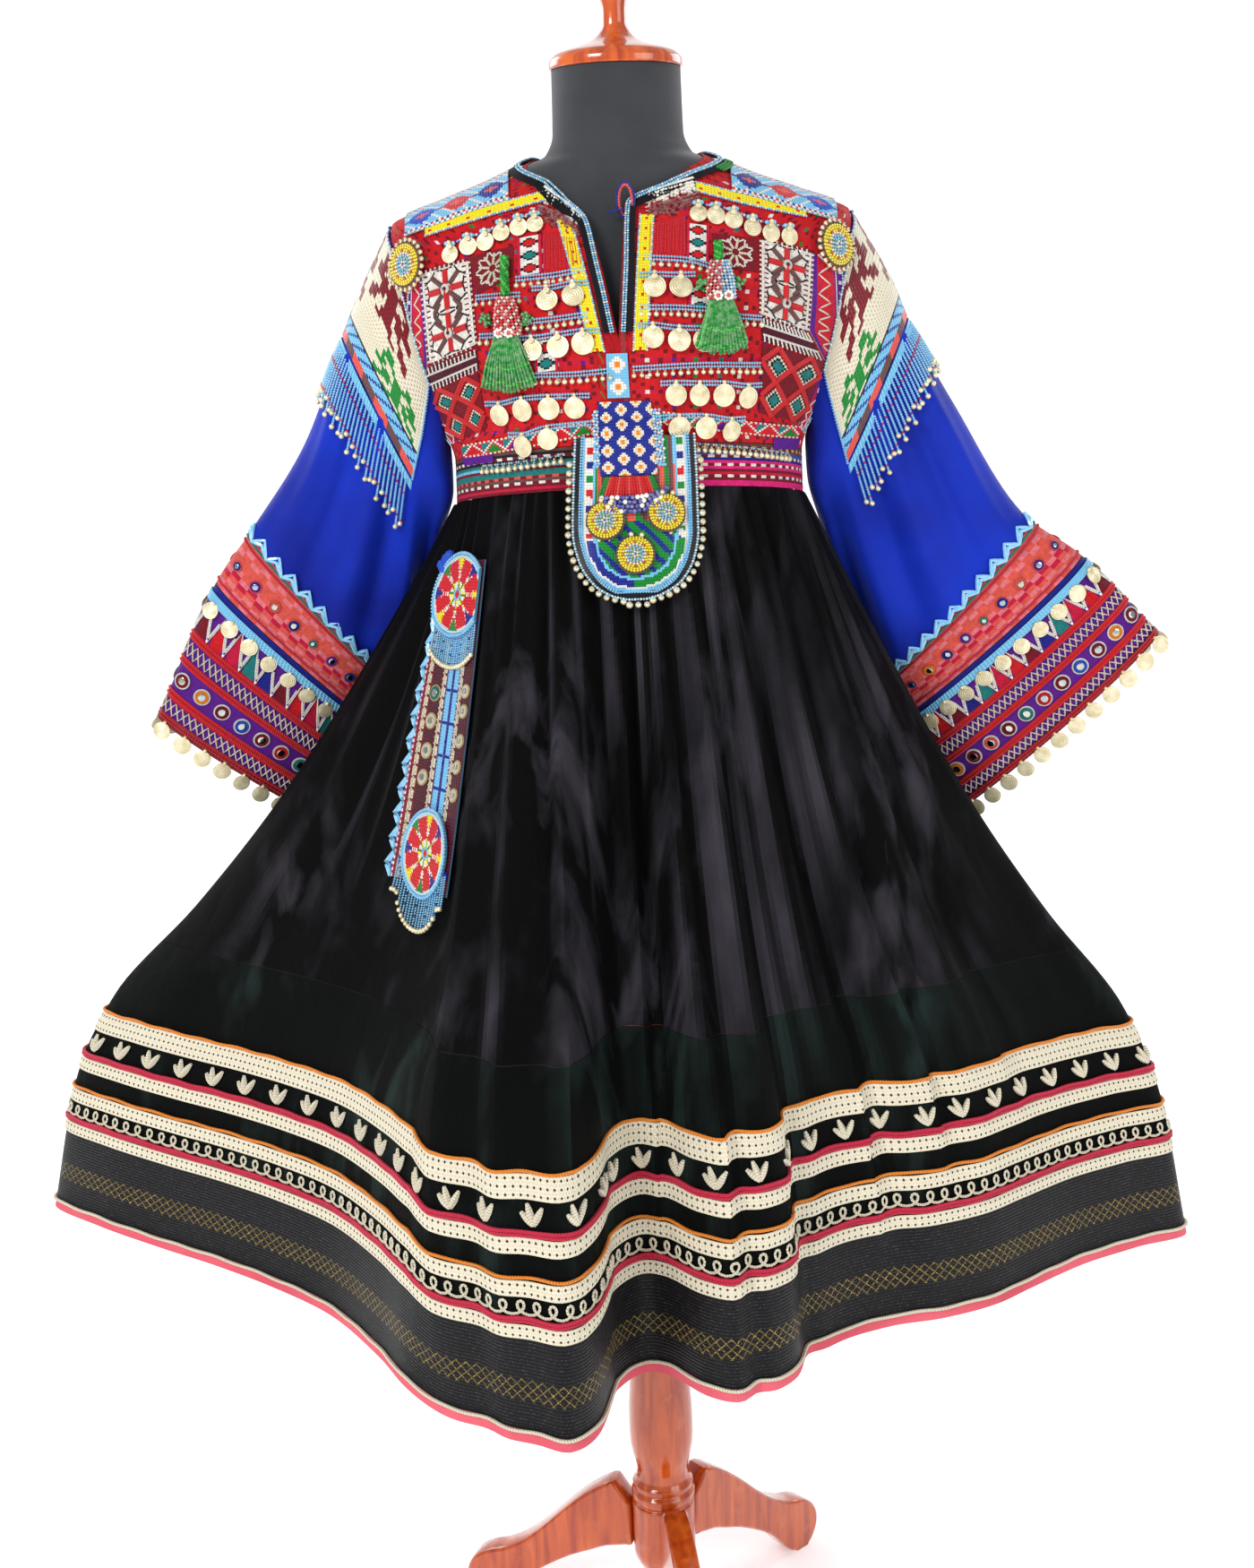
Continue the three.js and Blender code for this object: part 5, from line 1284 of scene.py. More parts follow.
def hung_coin(piece, centre, normal, radius):
    """Worn coin with a bead above it, tilted a little."""
    tilt = unit(np.asarray(normal) + rng.uniform(-0.12, 0.12, 3))
    shade = tint("silver") * rng.uniform(0.82, 1.12)
    disc(piece, centre, tilt, radius * rng.uniform(0.94, 1.03), 1.1, shade, dome=0.25, slot=COIN_SLOT)
    top = np.asarray(centre) + [0, 0, radius * 0.95] + np.asarray(normal) * 1.0
    disc(piece, top - [0, 0, 1.2], normal, 2.6, 0.9, "gold", sides=8, slot=COIN_SLOT)
    beads(piece, [top + [0, 0, 2.0]], 1.9, "gold", "round", COIN_SLOT)


def hang_coins(piece, coins, drop, lift, radius):
    """Coins on the bodice's front, below the places where they are sewn on."""
    for x, z in coins:
        line, normal = front_line([(x - 1, z - drop), (x + 1, z - drop)], lift, 3)
        hung_coin(piece, line[1], normal[1], radius)


def ornament(name):
    return Piece(name, *ORNAMENT)


# Embroidered areas of the bodice's front, in millimetres across and up
MOTIF_PANELS = {
    "left": [(-175, 1388), (-133, 1397), (-129, 1327), (-172, 1312)],
    "right": [(120, 1406), (164, 1394), (158, 1329), (117, 1344)],
}
COMB_PANELS = {
    "left": [(-180, 1306), (-128, 1323), (-127, 1306), (-176, 1286)],
    "right": [(117, 1341), (160, 1326), (174, 1303), (117, 1322)],
}
LATTICE_PANELS = {
    "left": [(-178, 1284), (-128, 1304), (-123, 1256), (-155, 1243)],
    "right": [(117, 1320), (177, 1301), (155, 1249), (114, 1261)],
}
STAR_PANELS = {
    "left": [(-131, 1401), (-93, 1408), (-94, 1383), (-128, 1368)],
    "right": [(77, 1413), (117, 1407), (115, 1379), (77, 1386)],
}
DIAMOND_PANELS = {
    "left": [(-90, 1414), (-69, 1417), (-69, 1385), (-90, 1382)],
    "right": [(56, 1422), (75, 1419), (73, 1389), (54, 1391)],
    "low": [(55, 1368), (75, 1367), (74, 1352), (54, 1353)],
    "lowest": [(-78, 1328), (-58, 1330), (-58, 1304), (-78, 1302)],
}
BLOCK_PANELS = {
    "left": [(-67, 1418), (-38, 1413), (-35, 1389), (-68, 1385)],
    "right": [(24, 1423), (55, 1428), (53, 1394), (22, 1397)],
}
STEP_ROWS = {
    "left": [(-149, 1240), (-30, 1262), (-30, 1249), (-147, 1228)],
    "right": [(27, 1267), (154, 1246), (151, 1235), (30, 1255)],
}
PURPLE_PATCHES = {
    "left": [(-149, 1229), (-119, 1235), (-119, 1226), (-147, 1221)],
    "right": [(127, 1238), (154, 1235), (151, 1225), (127, 1228)],
}


def motif_panel(piece, surface):
    """White ground with two crossed stars and a toothed edge."""
    wide = Surface(lambda s, t: surface.at(s * 1.1 - 0.05, t * 1.08 - 0.04), 0.01, 0.01, -1)
    chart(piece, wide, 6, 8, plain("dark_red"), 0.2, 0.5, STITCHED_SLOT)
    chart(piece, surface, 8, 12, plain("white"), 0.35, 0.8, STITCHED_SLOT)
    for t in steps(0.02, 0.98, 15):
        low = t + 0.03
        strokes(piece, surface, ([(-0.045, t), (0.06, t)], [(1.045, t), (0.94, t)]), 1.9, "white", 1.2)
        marks = [(0.05, low), (0.13, low)], [(0.95, low), (0.87, low)]
        strokes(piece, surface, marks, 1.3, "dark_red", 1.3)
    for s in steps(0.1, 0.9, 8):
        strokes(piece, surface, ([(s, -0.03), (s, 0.04)], [(s, 1.03), (s, 0.96)]), 1.9, "white", 1.2)
    for middle, tail in ((0.25, 1), (0.75, -1)):
        for angle in range(0, 360, 45):
            reach, width, colour = (0.4, 4.6, "brown") if angle % 90 else (0.36, 5.6, "red")
            ds, dt = on_circle(angle, reach, 0.6 * reach)
            start, end = (0.5 + 0.3 * ds, middle + 0.3 * dt), (0.5 + ds, middle + dt)
            stroke(piece, surface, [start, end], width, colour, 1.5)
            for fork in (-22, 22):
                fs, ft = on_circle(angle + fork, reach * 1.18, 0.6 * reach * 1.18)
                stroke(piece, surface, [end, (0.5 + fs, middle + ft)], 1.6, "black", 1.3)
        stroke(piece, surface, [(0.5, middle), (0.5, middle + tail * 0.23)], 6.0, "red", 1.6)
        for ring_tint, radius, lift in (("white", 4.4, 3.2), ("black", 1.6, 3.9)):
            centre = surface.lifted(0.5, middle, lift)
            disc(piece, centre, surface.normal(0.5, middle), radius, 0.8, ring_tint, 14, slot=STITCHED_SLOT)
    for flip in (1, -1):
        near, far = 0.5 + flip * 0.16, 0.5 + flip * 0.3
        stroke(piece, surface, [(near, 0.38), (far, 0.5), (near, 0.62)], 4.6, "brown", 1.5)


def comb_panel(piece, surface):
    chart(piece, surface, 6, 4, plain("wine"), 0.3, 0.6, STITCHED_SLOT)
    for t in (0.3, 0.7):
        stroke(piece, surface, [(0.02, t), (0.98, t)], 1.8, "white", 1.2, count=10)
    for s in steps(0.04, 0.96, 13):
        strokes(piece, surface, ([(s, 0.3), (s, -0.02)], [(s, 0.7), (s, 1.02)]), 1.7, "white", 1.2)


def lattice_rule(i, j):
    """Teal diamonds, outlined in white and black, on red."""
    far = abs(i / LATTICE_CELLS * 2 % 1 - 0.5) + abs(j / LATTICE_CELLS * 2 % 1 - 0.5)
    return "teal" if far < 0.2 else "black" if far < 0.29 else "cream" if far < 0.34 else "dark_red"


LATTICE_CELLS = 27


def lattice_panel(piece, surface):
    chart(piece, surface, LATTICE_CELLS, LATTICE_CELLS, lattice_rule, 0.3, 0.7, STITCHED_SLOT, 0.0014)
    heights = steps(0, 1, 16)
    for k in range(-2, 4):
        for flip in (1, -1):
            across = (k + 0.5 + flip * heights * 2) / 2
            inside = (across >= 0) & (across <= 1)
            if inside.sum() > 1:
                line = np.stack([across[inside], heights[inside]], -1)
                stroke(piece, surface, line, 5.0, "red", 1.4)


def star_panel(piece, surface):
    def spot(angle, across, up):
        return np.add(0.5, on_circle(angle, across, up))

    chart(piece, surface, 6, 6, plain("dark_red"), 0.3, 0.6, STITCHED_SLOT)
    for angle in range(0, 360, 40):
        stroke(piece, surface, [spot(angle, 0.08, 0.11), spot(angle, 0.34, 0.42)], 2.2, "cream", 1.2)
        for flip in (-18, 18):
            fork = [spot(angle, 0.26, 0.32), spot(angle + flip, 0.4, 0.47)]
            stroke(piece, surface, fork, 1.5, "white", 1.2)


def diamond_column(piece, surface, rows):
    def rule(i, j):
        far = abs((i + 0.5) / 8 - 0.5) + abs((j + 0.5) / 8 % 1 - 0.5)
        inner = ["red", "teal", "red", "crimson"][j // 8 % 4]
        if i in (0, 7):
            return "crimson"
        return inner if far < 0.26 else "black" if far < 0.38 else "white"

    chart(piece, surface, 8, rows, rule, 0.3, 0.7, STITCHED_SLOT, 0.0014)


def thread_block(piece, surface):
    chart(piece, surface, 4, 4, plain("red"), 0.3, 0.5, STITCHED_SLOT)
    for k, s in enumerate(steps(0.03, 0.97, 13)):
        lean = 0.03 * math.sin(k * 2.1)
        stroke(piece, surface, [(s, 0.04), (s + lean, 0.96)], 2.2, "red" if k % 4 else "crimson", 1.0)


def step_rule(i, j):
    k = abs(i % 10 - 5)
    if j == 0 or j == 6:
        return "cream" if i % 2 else "red"
    if k == j:
        return "white"
    if k < j:
        return ["red", "green", "purple", "red"][i // 10 % 4] if k < j - 1 else "red"
    return "crimson" if (i // 5) % 2 else "teal"


def zigzag_edge(piece, outer, inner, side):
    """Strip at the armhole: purple, red and a white zigzag, with a light blue edge."""
    outer, inner = np.array(outer, float), np.array(inner, float)
    share = np.linspace(0, 1, len(outer))

    def at(s, t):
        x = lerp(np.interp(t, share, outer[:, 0]), np.interp(t, share, inner[:, 0]), s)
        z = lerp(np.interp(t, share, outer[:, 1]), np.interp(t, share, inner[:, 1]), s)
        return front_at(x, z)

    surface = Surface(at, 0.01, 0.01, side)
    bands = ["white", "purple", "crimson", "red", "red", "crimson", "purple"]

    def rule(i, j):
        return "purple" if i == 0 and j % 3 else bands[i]

    chart(piece, surface, 7, 60, rule, 0.3, 0.6, STITCHED_SLOT)
    count = 25
    zigzag = [(0.62 + 0.2 * (-1) ** k, k / count) for k in range(count + 1)]
    stroke(piece, surface, zigzag, 1.6, "white", count=3 * count)
    stroke(piece, surface, [(0.24, k / count) for k in range(count + 1)], 1.2, "white")
    bead_line(piece, surface.lifted(0.02, steps(0, 1, 59), 1.4), 1.2, ["light_blue", "white"])


EDGE_STRIPS = {
    "left": ([(-187, 1384), (-192, 1348), (-197, 1315), (-195, 1288), (-183, 1262), (-160, 1240)],
             [(-176, 1386), (-174, 1348), (-175, 1315), (-180, 1286), (-165, 1266), (-150, 1243)]),
    "right": ([(192, 1388), (195, 1352), (196, 1318), (194, 1289), (172, 1262), (157, 1240)],
              [(165, 1394), (163, 1352), (160, 1330), (178, 1300), (160, 1264), (151, 1247)]),
}
needlework_piece = ornament("bodice_needlework")
for side in ("left", "right"):
    motif_panel(needlework_piece, on_front(*MOTIF_PANELS[side]))
    comb_panel(needlework_piece, on_front(*COMB_PANELS[side]))
    lattice_panel(needlework_piece, on_front(*LATTICE_PANELS[side]))
    star_panel(needlework_piece, on_front(*STAR_PANELS[side]))
    thread_block(needlework_piece, on_front(*BLOCK_PANELS[side]))
    chart(needlework_piece, on_front(*STEP_ROWS[side]), 60, 7, step_rule, 0.4, 0.7, STITCHED_SLOT, 0.0014)
    chart(needlework_piece, on_front(*PURPLE_PATCHES[side]), 6, 3, plain("purple"), 0.4, 0.7, STITCHED_SLOT)
    zigzag_edge(needlework_piece, *EDGE_STRIPS[side], 1 if side == "right" else -1)
for name, corners in DIAMOND_PANELS.items():
    diamond_column(needlework_piece, on_front(*corners), {"low": 12, "lowest": 16}.get(name, 24))
needlework_piece.build(slot_name="embroidery")

# Rows of light blue beads across the chest: two lines each, with bells or coins below
BELL_ROWS = {
    "left": [[(-91, 1380), (-60, 1382), (-34, 1386)], [(-126, 1366), (-100, 1367), (-89, 1367)],
             [(-89, 1344), (-60, 1346), (-32, 1349)], [(-124, 1334), (-108, 1334), (-92, 1333)],
             [(-84, 1300), (-50, 1300), (-14, 1302)]],
    "right": [[(19, 1394), (54, 1391), (78, 1384)], [(14, 1353), (44, 1352), (76, 1349)],
              [(96, 1343), (106, 1342), (116, 1341)], [(6, 1303), (60, 1304), (114, 1302)]],
}
COIN_ROWS = {
    "chest_coins_1_left": (1.9, [(-65, 1371), (-43, 1374)]),
    "chest_coins_1_right": (1.9, [(26, 1379), (48, 1378)]),
    "chest_coins_2_left": (1.9, [(-79, 1331), (-57, 1333), (-36, 1335)]),
    "chest_coins_2_right": (1.9, [(23, 1338), (45, 1335), (66, 1334)]),
    "chest_coins_3_left": (0.7, [(-110, 1277), (-90, 1281), (-67, 1282), (-45, 1282)]),
    "chest_coins_3_right": (0.7, [(41, 1290), (61, 1289), (82, 1288), (103, 1285)]),
    "chest_coins_4": (0.7, [(-91, 1250), (-69, 1256), (43, 1262), (66, 1261), (88, 1257)]),
}
CHEST_COIN, CHEST_DROP, BRAID_PAST_COIN = 9.8, 10, 12
for name, (lift, coins) in COIN_ROWS.items():
    piece = ornament(name.replace("coins", "coin_row"))
    coins = np.array(coins, float)
    ends = np.r_[[coins[0] - [BRAID_PAST_COIN, 0]], coins, [coins[-1] + [BRAID_PAST_COIN, 0]]]
    for rise in (-1.5, 1.5):
        line, _ = front_line(ends + [0, rise], lift + 1.1)
        bead_line(piece, line, 1.35, "light_blue")
    hang_coins(piece, coins, CHEST_DROP, lift + 2.2, CHEST_COIN)
    piece.build(name, slot_name="coins")

piece = ornament("chest_bell_rows")
for points in BELL_ROWS["left"] + BELL_ROWS["right"]:
    for rise in (-1.5, 1.5):
        bead_line(piece, front_line(np.array(points) + [0, rise], 1.6)[0], 1.35, "light_blue")
    bells(piece, front_line(points, 2.6)[0], 6.6, 2.4, 6)
WAIST_BELLS = [(-128, 1217), (-90, 1222), (-58, 1227)], [(58, 1233), (100, 1227), (140, 1218)]
for points in WAIST_BELLS:
    bead_line(piece, front_line(np.array(points) + [0, 5], 1.6)[0], 1.4, ["gold", "light_blue", "navy"])
    bells(piece, front_line(points, 3.4)[0], 6.4, 2.7, 0, "gold")
piece.build(slot_name="coins")


# Shoulders: yokes, coin rows, yellow strips, rosettes, and the neckband with its slit
YOKE_INNER, YOKE_OUTER, YOKE_LIFT = (96, 1446), (188, 1421), 2.4
seam_rows = BODICE["z"] >= SHOULDER_TIP
seam_height = curve(-BODICE["half"][seam_rows], BODICE["z"][seam_rows])


def yoke(side):
    def at(along, over):
        x, low = lerp(YOKE_INNER[0], YOKE_OUTER[0], along), lerp(YOKE_INNER[1], YOKE_OUTER[1], along)
        z = lerp(seam_height(-x), low, over * over)
        turn = turn_of(x, z)
        return bodice_at(side * np.where(over < 0, 180 - turn, turn), z)

    return Surface(at, 0.01, 0.02, -side)


def yoke_rule(i, j):
    """Diamonds of navy and red with dots between them, on light blue."""
    far = abs(i % 13 - 6) * 0.55 + abs(j % 16 - 8) * 0.75
    shade = ("navy", "red", "blue")[i // 13 % 3]
    if far < 1.2:
        return "coral"
    if far < 3.4:
        return shade
    if j % 16 in (1, 14):
        return ("red", "white", "navy", "white")[i % 4]
    if j % 16 in (0, 15):
        return ("white", "green", "white", "crimson", "white", "navy")[i % 6]
    return "light_blue" if (i + j) % 5 else "white"


for name, side in (("left", -1), ("right", 1)):
    piece = ornament(f"yoke_{name}")
    surface = yoke(side)
    wide = Surface(lambda along, over, s=surface: s.at(along, over * 2 - 1), 0.01, 0.01, surface.sign)
    chart(piece, wide, 39, 48, yoke_rule, YOKE_LIFT - 0.6, 1.4, BEADED_SLOT)
    bead_line(piece, wide.lifted(steps(0, 1, 30), 0.99, 2.8), 1.4, ["light_blue", "white"])
    piece.build(f"shoulder_yoke_{name}", slot_name="light_blue_beads")

SHOULDER_COINS = {
    "left": [(-148, 1411), (-132, 1417), (-117, 1420), (-103, 1427), (-88, 1431), (-74, 1433)],
    "right": [(66, 1437), (81, 1435), (96, 1431), (112, 1424), (128, 1419), (144, 1416)],
}
YELLOW_STRIPS = {
    "left": [(-170, 1424), (-121, 1436), (-64, 1449)],
    "right": [(65, 1452), (111, 1439), (160, 1429)],
}
SHOULDER_COIN, SHOULDER_DROP = 8, 8


def yellow_strip(piece, points, width, lift):
    """Yellow beaded strip with red dots and light blue edges."""
    low, high = (front_line(np.array(points) + [0, rise], lift)[0] for rise in (-width / 2, width / 2))
    share = np.linspace(0, 1, len(low))

    def at(s, t):
        ends = [np.stack([np.interp(s, share, line[:, k]) for k in range(3)], -1) for line in (high, low)]
        return lerp(ends[0], ends[1], np.asarray(t)[..., None])

    surface = Surface(at, 0.01, 0.05, -1)
    chart(piece, surface, 34, 4, lambda i, j: "red" if i % 6 == 1 and j == 2 else "yellow", 0.2, 1.2)
    for t in (-0.05, 1.05):
        edge = surface.lifted(steps(0, 1, 30), t, 1.0)
        bead_line(piece, edge, 1.3, ["light_blue", "light_blue", "white"])


for side, coins in SHOULDER_COINS.items():
    piece = ornament(f"shoulder_coin_row_{side}")
    line, _ = front_line(coins, 2.0)
    bead_line(piece, line, 1.4, ["light_blue", "white", "navy"])
    for x, z in coins:
        hang_coins(piece, [(x, z)], SHOULDER_DROP, 2.8, SHOULDER_COIN)
        spot, _ = front_line([(x - 3, z + 1), (x + 3, z + 1)], 2.6, 3)
        beads(piece, spot, 2.2, "light_blue", "round", GLASS_SLOT)
    yellow_strip(piece, YELLOW_STRIPS[side], 7, 1.2)
    piece.build(f"shoulder_coins_{side}", slot_name="coins")


# Rings of beads on a rosette, from the middle out, with one dotted red
ROSETTE_RINGS = [
    (0.0, "blue", 1), (0.14, "white", 5), (0.28, "light_blue", 9), (0.42, "light_blue", 14),
    (0.55, "white", 18), (0.68, "yellow", 24), (0.82, "yellow", 30), (0.94, "yellow", 34),
]
DOTTED_RING = 0.68


def rosette(piece, centre, normal, radius, thickness, fringe=True):
    """Round beaded boss: light blue middle, white ring, yellow ring with red dots, and a beaded edge."""
    disc(piece, centre, normal, radius, thickness, "yellow", 32, slot=BEADED_SLOT)
    for share, colour, count in ROSETTE_RINGS:
        places = circle_round(centre, normal, radius * share, count)
        places = places + normal * (thickness * 0.5 + 1.4 * (1 - share) + 0.4)
        dots = ["red" if share == DOTTED_RING and k % 3 == 0 else colour for k in range(count)]
        beads(piece, places, radius * 0.082, np.array([tint(dot) for dot in dots]), "small", GLASS_SLOT)
    edge = circle_round(centre, normal, radius * 1.02, 40)
    tube(piece, edge, 1.5, "brown", closed=True, slot=THREAD_SLOT)
    if fringe:
        places = circle_round(centre, normal, radius + 3.4, 22)
        beads(piece, places, 2.3, "silver", "round", COIN_SLOT)
        beads(piece, places + normal * 2.2, 1.2, "dark_red", "small", GLASS_SLOT)


SHOULDER_ROSETTES = {"left": (-186, 1396), "right": (184, 1400)}
for side, (x, z) in SHOULDER_ROSETTES.items():
    turn = turn_of(x, z)
    normal = bodice.normal(turn, z)
    piece = ornament(f"rosette_{side}")
    rosette(piece, bodice_at(turn, z) + normal * 6, normal, 18, 2.6)
    disc(piece, bodice_at(turn, z) + normal * 2.6, normal, 8, 4.4, "dark_red", 12, slot=STITCHED_SLOT)
    piece.build(f"shoulder_rosette_{side}", slot_name="yellow_beads")


# The neck's edge: distance across and height in front, turn and height round the back
NECK_FRONT_LEFT = [(-9, 1334), (-19, 1384), (-30, 1430), (-44, 1445), (-58, 1460)]
NECK_ROUND = [
    (-74, 1478), (-104, 1484), (-140, 1482), (-180, 1481), (-220, 1482), (-256, 1484), (-286, 1478),
]
NECK_FRONT_RIGHT = [(56, 1464), (38, 1457), (4, 1440), (0, 1384), (-4, 1334)]
neck_path = [(turn_of(x, z), z) for x, z in NECK_FRONT_LEFT] + NECK_ROUND
neck_path = np.array(neck_path + [(turn_of(x, z) - 360, z) for x, z in NECK_FRONT_RIGHT])
neck_share = np.linspace(0, 1, len(neck_path))
neck_turn, neck_z = curve(neck_share, neck_path[:, 0]), curve(neck_share, neck_path[:, 1])


def neck_at(share, offset):
    """Along the neck's edge, and a distance from it into the cloth."""
    turn, z = neck_turn(share), neck_z(share)
    later, earlier = np.minimum(share + 0.01, 1), np.maximum(share - 0.01, 0)
    ahead, behind = (bodice_at(neck_turn(place), neck_z(place)) for place in (later, earlier))
    along = unit(ahead - behind)
    side = unit(np.cross(bodice.normal(turn, z), along))
    per_turn = bodice_at(turn + 0.5, z) - bodice_at(turn - 0.5, z)
    per_z = bodice_at(turn, z + 0.5) - bodice_at(turn, z - 0.5)
    shift_turn = offset * (side * per_turn).sum(-1) / (per_turn ** 2).sum(-1)
    shift_z = offset * (side * per_z).sum(-1) / (per_z ** 2).sum(-1)
    return bodice_at(turn + shift_turn, z + shift_z)


neck = Surface(neck_at, 0.004, 0.5)
NECK_LIFT = 1.84
piece = Piece("neck_strip", BLACK, BLACK, GLASS, THREAD)
shell(piece, neck, steps(0, 1, 160), steps(1, 9.5, 5), BRAID, "black", lift=NECK_LIFT, scale=(0.9, MM))
for offset in (1.2, 3.4):
    path = neck.lifted(steps(0, 1, 300), offset + 0 * steps(0, 1, 300), NECK_LIFT + BRAID + 0.8)
    bead_line(piece, path, 1.25, ["light_blue", "light_blue", "light_blue", "white"])
GREEN_SPANS = ((0.335, 0.372), (0.69, 0.722))
for start, end in GREEN_SPANS:
    share = steps(start, end, 12)
    for offset in (7.0, 9.4, 11.6):
        tube(piece, neck.lifted(share, offset + 0 * share, NECK_LIFT + 1.6), 1.5, "green", slot=3)
piece.build("neckband", slot_name="black_cloth")

SLIT_BRAIDS = {
    "left": [(-49, 1428), (-37, 1380), (-24, 1318)],
    "right": [(22, 1430), (17, 1380), (12, 1318)],
}
SLIT_WIDTH = 11
for side, points in SLIT_BRAIDS.items():
    points = np.array(points, float)
    share = np.array([0, 0.5, 1])
    read_x, read_z = curve(share, points[:, 0]), curve(share, points[:, 1])

    def slit_at(s, t, across=read_x, level=read_z):
        return front_at(across(t) + (s - 0.5) * SLIT_WIDTH, level(t) + 0 * s)

    slit = Surface(slit_at, 0.02, 0.01, -1)
    piece = ornament(f"slit_strip_{side}")
    chart(piece, slit, 5, 46, lambda i, j: "red" if i == 2 and j % 4 == 1 else "yellow", 0.5, 1.3)
    for s in (-0.02, 1.02):
        bead_line(piece, slit.lifted(s, steps(0, 1, 60), 1.7), 1.2, ["light_blue", "white", "light_blue"])
    piece.build(f"slit_braid_{side}", slot_name="yellow_beads")

# Bunches of short bead strings at the foot of the neck, white above dark red, and the ties
BUNCHES = {
    "left": ([(-64, 1456), (-50, 1445), (-34, 1431)], [(-70, 1440), (-52, 1432), (-38, 1421)]),
    "right": ([(24, 1449), (45, 1455), (62, 1459)], [(26, 1436), (47, 1441), (68, 1446)]),
}
BUNCH_DROP = 11
piece = ornament("neck_bead_bunches")
for upper, lower in BUNCHES.values():
    for colour, points in (("white", upper), ("dark_red", lower)):
        for root, normal in zip(*front_line(points, 2.6, 60)):
            hang = np.array([rng.uniform(-5, 5), 0, -BUNCH_DROP * rng.uniform(0.7, 1.2)])
            bead_line(piece, [root, root + hang + normal * rng.uniform(0.6, 3.4)], 1.6, colour)
piece.build(slot_name="light_blue_beads")

ties = Piece("neck_ties", THREAD)
knot, _ = front_line([(-12, 1432), (2, 1434)], 3.5, 12)
tube(ties, knot, 0.9, "navy")
turn = np.linspace(0, 2 * math.pi, 24, endpoint=False)
loop_centre = front_at(4.0, 1443.0) + [0, -4.5, 0]
ring_path = loop_centre + np.stack([6 * np.cos(turn), 0 * turn - 0.8 * np.sin(turn), 13 * np.sin(turn)], -1)
tube(ties, ring_path, 1.5, "coral", closed=True)
outer_path = ring_path + np.stack([1.6 * np.cos(turn), 0 * turn - 0.8, 2 * np.sin(turn)], -1)
tube(ties, outer_path, 1.2, "navy", closed=True)
ties.build(slot_name="black_cloth")

# Strip of small flowers below the slit
piece = ornament("slit_flowers")
FLOWER_STRIP = [(-17, 1316), (1, 1316), (2, 1279), (-17, 1279)]


def flower_rule(i, j):
    far = abs(i - 3.5) + abs(j % 8 - 3.5)
    return "orange" if far < 2 else "white" if far < 4 else "light_blue"


chart(piece, on_front(*FLOWER_STRIP), 8, 16, flower_rule, 0.4, 1.0)
piece.build(slot_name="light_blue_beads")

# Tassels: a braided head, beaded barrels, and a skirt of green strings. Place across, top, level of
# the head's foot, foot, half width, and the barrels' shifts and colours
TASSELS = {
    "left": (-99, 1400, 1333, 1288, 24, [(-3, "red"), (7, "red")]),
    "right": (80, 1405, 1356, 1313, 22, [(-6, "red"), (6, "light_blue")]),
}
TASSEL_LIFT, TASSEL_STRINGS = 8.7, 46
for side, (x, top, neck_level, foot, half, barrels) in TASSELS.items():
    piece = ornament(f"tassel_{side}_strings")
    normal = bodice.normal(turn_of(x, neck_level), (neck_level + foot) / 2)

    def spot(px, pz, lift, normal=normal):
        return bodice_at(turn_of(px, pz), pz) + normal * lift

    for k in range(5):
        path = []
        for h in steps(0, 1, 12):
            sway, lift = 2.4 * math.sin(h * 9 + k * 1.3), TASSEL_LIFT - 2 + 1.5 * math.cos(h * 9 + k)
            path.append(spot(x + sway, lerp(top, neck_level + 34, h), lift))
        tube(piece, path, 1.9, "green" if k % 3 else "bright_green", slot=THREAD_SLOT)
    for shift, colour in barrels:
        for row, height in enumerate(steps(0, 1, 11)):
            turns = np.linspace(0, 2 * math.pi, 12, endpoint=False)
            z = lerp(neck_level + 32, neck_level + 2, height)
            radius = 4.8 + 1.5 * math.sin(math.pi * height)
            centre = spot(x + shift * (0.4 + 0.8 * height), z, TASSEL_LIFT)
            places = centre + np.stack([radius * np.cos(turns), radius * np.sin(turns), 0 * turns], -1)
            shades = np.array([tint("white" if (k + row) % 3 == 0 else colour) for k in range(12)])
            beads(piece, places, 1.55, shades, "small", GLASS_SLOT)
    for k in range(TASSEL_STRINGS):
        share = lerp(-1, 1, (k + 0.5) / TASSEL_STRINGS)
        layer = k % 3
        root = spot(x + share * 8, neck_level + 4, TASSEL_LIFT - 1 + layer)
        end_z = foot + 5 * share * share + rng.uniform(-1.5, 3)
        lift = (6.5, 8.5, 10.5)[layer]
        middle = spot(x + share * (half * 0.72), lerp(neck_level, end_z, 0.5), lift + 1.5)
        tip = spot(x + share * half, end_z, lift)
        colour = "bright_green" if k % 3 == 1 else "green"
        tube(piece, spaced([root, middle, tip], 6), 1.2, colour, 4, slot=GLASS_SLOT)
        bead_line(piece, spaced([middle, tip], 4), 1.7, ["green", "bright_green", "green"], 4.2)
    for shift in (-half * 0.72, half * 0.72):
        centre = spot(x + shift, neck_level + 14, TASSEL_LIFT - 3)
        clump = centre + rng.normal(0, 2.1, (26, 3))
        beads(piece, clump, 1.9, "green", "round", GLASS_SLOT)
    for shift in (-4, 5):
        centre = spot(x + shift, neck_level + 3, TASSEL_LIFT + 5)
        turns = np.linspace(0, 2 * math.pi, 7, endpoint=False)
        petals = centre + np.stack([3 * np.cos(turns), 0 * turns, 3 * np.sin(turns)], -1)
        beads(piece, petals, 1.6, "white", "round", GLASS_SLOT)
        beads(piece, [centre], 1.6, "red", "round", GLASS_SLOT)
    piece.build(f"tassel_{side}", slot_name="green_wool")


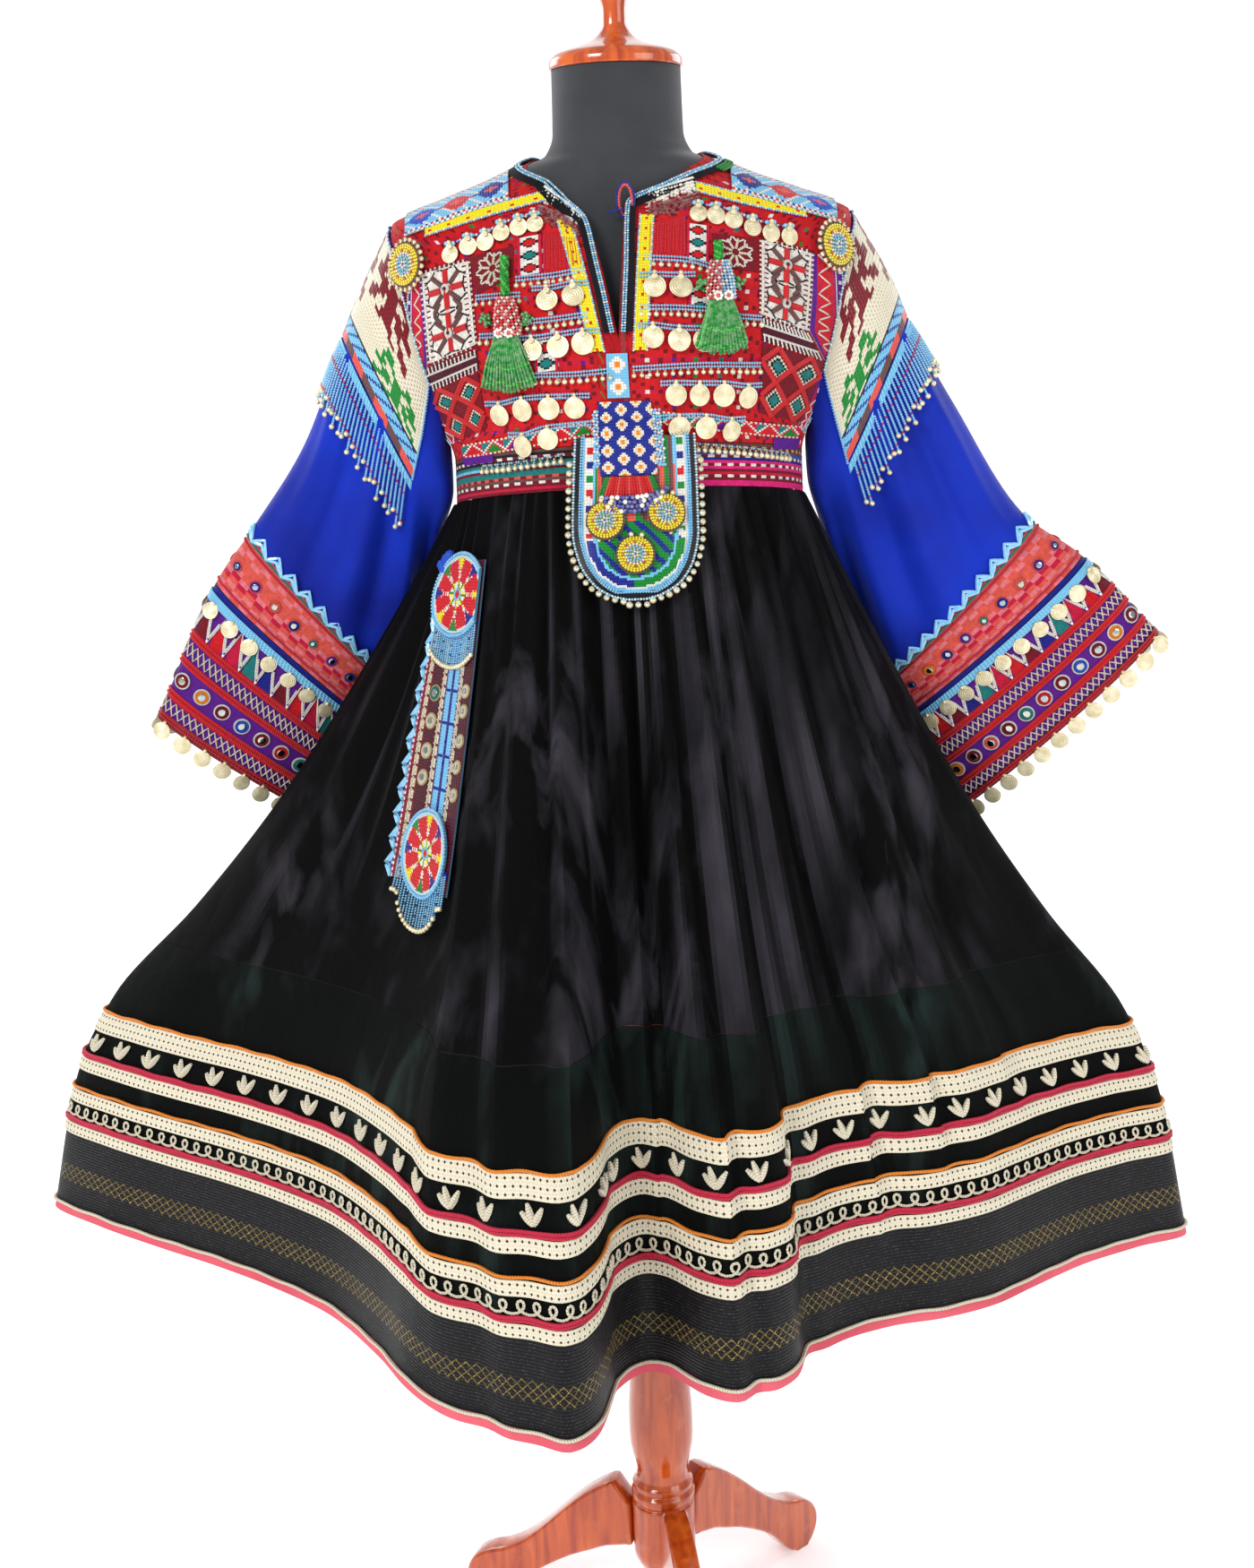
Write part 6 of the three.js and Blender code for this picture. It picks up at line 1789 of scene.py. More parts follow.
# Pendant: a long panel with a round foot, a patch over it, strings, bead clusters and three rosettes
PENDANT_DEPTH = table(
    "z depth",
    (1100, 156), (1130, 148), (1165, 139), (1200, 132),
    (1232, 130), (1248, 127.6), (1262, 122.8), (1276, 122.8),
)
PENDANT_OUTLINE = table(
    "z half middle",
    (1109, 6, 2), (1113, 22, 2), (1124, 39, 3), (1143, 50, 3), (1165, 54, 3), (1205, 53, 4), (1246, 51, 5),
)
PATCH_OUTLINE = table("z half middle", (1214, 24, -1), (1245, 23, -2), (1276, 22, -3))
PENDANT_BOW, PENDANT_THICKNESS = 0.0031, 2.2
PENDANT_ROSETTES = {"left": (-22, 1176, 4.7), "right": (29, 1181, 4.8), "low": (2, 1147, 4.4)}
pendant_depth = curve(PENDANT_DEPTH["z"], PENDANT_DEPTH["depth"])


def pendant_at(x, z):
    return points3(x, -pendant_depth(z) + PENDANT_BOW * x * x, z)


pendant = Surface(pendant_at, 1, 1)


def within(outline):
    """Area of the pendant inside an outline, from -1 to 1 across and by height."""
    half, middle = (curve(outline["z"], outline[key]) for key in ("half", "middle"))
    return Surface(lambda a, z: pendant_at(middle(z) + a * half(z), z), 0.02, 0.5)


def inset_of(outline, x, z):
    """Distance of a point from the outline's sides and foot, and how far along the outline that is."""
    left = [(m - h, level) for level, h, m in zip(*(outline[key][::-1] for key in ("z", "half", "middle")))]
    right = [(m + h, level) for level, h, m in zip(*(outline[key] for key in ("z", "half", "middle")))]
    path = np.array(left + right)
    best, run, total = 1e9, 0.0, 0.0
    for a, b in zip(path[:-1], path[1:]):
        ahead = b - a
        share = np.clip(((x - a[0]) * ahead[0] + (z - a[1]) * ahead[1]) / (ahead @ ahead), 0, 1)
        away = np.hypot(x - a[0] - share * ahead[0], z - a[1] - share * ahead[1])
        if away < best:
            best, run = away, total + share * np.linalg.norm(ahead)
        total += np.linalg.norm(ahead)
    return best, run


CHECKS = ["white", "red", "white", "navy", "white", "green"]


def panel_colour(x, z):
    away, run = inset_of(PENDANT_OUTLINE, x, z)
    if away < 6.5:
        return "black"
    if away < 9:
        return "light_blue"
    if away < 11:
        return "white"
    if away < 17:
        return CHECKS[int(run / 6.2) % 6] if z > 1160 else ("navy" if x < 0 else "green")
    if away < 19.5:
        return "light_blue"
    if z > 1175:
        return ("coral", "green", "brown")[int(abs(x) / 4) % 3]
    return "green" if (x + z) % 14 > 6 else "navy"


panel = within(PENDANT_OUTLINE)
panel_half = curve(PENDANT_OUTLINE["z"], PENDANT_OUTLINE["half"])
panel_middle = curve(PENDANT_OUTLINE["z"], PENDANT_OUTLINE["middle"])
PENDANT_FOOT, PENDANT_TOP = PENDANT_OUTLINE["z"][[0, -1]]
panel_us = steps(-1, 1, 56)
panel_vs = np.r_[steps(PENDANT_FOOT, 1116, 6), steps(1116, PENDANT_TOP, 66)[1:]]
middle_u, middle_v = (panel_us[1:] + panel_us[:-1]) / 2, (panel_vs[1:] + panel_vs[:-1]) / 2
shades = np.array([
    [tint(panel_colour(panel_middle(v) + u * panel_half(v), v)) for v in middle_v] for u in middle_u
])
piece = ornament("pendant_beaded")
shell(piece, panel, panel_us, panel_vs, PENDANT_THICKNESS, shades, lift=0.0, scale=(0.0546, MM),
      slot=BEADED_SLOT)


def outline_path(inset, lift, top=PENDANT_TOP):
    """Line round the panel's sides and foot at a distance inside its edge."""
    share = steps(0, math.pi, 120)
    z = top - (top - PENDANT_FOOT - inset) * np.sin(share) ** 0.62
    level = z - inset * 0.3
    half = np.maximum(panel_half(np.maximum(level, PENDANT_FOOT)) - inset, 0)
    return pendant.lifted(panel_middle(level) - np.sign(np.cos(share)) * half, z, lift)


edge = outline_path(0.8, PENDANT_THICKNESS + 0.4)
bead_line(piece, edge, 1.35, ["white", "light_blue", "white", "light_blue"])
for inset in (6.6, 8.6):
    bead_line(piece, outline_path(inset, PENDANT_THICKNESS + 0.7), 1.3, "light_blue")
rim = outline_path(-3.6, 1.4, 1238)
rim = rim[rim[:, 2] < 1236]
places = spaced(rim, 7.6)
beads(piece, places, 3.0 * rng.uniform(0.9, 1.08, len(places)), "silver", "round", COIN_SLOT)
beads(piece, places + [0, -2.6, 1.2], 1.1, "light_blue", "small", GLASS_SLOT)
STRING_TOP, STRING_FOOT = 1213, 1196
for k, share in enumerate(steps(-1, 1, 20)):
    lift = PENDANT_THICKNESS + 1.5 + 0.8 * (k % 2)
    path = pendant.lifted(-1 + share * np.array([19, 26]), np.array([STRING_TOP, STRING_FOOT]), lift)
    colour = "red" if abs(share) < 0.75 else "green"
    tube(piece, path, 1.4, "coral" if k % 4 == 2 else colour, slot=THREAD_SLOT)
for row, level in enumerate((1195, 1191, 1187, 1183)):
    for share in steps(-1, 1, 13 - row):
        x = 3 + share * (27 - 2.5 * row) + rng.uniform(-0.6, 0.6)
        spot = pendant.lifted(x, level + 7 * share * share * (share > 0), PENDANT_THICKNESS + 3.4)
        beads(piece, spot, 2.4, "white" if rng.random() < 0.3 else "navy", "round", GLASS_SLOT)
piece.build("pendant_panel", slot_name="black_cloth")


def patch_rule(i, j):
    """Cream and orange diamonds on navy."""
    far = abs(i % 8 - 3.5) / 4 + abs((j + 4 * (i // 8 % 2)) % 8 - 3.5) / 4
    return "orange" if far < 0.35 else "red" if far < 0.5 else "cream" if far < 0.88 else "navy"


patch = within(PATCH_OUTLINE)
PATCH_LIFT = PENDANT_THICKNESS + LIFT
piece = ornament("pendant_patch_beaded")
shades = cells(patch_rule, 28, 36)
shell(piece, patch, steps(-1, 1, 28), steps(1214, 1276, 36), BRAID, shades, lift=PATCH_LIFT,
      scale=(0.024, MM), slot=BEADED_SLOT)
for a in (-1.16, -1.05, 1.05, 1.16, 1.27):
    levels = steps(1222, 1268, 14)
    wave = 0.05 * np.sin(levels * 0.9 + a * 7)
    path = patch.lifted(a + wave, levels, PATCH_LIFT + 1.6)
    bead_line(piece, path, 1.6, ["light_blue", "light_blue", "white"])
piece.build("pendant_patch", slot_name="navy_cloth")

for name, (x, z, lift) in PENDANT_ROSETTES.items():
    normal = pendant.normal(x, z)
    piece = ornament(f"boss_{name}")
    rosette(piece, pendant_at(x, z) + normal * lift, normal, 15.4, 2.4, fringe=False)
    for angle in (70, 100, 250, 280):
        spot = pendant_at(x, z) + normal * lift
        spot = spot + np.array([math.cos(math.radians(angle)), 0, math.sin(math.radians(angle))]) * 17.6
        beads(piece, spot, 2.2, "silver", "round", COIN_SLOT)
    piece.build(f"pendant_rosette_{name}", slot_name="yellow_beads")

# Strap on the skirt, with its picot edge, two mirror columns, and two medallions with fringes
STRAP_LEFT, STRAP_RIGHT = ((0, 1), (-68, -62)), ((0, 1), (-48.4, -48))
STRAP_SPAN, STRAP_LENGTH, STRAP_LIFT, STRAP_THICKNESS = (0.075, 0.46), 275, 3.5, 1.6


def strap_at(across, down):
    left, right = np.interp(down, *STRAP_LEFT), np.interp(down, *STRAP_RIGHT)
    past = np.where(down > 1, (down - 1) * (STRAP_SPAN[1] - STRAP_SPAN[0]), 0)
    along = lerp(STRAP_SPAN[0], STRAP_SPAN[1], np.minimum(down, 1)) + past
    return smooth_skirt_at(lerp(left, right, (across + 1) / 2), along)


strap = Surface(strap_at, 0.02, 0.01, -1)
STRAP_STRIPES = [
    (-0.78, "navy"), (-0.74, "crimson"), (-0.68, "dark_red"), (-0.56, "cream"), (-0.5, "dark_red"),
    (-0.14, "wine"), (-0.02, "cream"), (0.04, "wine"), (0.22, "light_blue"), (0.28, "navy"),
    (0.44, "light_blue"), (0.5, "purple"), (0.62, "cream"), (1.1, "wine"),
]
STRAP_COLUMNS, STRAP_ROWS = 44, 110


def strap_colour(a, j):
    name = next(name for limit, name in STRAP_STRIPES if a <= limit)
    if name == "navy" and a < 0 and j % 3 == 0:
        return "light_blue"
    if name == "crimson" and j % 2:
        return "white"
    if name == "purple" and j % 3 == 0:
        return "white"
    if name == "light_blue" and j % 11 == 0:
        return "navy"
    if name == "cream" and j % 4 == 3:
        return "dark_red"
    return name


piece = ornament("strap_beaded")
strap_us = steps(-0.84, 1, STRAP_COLUMNS)
middles = (strap_us[1:] + strap_us[:-1]) / 2
shades = np.array([[tint(strap_colour(a, j)) for j in range(STRAP_ROWS)] for a in middles])
shell(piece, strap, strap_us, steps(0, 1, STRAP_ROWS), STRAP_THICKNESS, shades, lift=STRAP_LIFT,
      scale=(0.036, 0.275), slot=BEADED_SLOT)
STRAP_TOP = STRAP_LIFT + STRAP_THICKNESS
PICOTS = 13
for nest in (1.0, 0.62):
    knots = np.arange(2 * PICOTS + 1)
    reach = np.where(knots % 2, -0.82 - 0.17 * nest, -0.82) + (0.02 if nest < 1 else 0)
    fine = np.linspace(0, 2 * PICOTS, 8 * PICOTS + 1)
    a, down = np.interp(fine, knots, reach), fine / (2 * PICOTS)
    width = 1.7 if nest == 1 else 2.4
    tube(piece, strap.lifted(a, down, STRAP_LIFT + 1), width, "light_blue", 5, slot=GLASS_SLOT)
for a in (-0.62, -0.08, 0.56):
    down = steps(0, 1, 110)
    wave = 0.035 * (-1) ** np.arange(111)
    path, normals = strap.lifted(a + wave, down, STRAP_TOP + 0.5), strap.normal(a, down)
    tube(piece, path, 1.0, "cream", 4, normals=normals, slot=THREAD_SLOT)
for a in (0.04, 0.25, 0.5):
    path = strap.lifted(a, steps(0, 1, 60), STRAP_TOP + 0.4)
    bead_line(piece, path, 1.2, ["navy", "purple", "navy"], 3.2)


def ringed_mirror(piece, surface, u, v, lift, radius, ring, halo="white"):
    """Round mirror sewn down by two rings of thread."""
    centre, normal = surface.lifted(u, v, lift), surface.normal(u, v)
    disc(piece, centre, normal, radius, 1.0, halo, 20, slot=STITCHED_SLOT)
    disc(piece, centre + normal * 0.5, normal, radius * 0.82, 1.0, ring, 20, slot=STITCHED_SLOT)
    disc(piece, centre + normal * 1.1, normal, radius * 0.45, 0.7, "silver", 14, slot=MIRROR_SLOT)


LEFT_MIRRORS, RIGHT_MIRRORS = (0.42, 0.507, 0.6, 0.683), (0.40, 0.46, 0.549, 0.627, 0.71)
for k, down in enumerate(LEFT_MIRRORS):
    ringed_mirror(piece, strap, -0.33, down, STRAP_TOP + 0.4, 7.6, "cream" if k else "teal", "gold")
for down in RIGHT_MIRRORS:
    ringed_mirror(piece, strap, 0.8, down, STRAP_TOP + 0.4, 6.6, "cream", "gold")
for k, (a, down) in enumerate([(-0.86, 0.02), (-0.72, 0.0), (-0.62, -0.012), (-0.78, 0.035)]):
    beads(piece, strap.lifted(a, down, STRAP_TOP + 2.5), 6.2 - k * 0.5, "blue", "round", STITCHED_SLOT)
piece.build("strap", slot_name="light_blue_beads")

MEDALLION_RADIUS, MEDALLION_EDGE = 36, 0.97
MEDALLIONS = {"upper": (0.12, 0.11), "lower": (0.2, 0.9)}
FRINGE_LIFT, FRINGE_LENGTH = STRAP_TOP + SEAM, 26
MEDALLION_LIFT = FRINGE_LIFT + 1 + SEAM
MEDALLION_GRID = 56


def medallion_colour(x, y):
    """Eight red petals on white round a star of green and yellow, in a light blue ring."""
    share, turn = math.hypot(x, y), math.degrees(math.atan2(y, x)) % 360
    sector, off = int(turn // 45), abs(turn % 45 - 22.5)
    tooth = 4.5 if int(share * 24) % 2 else 0
    if share > 0.87:
        return "light_blue"
    if share < 0.09:
        return "red"
    if share < 0.14:
        return "light_blue"
    if share < 0.4 and 22.5 - off < (0.4 - share) * 70:
        return "yellow" if sector % 2 else "green"
    if 0.3 < share < 0.84 and off < 20.5 - tooth - 16 * max(0, share - 0.6):
        return "red"
    if share > 0.56 and 22.5 - off < (share - 0.54) * 36:
        return ("yellow", "navy", "green")[int((turn + 22.5) // 45) % 8 % 3]
    return "white"


for name, (across, down) in MEDALLIONS.items():
    wide = MEDALLION_RADIUS / float(np.linalg.norm(strap_at(1.0, down) - strap_at(-1.0, down)) / 2)
    tall = MEDALLION_RADIUS / STRAP_LENGTH

    def medallion_at(a, s, across=across, down=down, wide=wide):
        chord = wide * np.sqrt(np.clip(1 - s * s, 0, 1))
        right = np.minimum(across + chord, MEDALLION_EDGE)
        return strap_at(lerp(across - chord, right, (a + 1) / 2), down + s * tall)

    medallion = Surface(medallion_at, 0.02, 0.01, -1)
    rows = np.sin(np.radians(np.linspace(-80, 80, MEDALLION_GRID + 1)))
    columns = steps(-1, 1, MEDALLION_GRID)
    shades = np.zeros((MEDALLION_GRID, MEDALLION_GRID, 3))
    for i, a in enumerate((columns[1:] + columns[:-1]) / 2):
        for j, s in enumerate((rows[1:] + rows[:-1]) / 2):
            chord = math.sqrt(1 - s * s)
            right = min(chord, (MEDALLION_EDGE - across) / wide)
            shades[i, j] = tint(medallion_colour(lerp(-chord, right, (a + 1) / 2), s))
    piece = ornament(f"medallion_{name}_beaded")
    shell(piece, medallion, columns, rows, 3, shades, lift=MEDALLION_LIFT, scale=(0.036, 0.036),
          slot=BEADED_SLOT)
    circle = np.radians(np.linspace(-4, 364, 120))
    x, y = np.cos(circle), np.sin(circle)
    keep = across + x * wide < MEDALLION_EDGE
    order = np.roll(np.arange(len(keep)), -np.argmax(~keep))
    kept = order[keep[order]]
    for reach, colour, width in ((0.99, "light_blue", 1.7), (0.9, "white", 1.0)):
        around, along = across + reach * x[kept] * wide, down + reach * y[kept] * tall
        bead_line(piece, strap.lifted(around, along, MEDALLION_LIFT + 2.8), width, colour)
    piece.build(f"medallion_{name}", slot_name="embroidery")

    def under_edge(a, mm, across=across, down=down, wide=wide):
        share = np.clip((a - across) / wide, -0.95, 0.95)
        edge_down = down + tall * np.sqrt(1 - share * share)
        return strap_at(a, edge_down + mm / STRAP_LENGTH)

    under = Surface(under_edge, 0.02, 0.5, -1)
    piece = ornament(f"fringe_{name}")
    shell(piece, under, steps(across - 0.85, MEDALLION_EDGE, 24), [-3, 0, 3], 1, "navy", lift=FRINGE_LIFT,
          slot=BEADED_SLOT)
    for k, a in enumerate(steps(across - 0.82, MEDALLION_EDGE - 0.03, 19)):
        levels = np.array([1.0, 9.0, 18.0, FRINGE_LENGTH - 2])
        path = under.lifted(a, levels, FRINGE_LIFT + 1.6)
        colours = ["light_blue"] * 3 + (["navy"] if k % 4 == 1 else ["light_blue"])
        bead_line(piece, path, 1.3, colours, 2.2)
        beads(piece, under.lifted(a, FRINGE_LENGTH, FRINGE_LIFT + 2.4), 2.5, "gold", "round", COIN_SLOT)
    piece.build(f"medallion_fringe_{name}", slot_name="light_blue_beads")

# Sleeves: beaded head patches, fringes, coral bands, embroidered cuffs and coins
HEAD_TURNS, HEAD_ROWS = (-67.5, 112.5), (0.02, 0.2)
FRINGE_ROWS, FRINGE_TURNS = (0.206, 0.222), (-61.5, 106.5)


# Stepped figure of the head patches, one row of stitches in each line
FIGURE = (
    "..XX....XX..",
    ".XXXX..XXXX.",
    ".X..XXXX..X.",
    ".XX..XX..XX.",
    "XX.X.XX.X.XX",
    "XXXXXXXXXXXX",
    "..XX.XX.XX..",
    ".XX..XX..XX.",
    "XX..XXXX..XX",
    "X..XX..XX..X",
)
FIGURES = [
    (6, 4, 2.0, "dark_red"), (32, 3, 1.6, "dark_red"), (42, 20, 1.3, "green"), (14, 23, 1.0, "green"),
]


def head_rule(i, j):
    """Cream ground with red figures above green ones, and light blue and brown bands below."""
    if j >= 40:
        return "coral" if i // 5 % 2 else "brown"
    if j >= 34:
        return "navy" if (i + j) % 4 == 0 else "light_blue"
    if j == 33:
        return "black"
    for left, top, size, name in FIGURES:
        column, row = int((i - left) / size), int((j - top) / size)
        if i >= left and j >= top and column < 12 and row < 10 and FIGURE[row][column] == "X":
            return name
    return "cream"


def even_turns(surface, along):
    """Turn at a share of the way round a sleeve, so that repeats keep one size."""
    turns = np.linspace(0, 360, 361)
    path = surface.at(turns, along)
    run = np.r_[0, np.cumsum(np.linalg.norm(np.diff(path[:-1], axis=0), axis=1))]
    run = np.r_[run, run[-1] + np.linalg.norm(path[0] - path[-2])]
    return (lambda share: np.interp(np.asarray(share) % 1 * run[-1], run, turns)), run[-1]


def zigzag(share, repeats, near, far):
    """Line that runs to and fro between two places, a number of times round a sleeve."""
    return lerp(near, far, np.abs(share * repeats % 1 - 0.5) * 2)


def round_line(
    piece, surface, turn_at, along, radius, colour, count=120, lift=0.9, sides=4, slot=THREAD_SLOT,
):
    """Closed line round a sleeve, at one place along it or by a rule of the share of the way round."""
    share = np.linspace(0, 1, count, endpoint=False)
    turns = turn_at(share)
    along = along(share) if callable(along) else along
    path, normals = surface.lifted(turns, along, lift), surface.normal(turns, np.clip(along, 0.01, 0.99))
    tube(piece, path, radius, colour, sides, closed=True, normals=normals, slot=slot)


MIRROR_RINGS = ["dark_red", "orange", "dark_red", "blue", "dark_red", "red", "teal", "dark_red", "coral"]
BAND_RINGS = ["navy", "purple", "coral", "navy", "teal", "purple", "navy", "orange"]
BAND_TINTS = "pink coral coral pink coral coral coral pink crimson coral pink coral".split()
CUFF_ZONES = [
    (0.07, "navy"), (0.34, "fans"), (0.4, "crimson"), (0.52, "purple"), (0.58, "crimson"), (0.76, "purple"),
    (0.82, "crimson"), (0.93, "purple"), (1.0, "crimson"),
]
FANS, LOZENGES, CUFF_MIRRORS, BAND_MIRRORS, ROW_COINS, HEM_COINS = 30, 42, 26, 22, 24, 28
CUFF_COLUMNS, CUFF_ROWS = 180, 30


def cuff_rule(i, j):
    """Stripes with a row of fans above them."""
    share, down = (i + 0.5) / CUFF_COLUMNS, (j + 0.5) / CUFF_ROWS
    name = next(name for limit, name in CUFF_ZONES if down <= limit)
    if name != "fans":
        return name
    rise = (down - 0.07) / 0.27
    spread_of_fan = abs(share * FANS % 1 - 0.5) * 2
    kind = ("dark_red", "red", "crimson", "teal", "navy")[int(share * FANS) % 5]
    return kind if spread_of_fan < rise * 0.85 - 0.05 else "purple"


for side, (_, band_start, band_end, _) in SLEEVES.items():
    surface = SLEEVE_SURFACES[side]
    piece = ornament(f"sleeve_{side}_patch")
    patch_turns = steps(*HEAD_TURNS, 60)
    shell(piece, surface, patch_turns, steps(*HEAD_ROWS, 44), BRAID, cells(head_rule, 60, 44), lift=LIFT,
          scale=(0.0009, 0.47), slot=BEADED_SLOT)
    bead_line(piece, surface.lifted(patch_turns, 0.022, 2.0), 1.5, ["light_blue", "white"])
    for turn in HEAD_TURNS:
        bead_line(piece, surface.lifted(turn, steps(*HEAD_ROWS, 30), 2.0), 1.5, "light_blue")
    piece.build(f"sleeve_patch_{side}", slot_name="white_cloth")

    piece = ornament(f"sleeve_{side}_fringe")
    rows = steps(*FRINGE_ROWS, 3)
    shell(piece, surface, patch_turns, rows, BRAID, "light_blue", lift=LIFT, slot=BEADED_SLOT)
    for k, turn in enumerate(steps(*FRINGE_TURNS, 46)):
        foot = lerp(0.29, 0.315, 0.5 + 0.5 * math.sin(k * 2.4))
        along = np.array([0.216, 0.245, 0.275, foot])
        path = surface.lifted(turn, along, np.array([1.8, 3.6, 4.4, 4.6]))
        bead_line(piece, path, 1.4, ["light_blue"] * 6 + ["crimson"] + ["light_blue"] * 5, 2.3)
        beads(piece, surface.lifted(turn, foot + 0.006, 4.6), 2.6, "silver", "round", COIN_SLOT)
    piece.build(f"sleeve_beads_{side}", slot_name="light_blue_beads")

    turn_at, girth = even_turns(surface, (band_start + band_end) / 2)
    shares = np.linspace(0, 1, 150, endpoint=False)
    piece = ornament(f"sleeve_{side}_band")
    shades = cells(lambda i, j: BAND_TINTS[(j + i // 3 % 2) % 12], 150, 12)
    rows = steps(band_start + 0.001, band_end - 0.001, 12)
    shell(piece, surface, turn_at(shares), rows, CLOTH, shades, closed=360, scale=(girth * MM / 360, 0.47),
          inside="wine", slot=STITCHED_SLOT, inner_slot=LINING_SLOT)
    depth = band_end - band_start
    round_line(piece, surface, turn_at, band_start + depth * 0.06, 1.0, "teal")
    round_line(piece, surface, turn_at, band_start + depth * 0.14, 1.0, "crimson")
    round_line(piece, surface, turn_at, band_end - depth * 0.1, 1.0, "crimson")
    start = band_start + 0.004
    for nest, radius in ((0.022, 1.7), (0.011, 2.0)):
        rule = partial(zigzag, repeats=26, near=start, far=start - nest)
        round_line(piece, surface, turn_at, rule, radius, "light_blue", 208, 1.4, 5, GLASS_SLOT)
    for k in range(BAND_MIRRORS):
        turn = float(turn_at((k + 0.5) / BAND_MIRRORS))
        size = 6.4 if k % 4 else 5.0
        middle = lerp(band_start, band_end, 0.5)
        ringed_mirror(piece, surface, turn, middle, 0.6, size, BAND_RINGS[k % 8], "coral")
    made = piece.build(f"sleeve_band_{side}", slot_name="coral_cloth")

    turn_at, girth = even_turns(surface, 0.87)
    shares = np.linspace(0, 1, CUFF_COLUMNS, endpoint=False)
    piece = ornament(f"cuff_{side}_cloth")
    shades = cells(cuff_rule, CUFF_COLUMNS, CUFF_ROWS)
    shell(piece, surface, turn_at(shares), steps(band_end + 0.001, 1, CUFF_ROWS), CLOTH, shades, closed=360,
          scale=(girth * MM / 360, 0.47), inside="wine", slot=STITCHED_SLOT, inner_slot=LINING_SLOT)
    span = 1 - band_end
    for down in (0.355, 0.385, 0.535, 0.565, 0.775, 0.805, 0.94, 0.965):
        round_line(piece, surface, turn_at, band_end + span * down, 1.7, "red", 150, 0.8)
    for near, far in ((0.41, 0.51), (0.51, 0.41), (0.83, 0.92), (0.92, 0.83)):
        rule = partial(zigzag, repeats=LOZENGES, near=band_end + span * near, far=band_end + span * far)
        round_line(piece, surface, turn_at, rule, 0.85, "cream", LOZENGES * 4)
    rule = partial(zigzag, repeats=FANS, near=band_end + span * 0.09, far=band_end + span * 0.34)
    round_line(piece, surface, turn_at, rule, 0.9, "white", FANS * 6)
    for k in range(FANS):
        for lean in (-0.25, 0.25):
            share = np.array([k / FANS, (k + lean) / FANS])
            path = surface.lifted(turn_at(share), band_end + span * np.array([0.3, 0.17]), 1.0)
            tube(piece, path, 0.8, "white", 4, slot=THREAD_SLOT)
        spot = surface.lifted(float(turn_at(k / FANS)), band_end + span * 0.325, 0.9)
        beads(piece, spot, 1.5, "white", "round", GLASS_SLOT)
    for k in range(CUFF_MIRRORS):
        turn = float(turn_at((k + 0.5) / CUFF_MIRRORS))
        ringed_mirror(piece, surface, turn, band_end + span * 0.67, 0.6, 8.2, MIRROR_RINGS[k % 9])
    made = piece.build(f"cuff_{side}", slot_name="crimson_cloth")

    row_at = band_end + 0.012
    for name, colour, start, end, count, radius, below in (
        ("cuff", "light_blue", row_at, row_at + 0.018, ROW_COINS, 8.5, 6),
        ("hem", "dark_red", 0.98, 0.998, HEM_COINS, 9, 7.5),
    ):
        piece = ornament(f"{name}_coin_row_{side}")
        turn_at, _ = even_turns(surface, min(end, 0.99))
        turns = turn_at(np.linspace(0, 1, 150, endpoint=False))
        shell(piece, surface, turns, steps(start, end, 2), 1.0, colour, lift=0.8, closed=360,
              scale=(0.0015, 0.47), slot=BEADED_SLOT)
        for k in range(count):
            turn = float(turn_at((k + 0.5) / count))
            edge_point = surface.at(turn, end)
            way = unit(edge_point - surface.at(turn, start))
            normal = surface.normal(turn, min(end, 0.99))
            centre = edge_point + way * below + normal * 2.2
            facing_out, size = unit(normal + rng.uniform(-0.12, 0.12, 3)), radius * rng.uniform(0.93, 1.0)
            shade = tint("silver") * rng.uniform(0.85, 1.1)
            disc(piece, centre, facing_out, size, 1.1, shade, dome=0.25, slot=COIN_SLOT)
            spot = edge_point - way * 1.5 + normal * 2.6
            beads(piece, spot, 2.0, "gold" if k % 2 else "white", "round", COIN_SLOT)
        piece.build(f"{name}_coins_{side}", slot_name="coins")


# Camera at the photograph's place, floor and soft light
CAMERA_PLACE = np.array([-12.0, -1850.0, 1346.0])
CAMERA_PITCH, CAMERA_ROLL, FOCAL_SHARE, SENSOR = 13.2, 2.0, 2222 / 1750, 36
FLOOR_REACH = 12.0


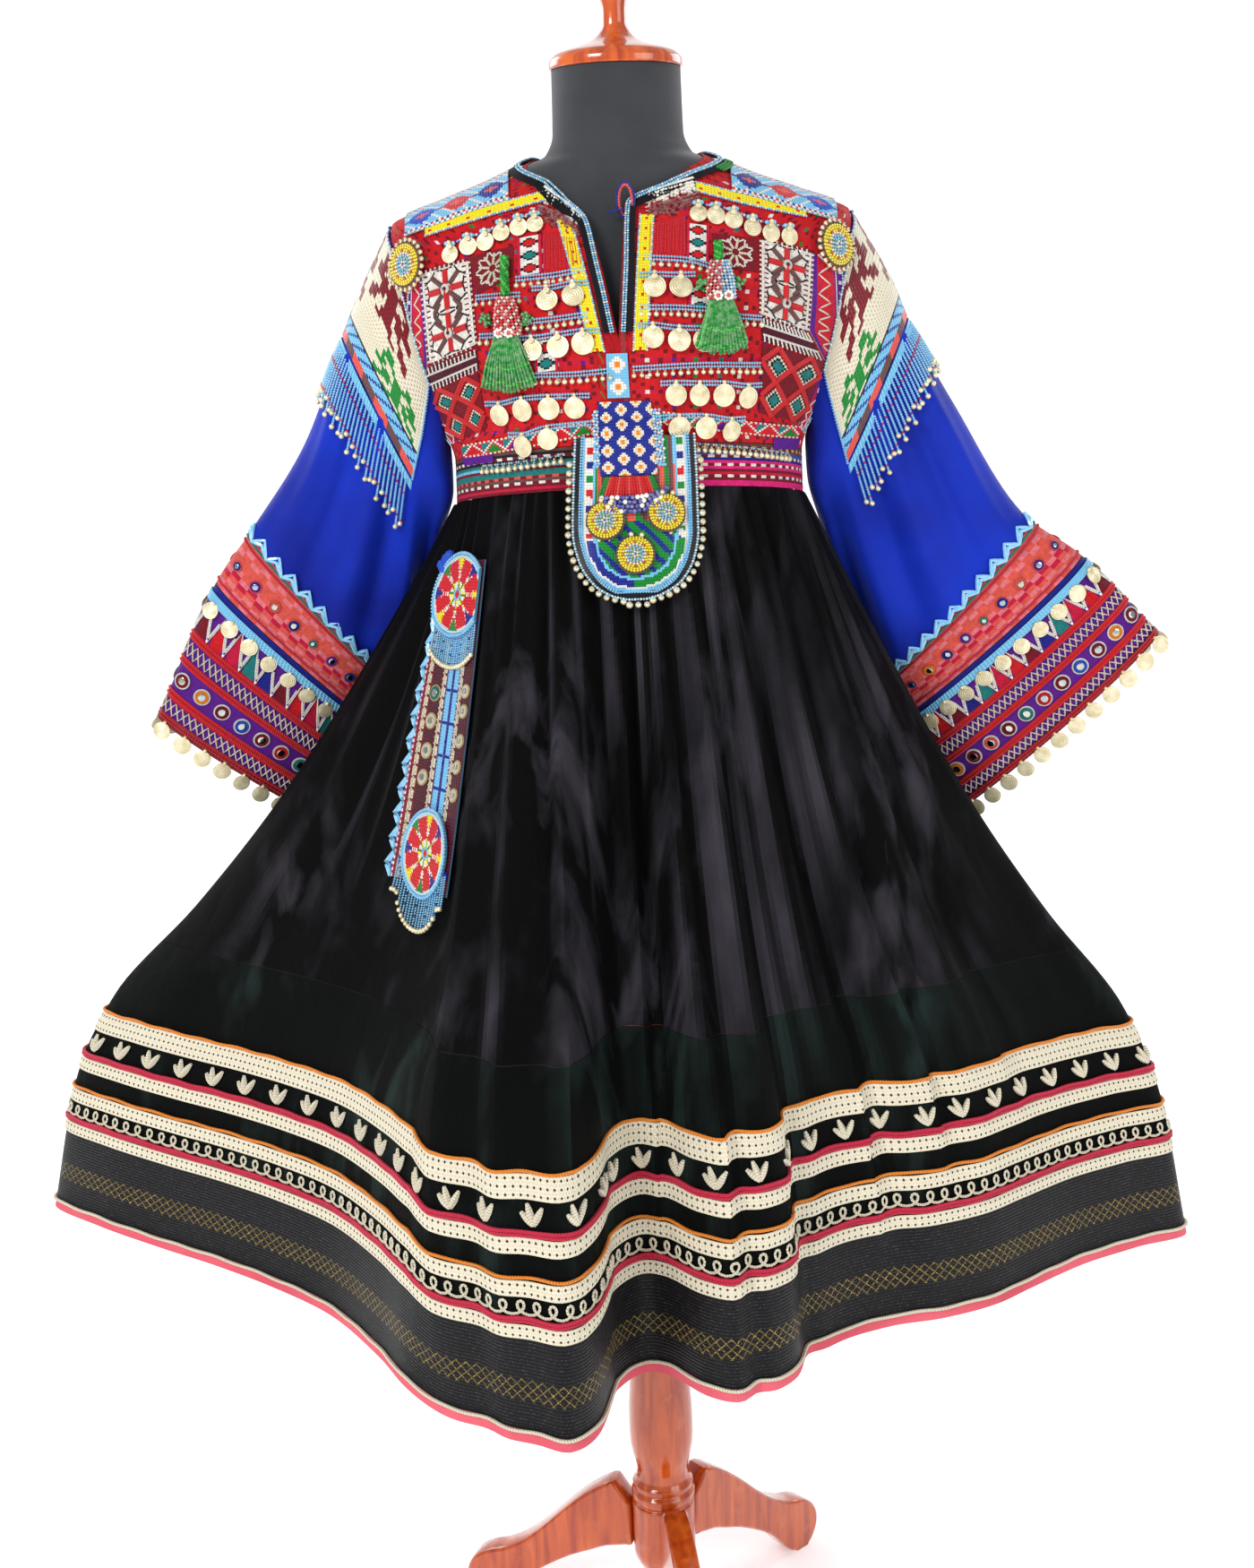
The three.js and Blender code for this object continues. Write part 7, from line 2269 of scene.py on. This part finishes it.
def add_camera():
    camera = bpy.data.objects.new("camera", bpy.data.cameras.new("camera"))
    camera.data.sensor_width = SENSOR
    camera.data.lens = SENSOR * FOCAL_SHARE
    forward = Vector((0, math.cos(math.radians(CAMERA_PITCH)), -math.sin(math.radians(CAMERA_PITCH))))
    right, up = Vector((1, 0, 0)), Vector((1, 0, 0)).cross(forward)
    c, s = math.cos(math.radians(CAMERA_ROLL)), math.sin(math.radians(CAMERA_ROLL))
    turned = Matrix([right * c - up * s, up * c + right * s, -forward]).transposed()
    camera.matrix_world = Matrix.Translation(Vector(CAMERA_PLACE * MM + AXIS)) @ turned.to_4x4()
    bpy.context.scene.collection.objects.link(camera)
    bpy.context.scene.camera = camera


def add_light(name, place, size, power):
    light = bpy.data.lights.new(name, "AREA")
    light.size, light.energy = size, power
    made = bpy.data.objects.new(name, light)
    made.location = place
    made.rotation_euler = (Vector(TARGET) - Vector(place)).to_track_quat("-Z", "Y").to_euler()
    bpy.context.scene.collection.objects.link(made)


def add_floor():
    """Pale floor that curves up far behind into a backdrop."""
    turn = np.linspace(0, math.pi / 2, 17)
    back, radius, top = 3.0, 1.5, 6.0
    profile = [(-FLOOR_REACH, 0.0), (back, 0.0)]
    profile += [(back + radius * math.sin(t), radius - radius * math.cos(t)) for t in turn[1:]]
    profile.append((back + radius, top))
    mesh = bpy.data.meshes.new("floor")
    points = [(x, y, z) for y, z in profile for x in (-FLOOR_REACH, FLOOR_REACH)]
    faces = [(2 * i, 2 * i + 1, 2 * i + 3, 2 * i + 2) for i in range(len(profile) - 1)]
    mesh.from_pydata(points, [], faces)
    shade = Shader("floor", 0.9, Base_Color=(0.94, 0.94, 0.95, 1), Emission_Color=(1, 1, 1, 1),
                   Emission_Strength=0.34)
    mesh.materials.append(shade.material)
    mesh.polygons.foreach_set("use_smooth", np.ones(len(mesh.polygons), bool))
    floor = bpy.data.objects.new("floor", mesh)
    bpy.context.scene.collection.objects.link(floor)


add_camera()
add_floor()
TARGET = (AXIS[0], AXIS[1], 1.0)
add_light("key", (-1.9, -2.6, 2.9), 1.3, 80)
add_light("fill", (2.6, -2.2, 1.9), 2.0, 32)
add_light("back_left", (-2.2, 2.0, 2.4), 1.6, 30)
add_light("back_right", (2.4, 1.9, 2.2), 1.6, 26)
world = bpy.data.worlds.new("studio")
world.use_nodes = True
world.node_tree.nodes["Background"].inputs["Color"].default_value = (0.97, 0.98, 1, 1)
world.node_tree.nodes["Background"].inputs["Strength"].default_value = 0.5
bpy.context.scene.world = world

bpy.context.scene.view_settings.view_transform = "Standard"
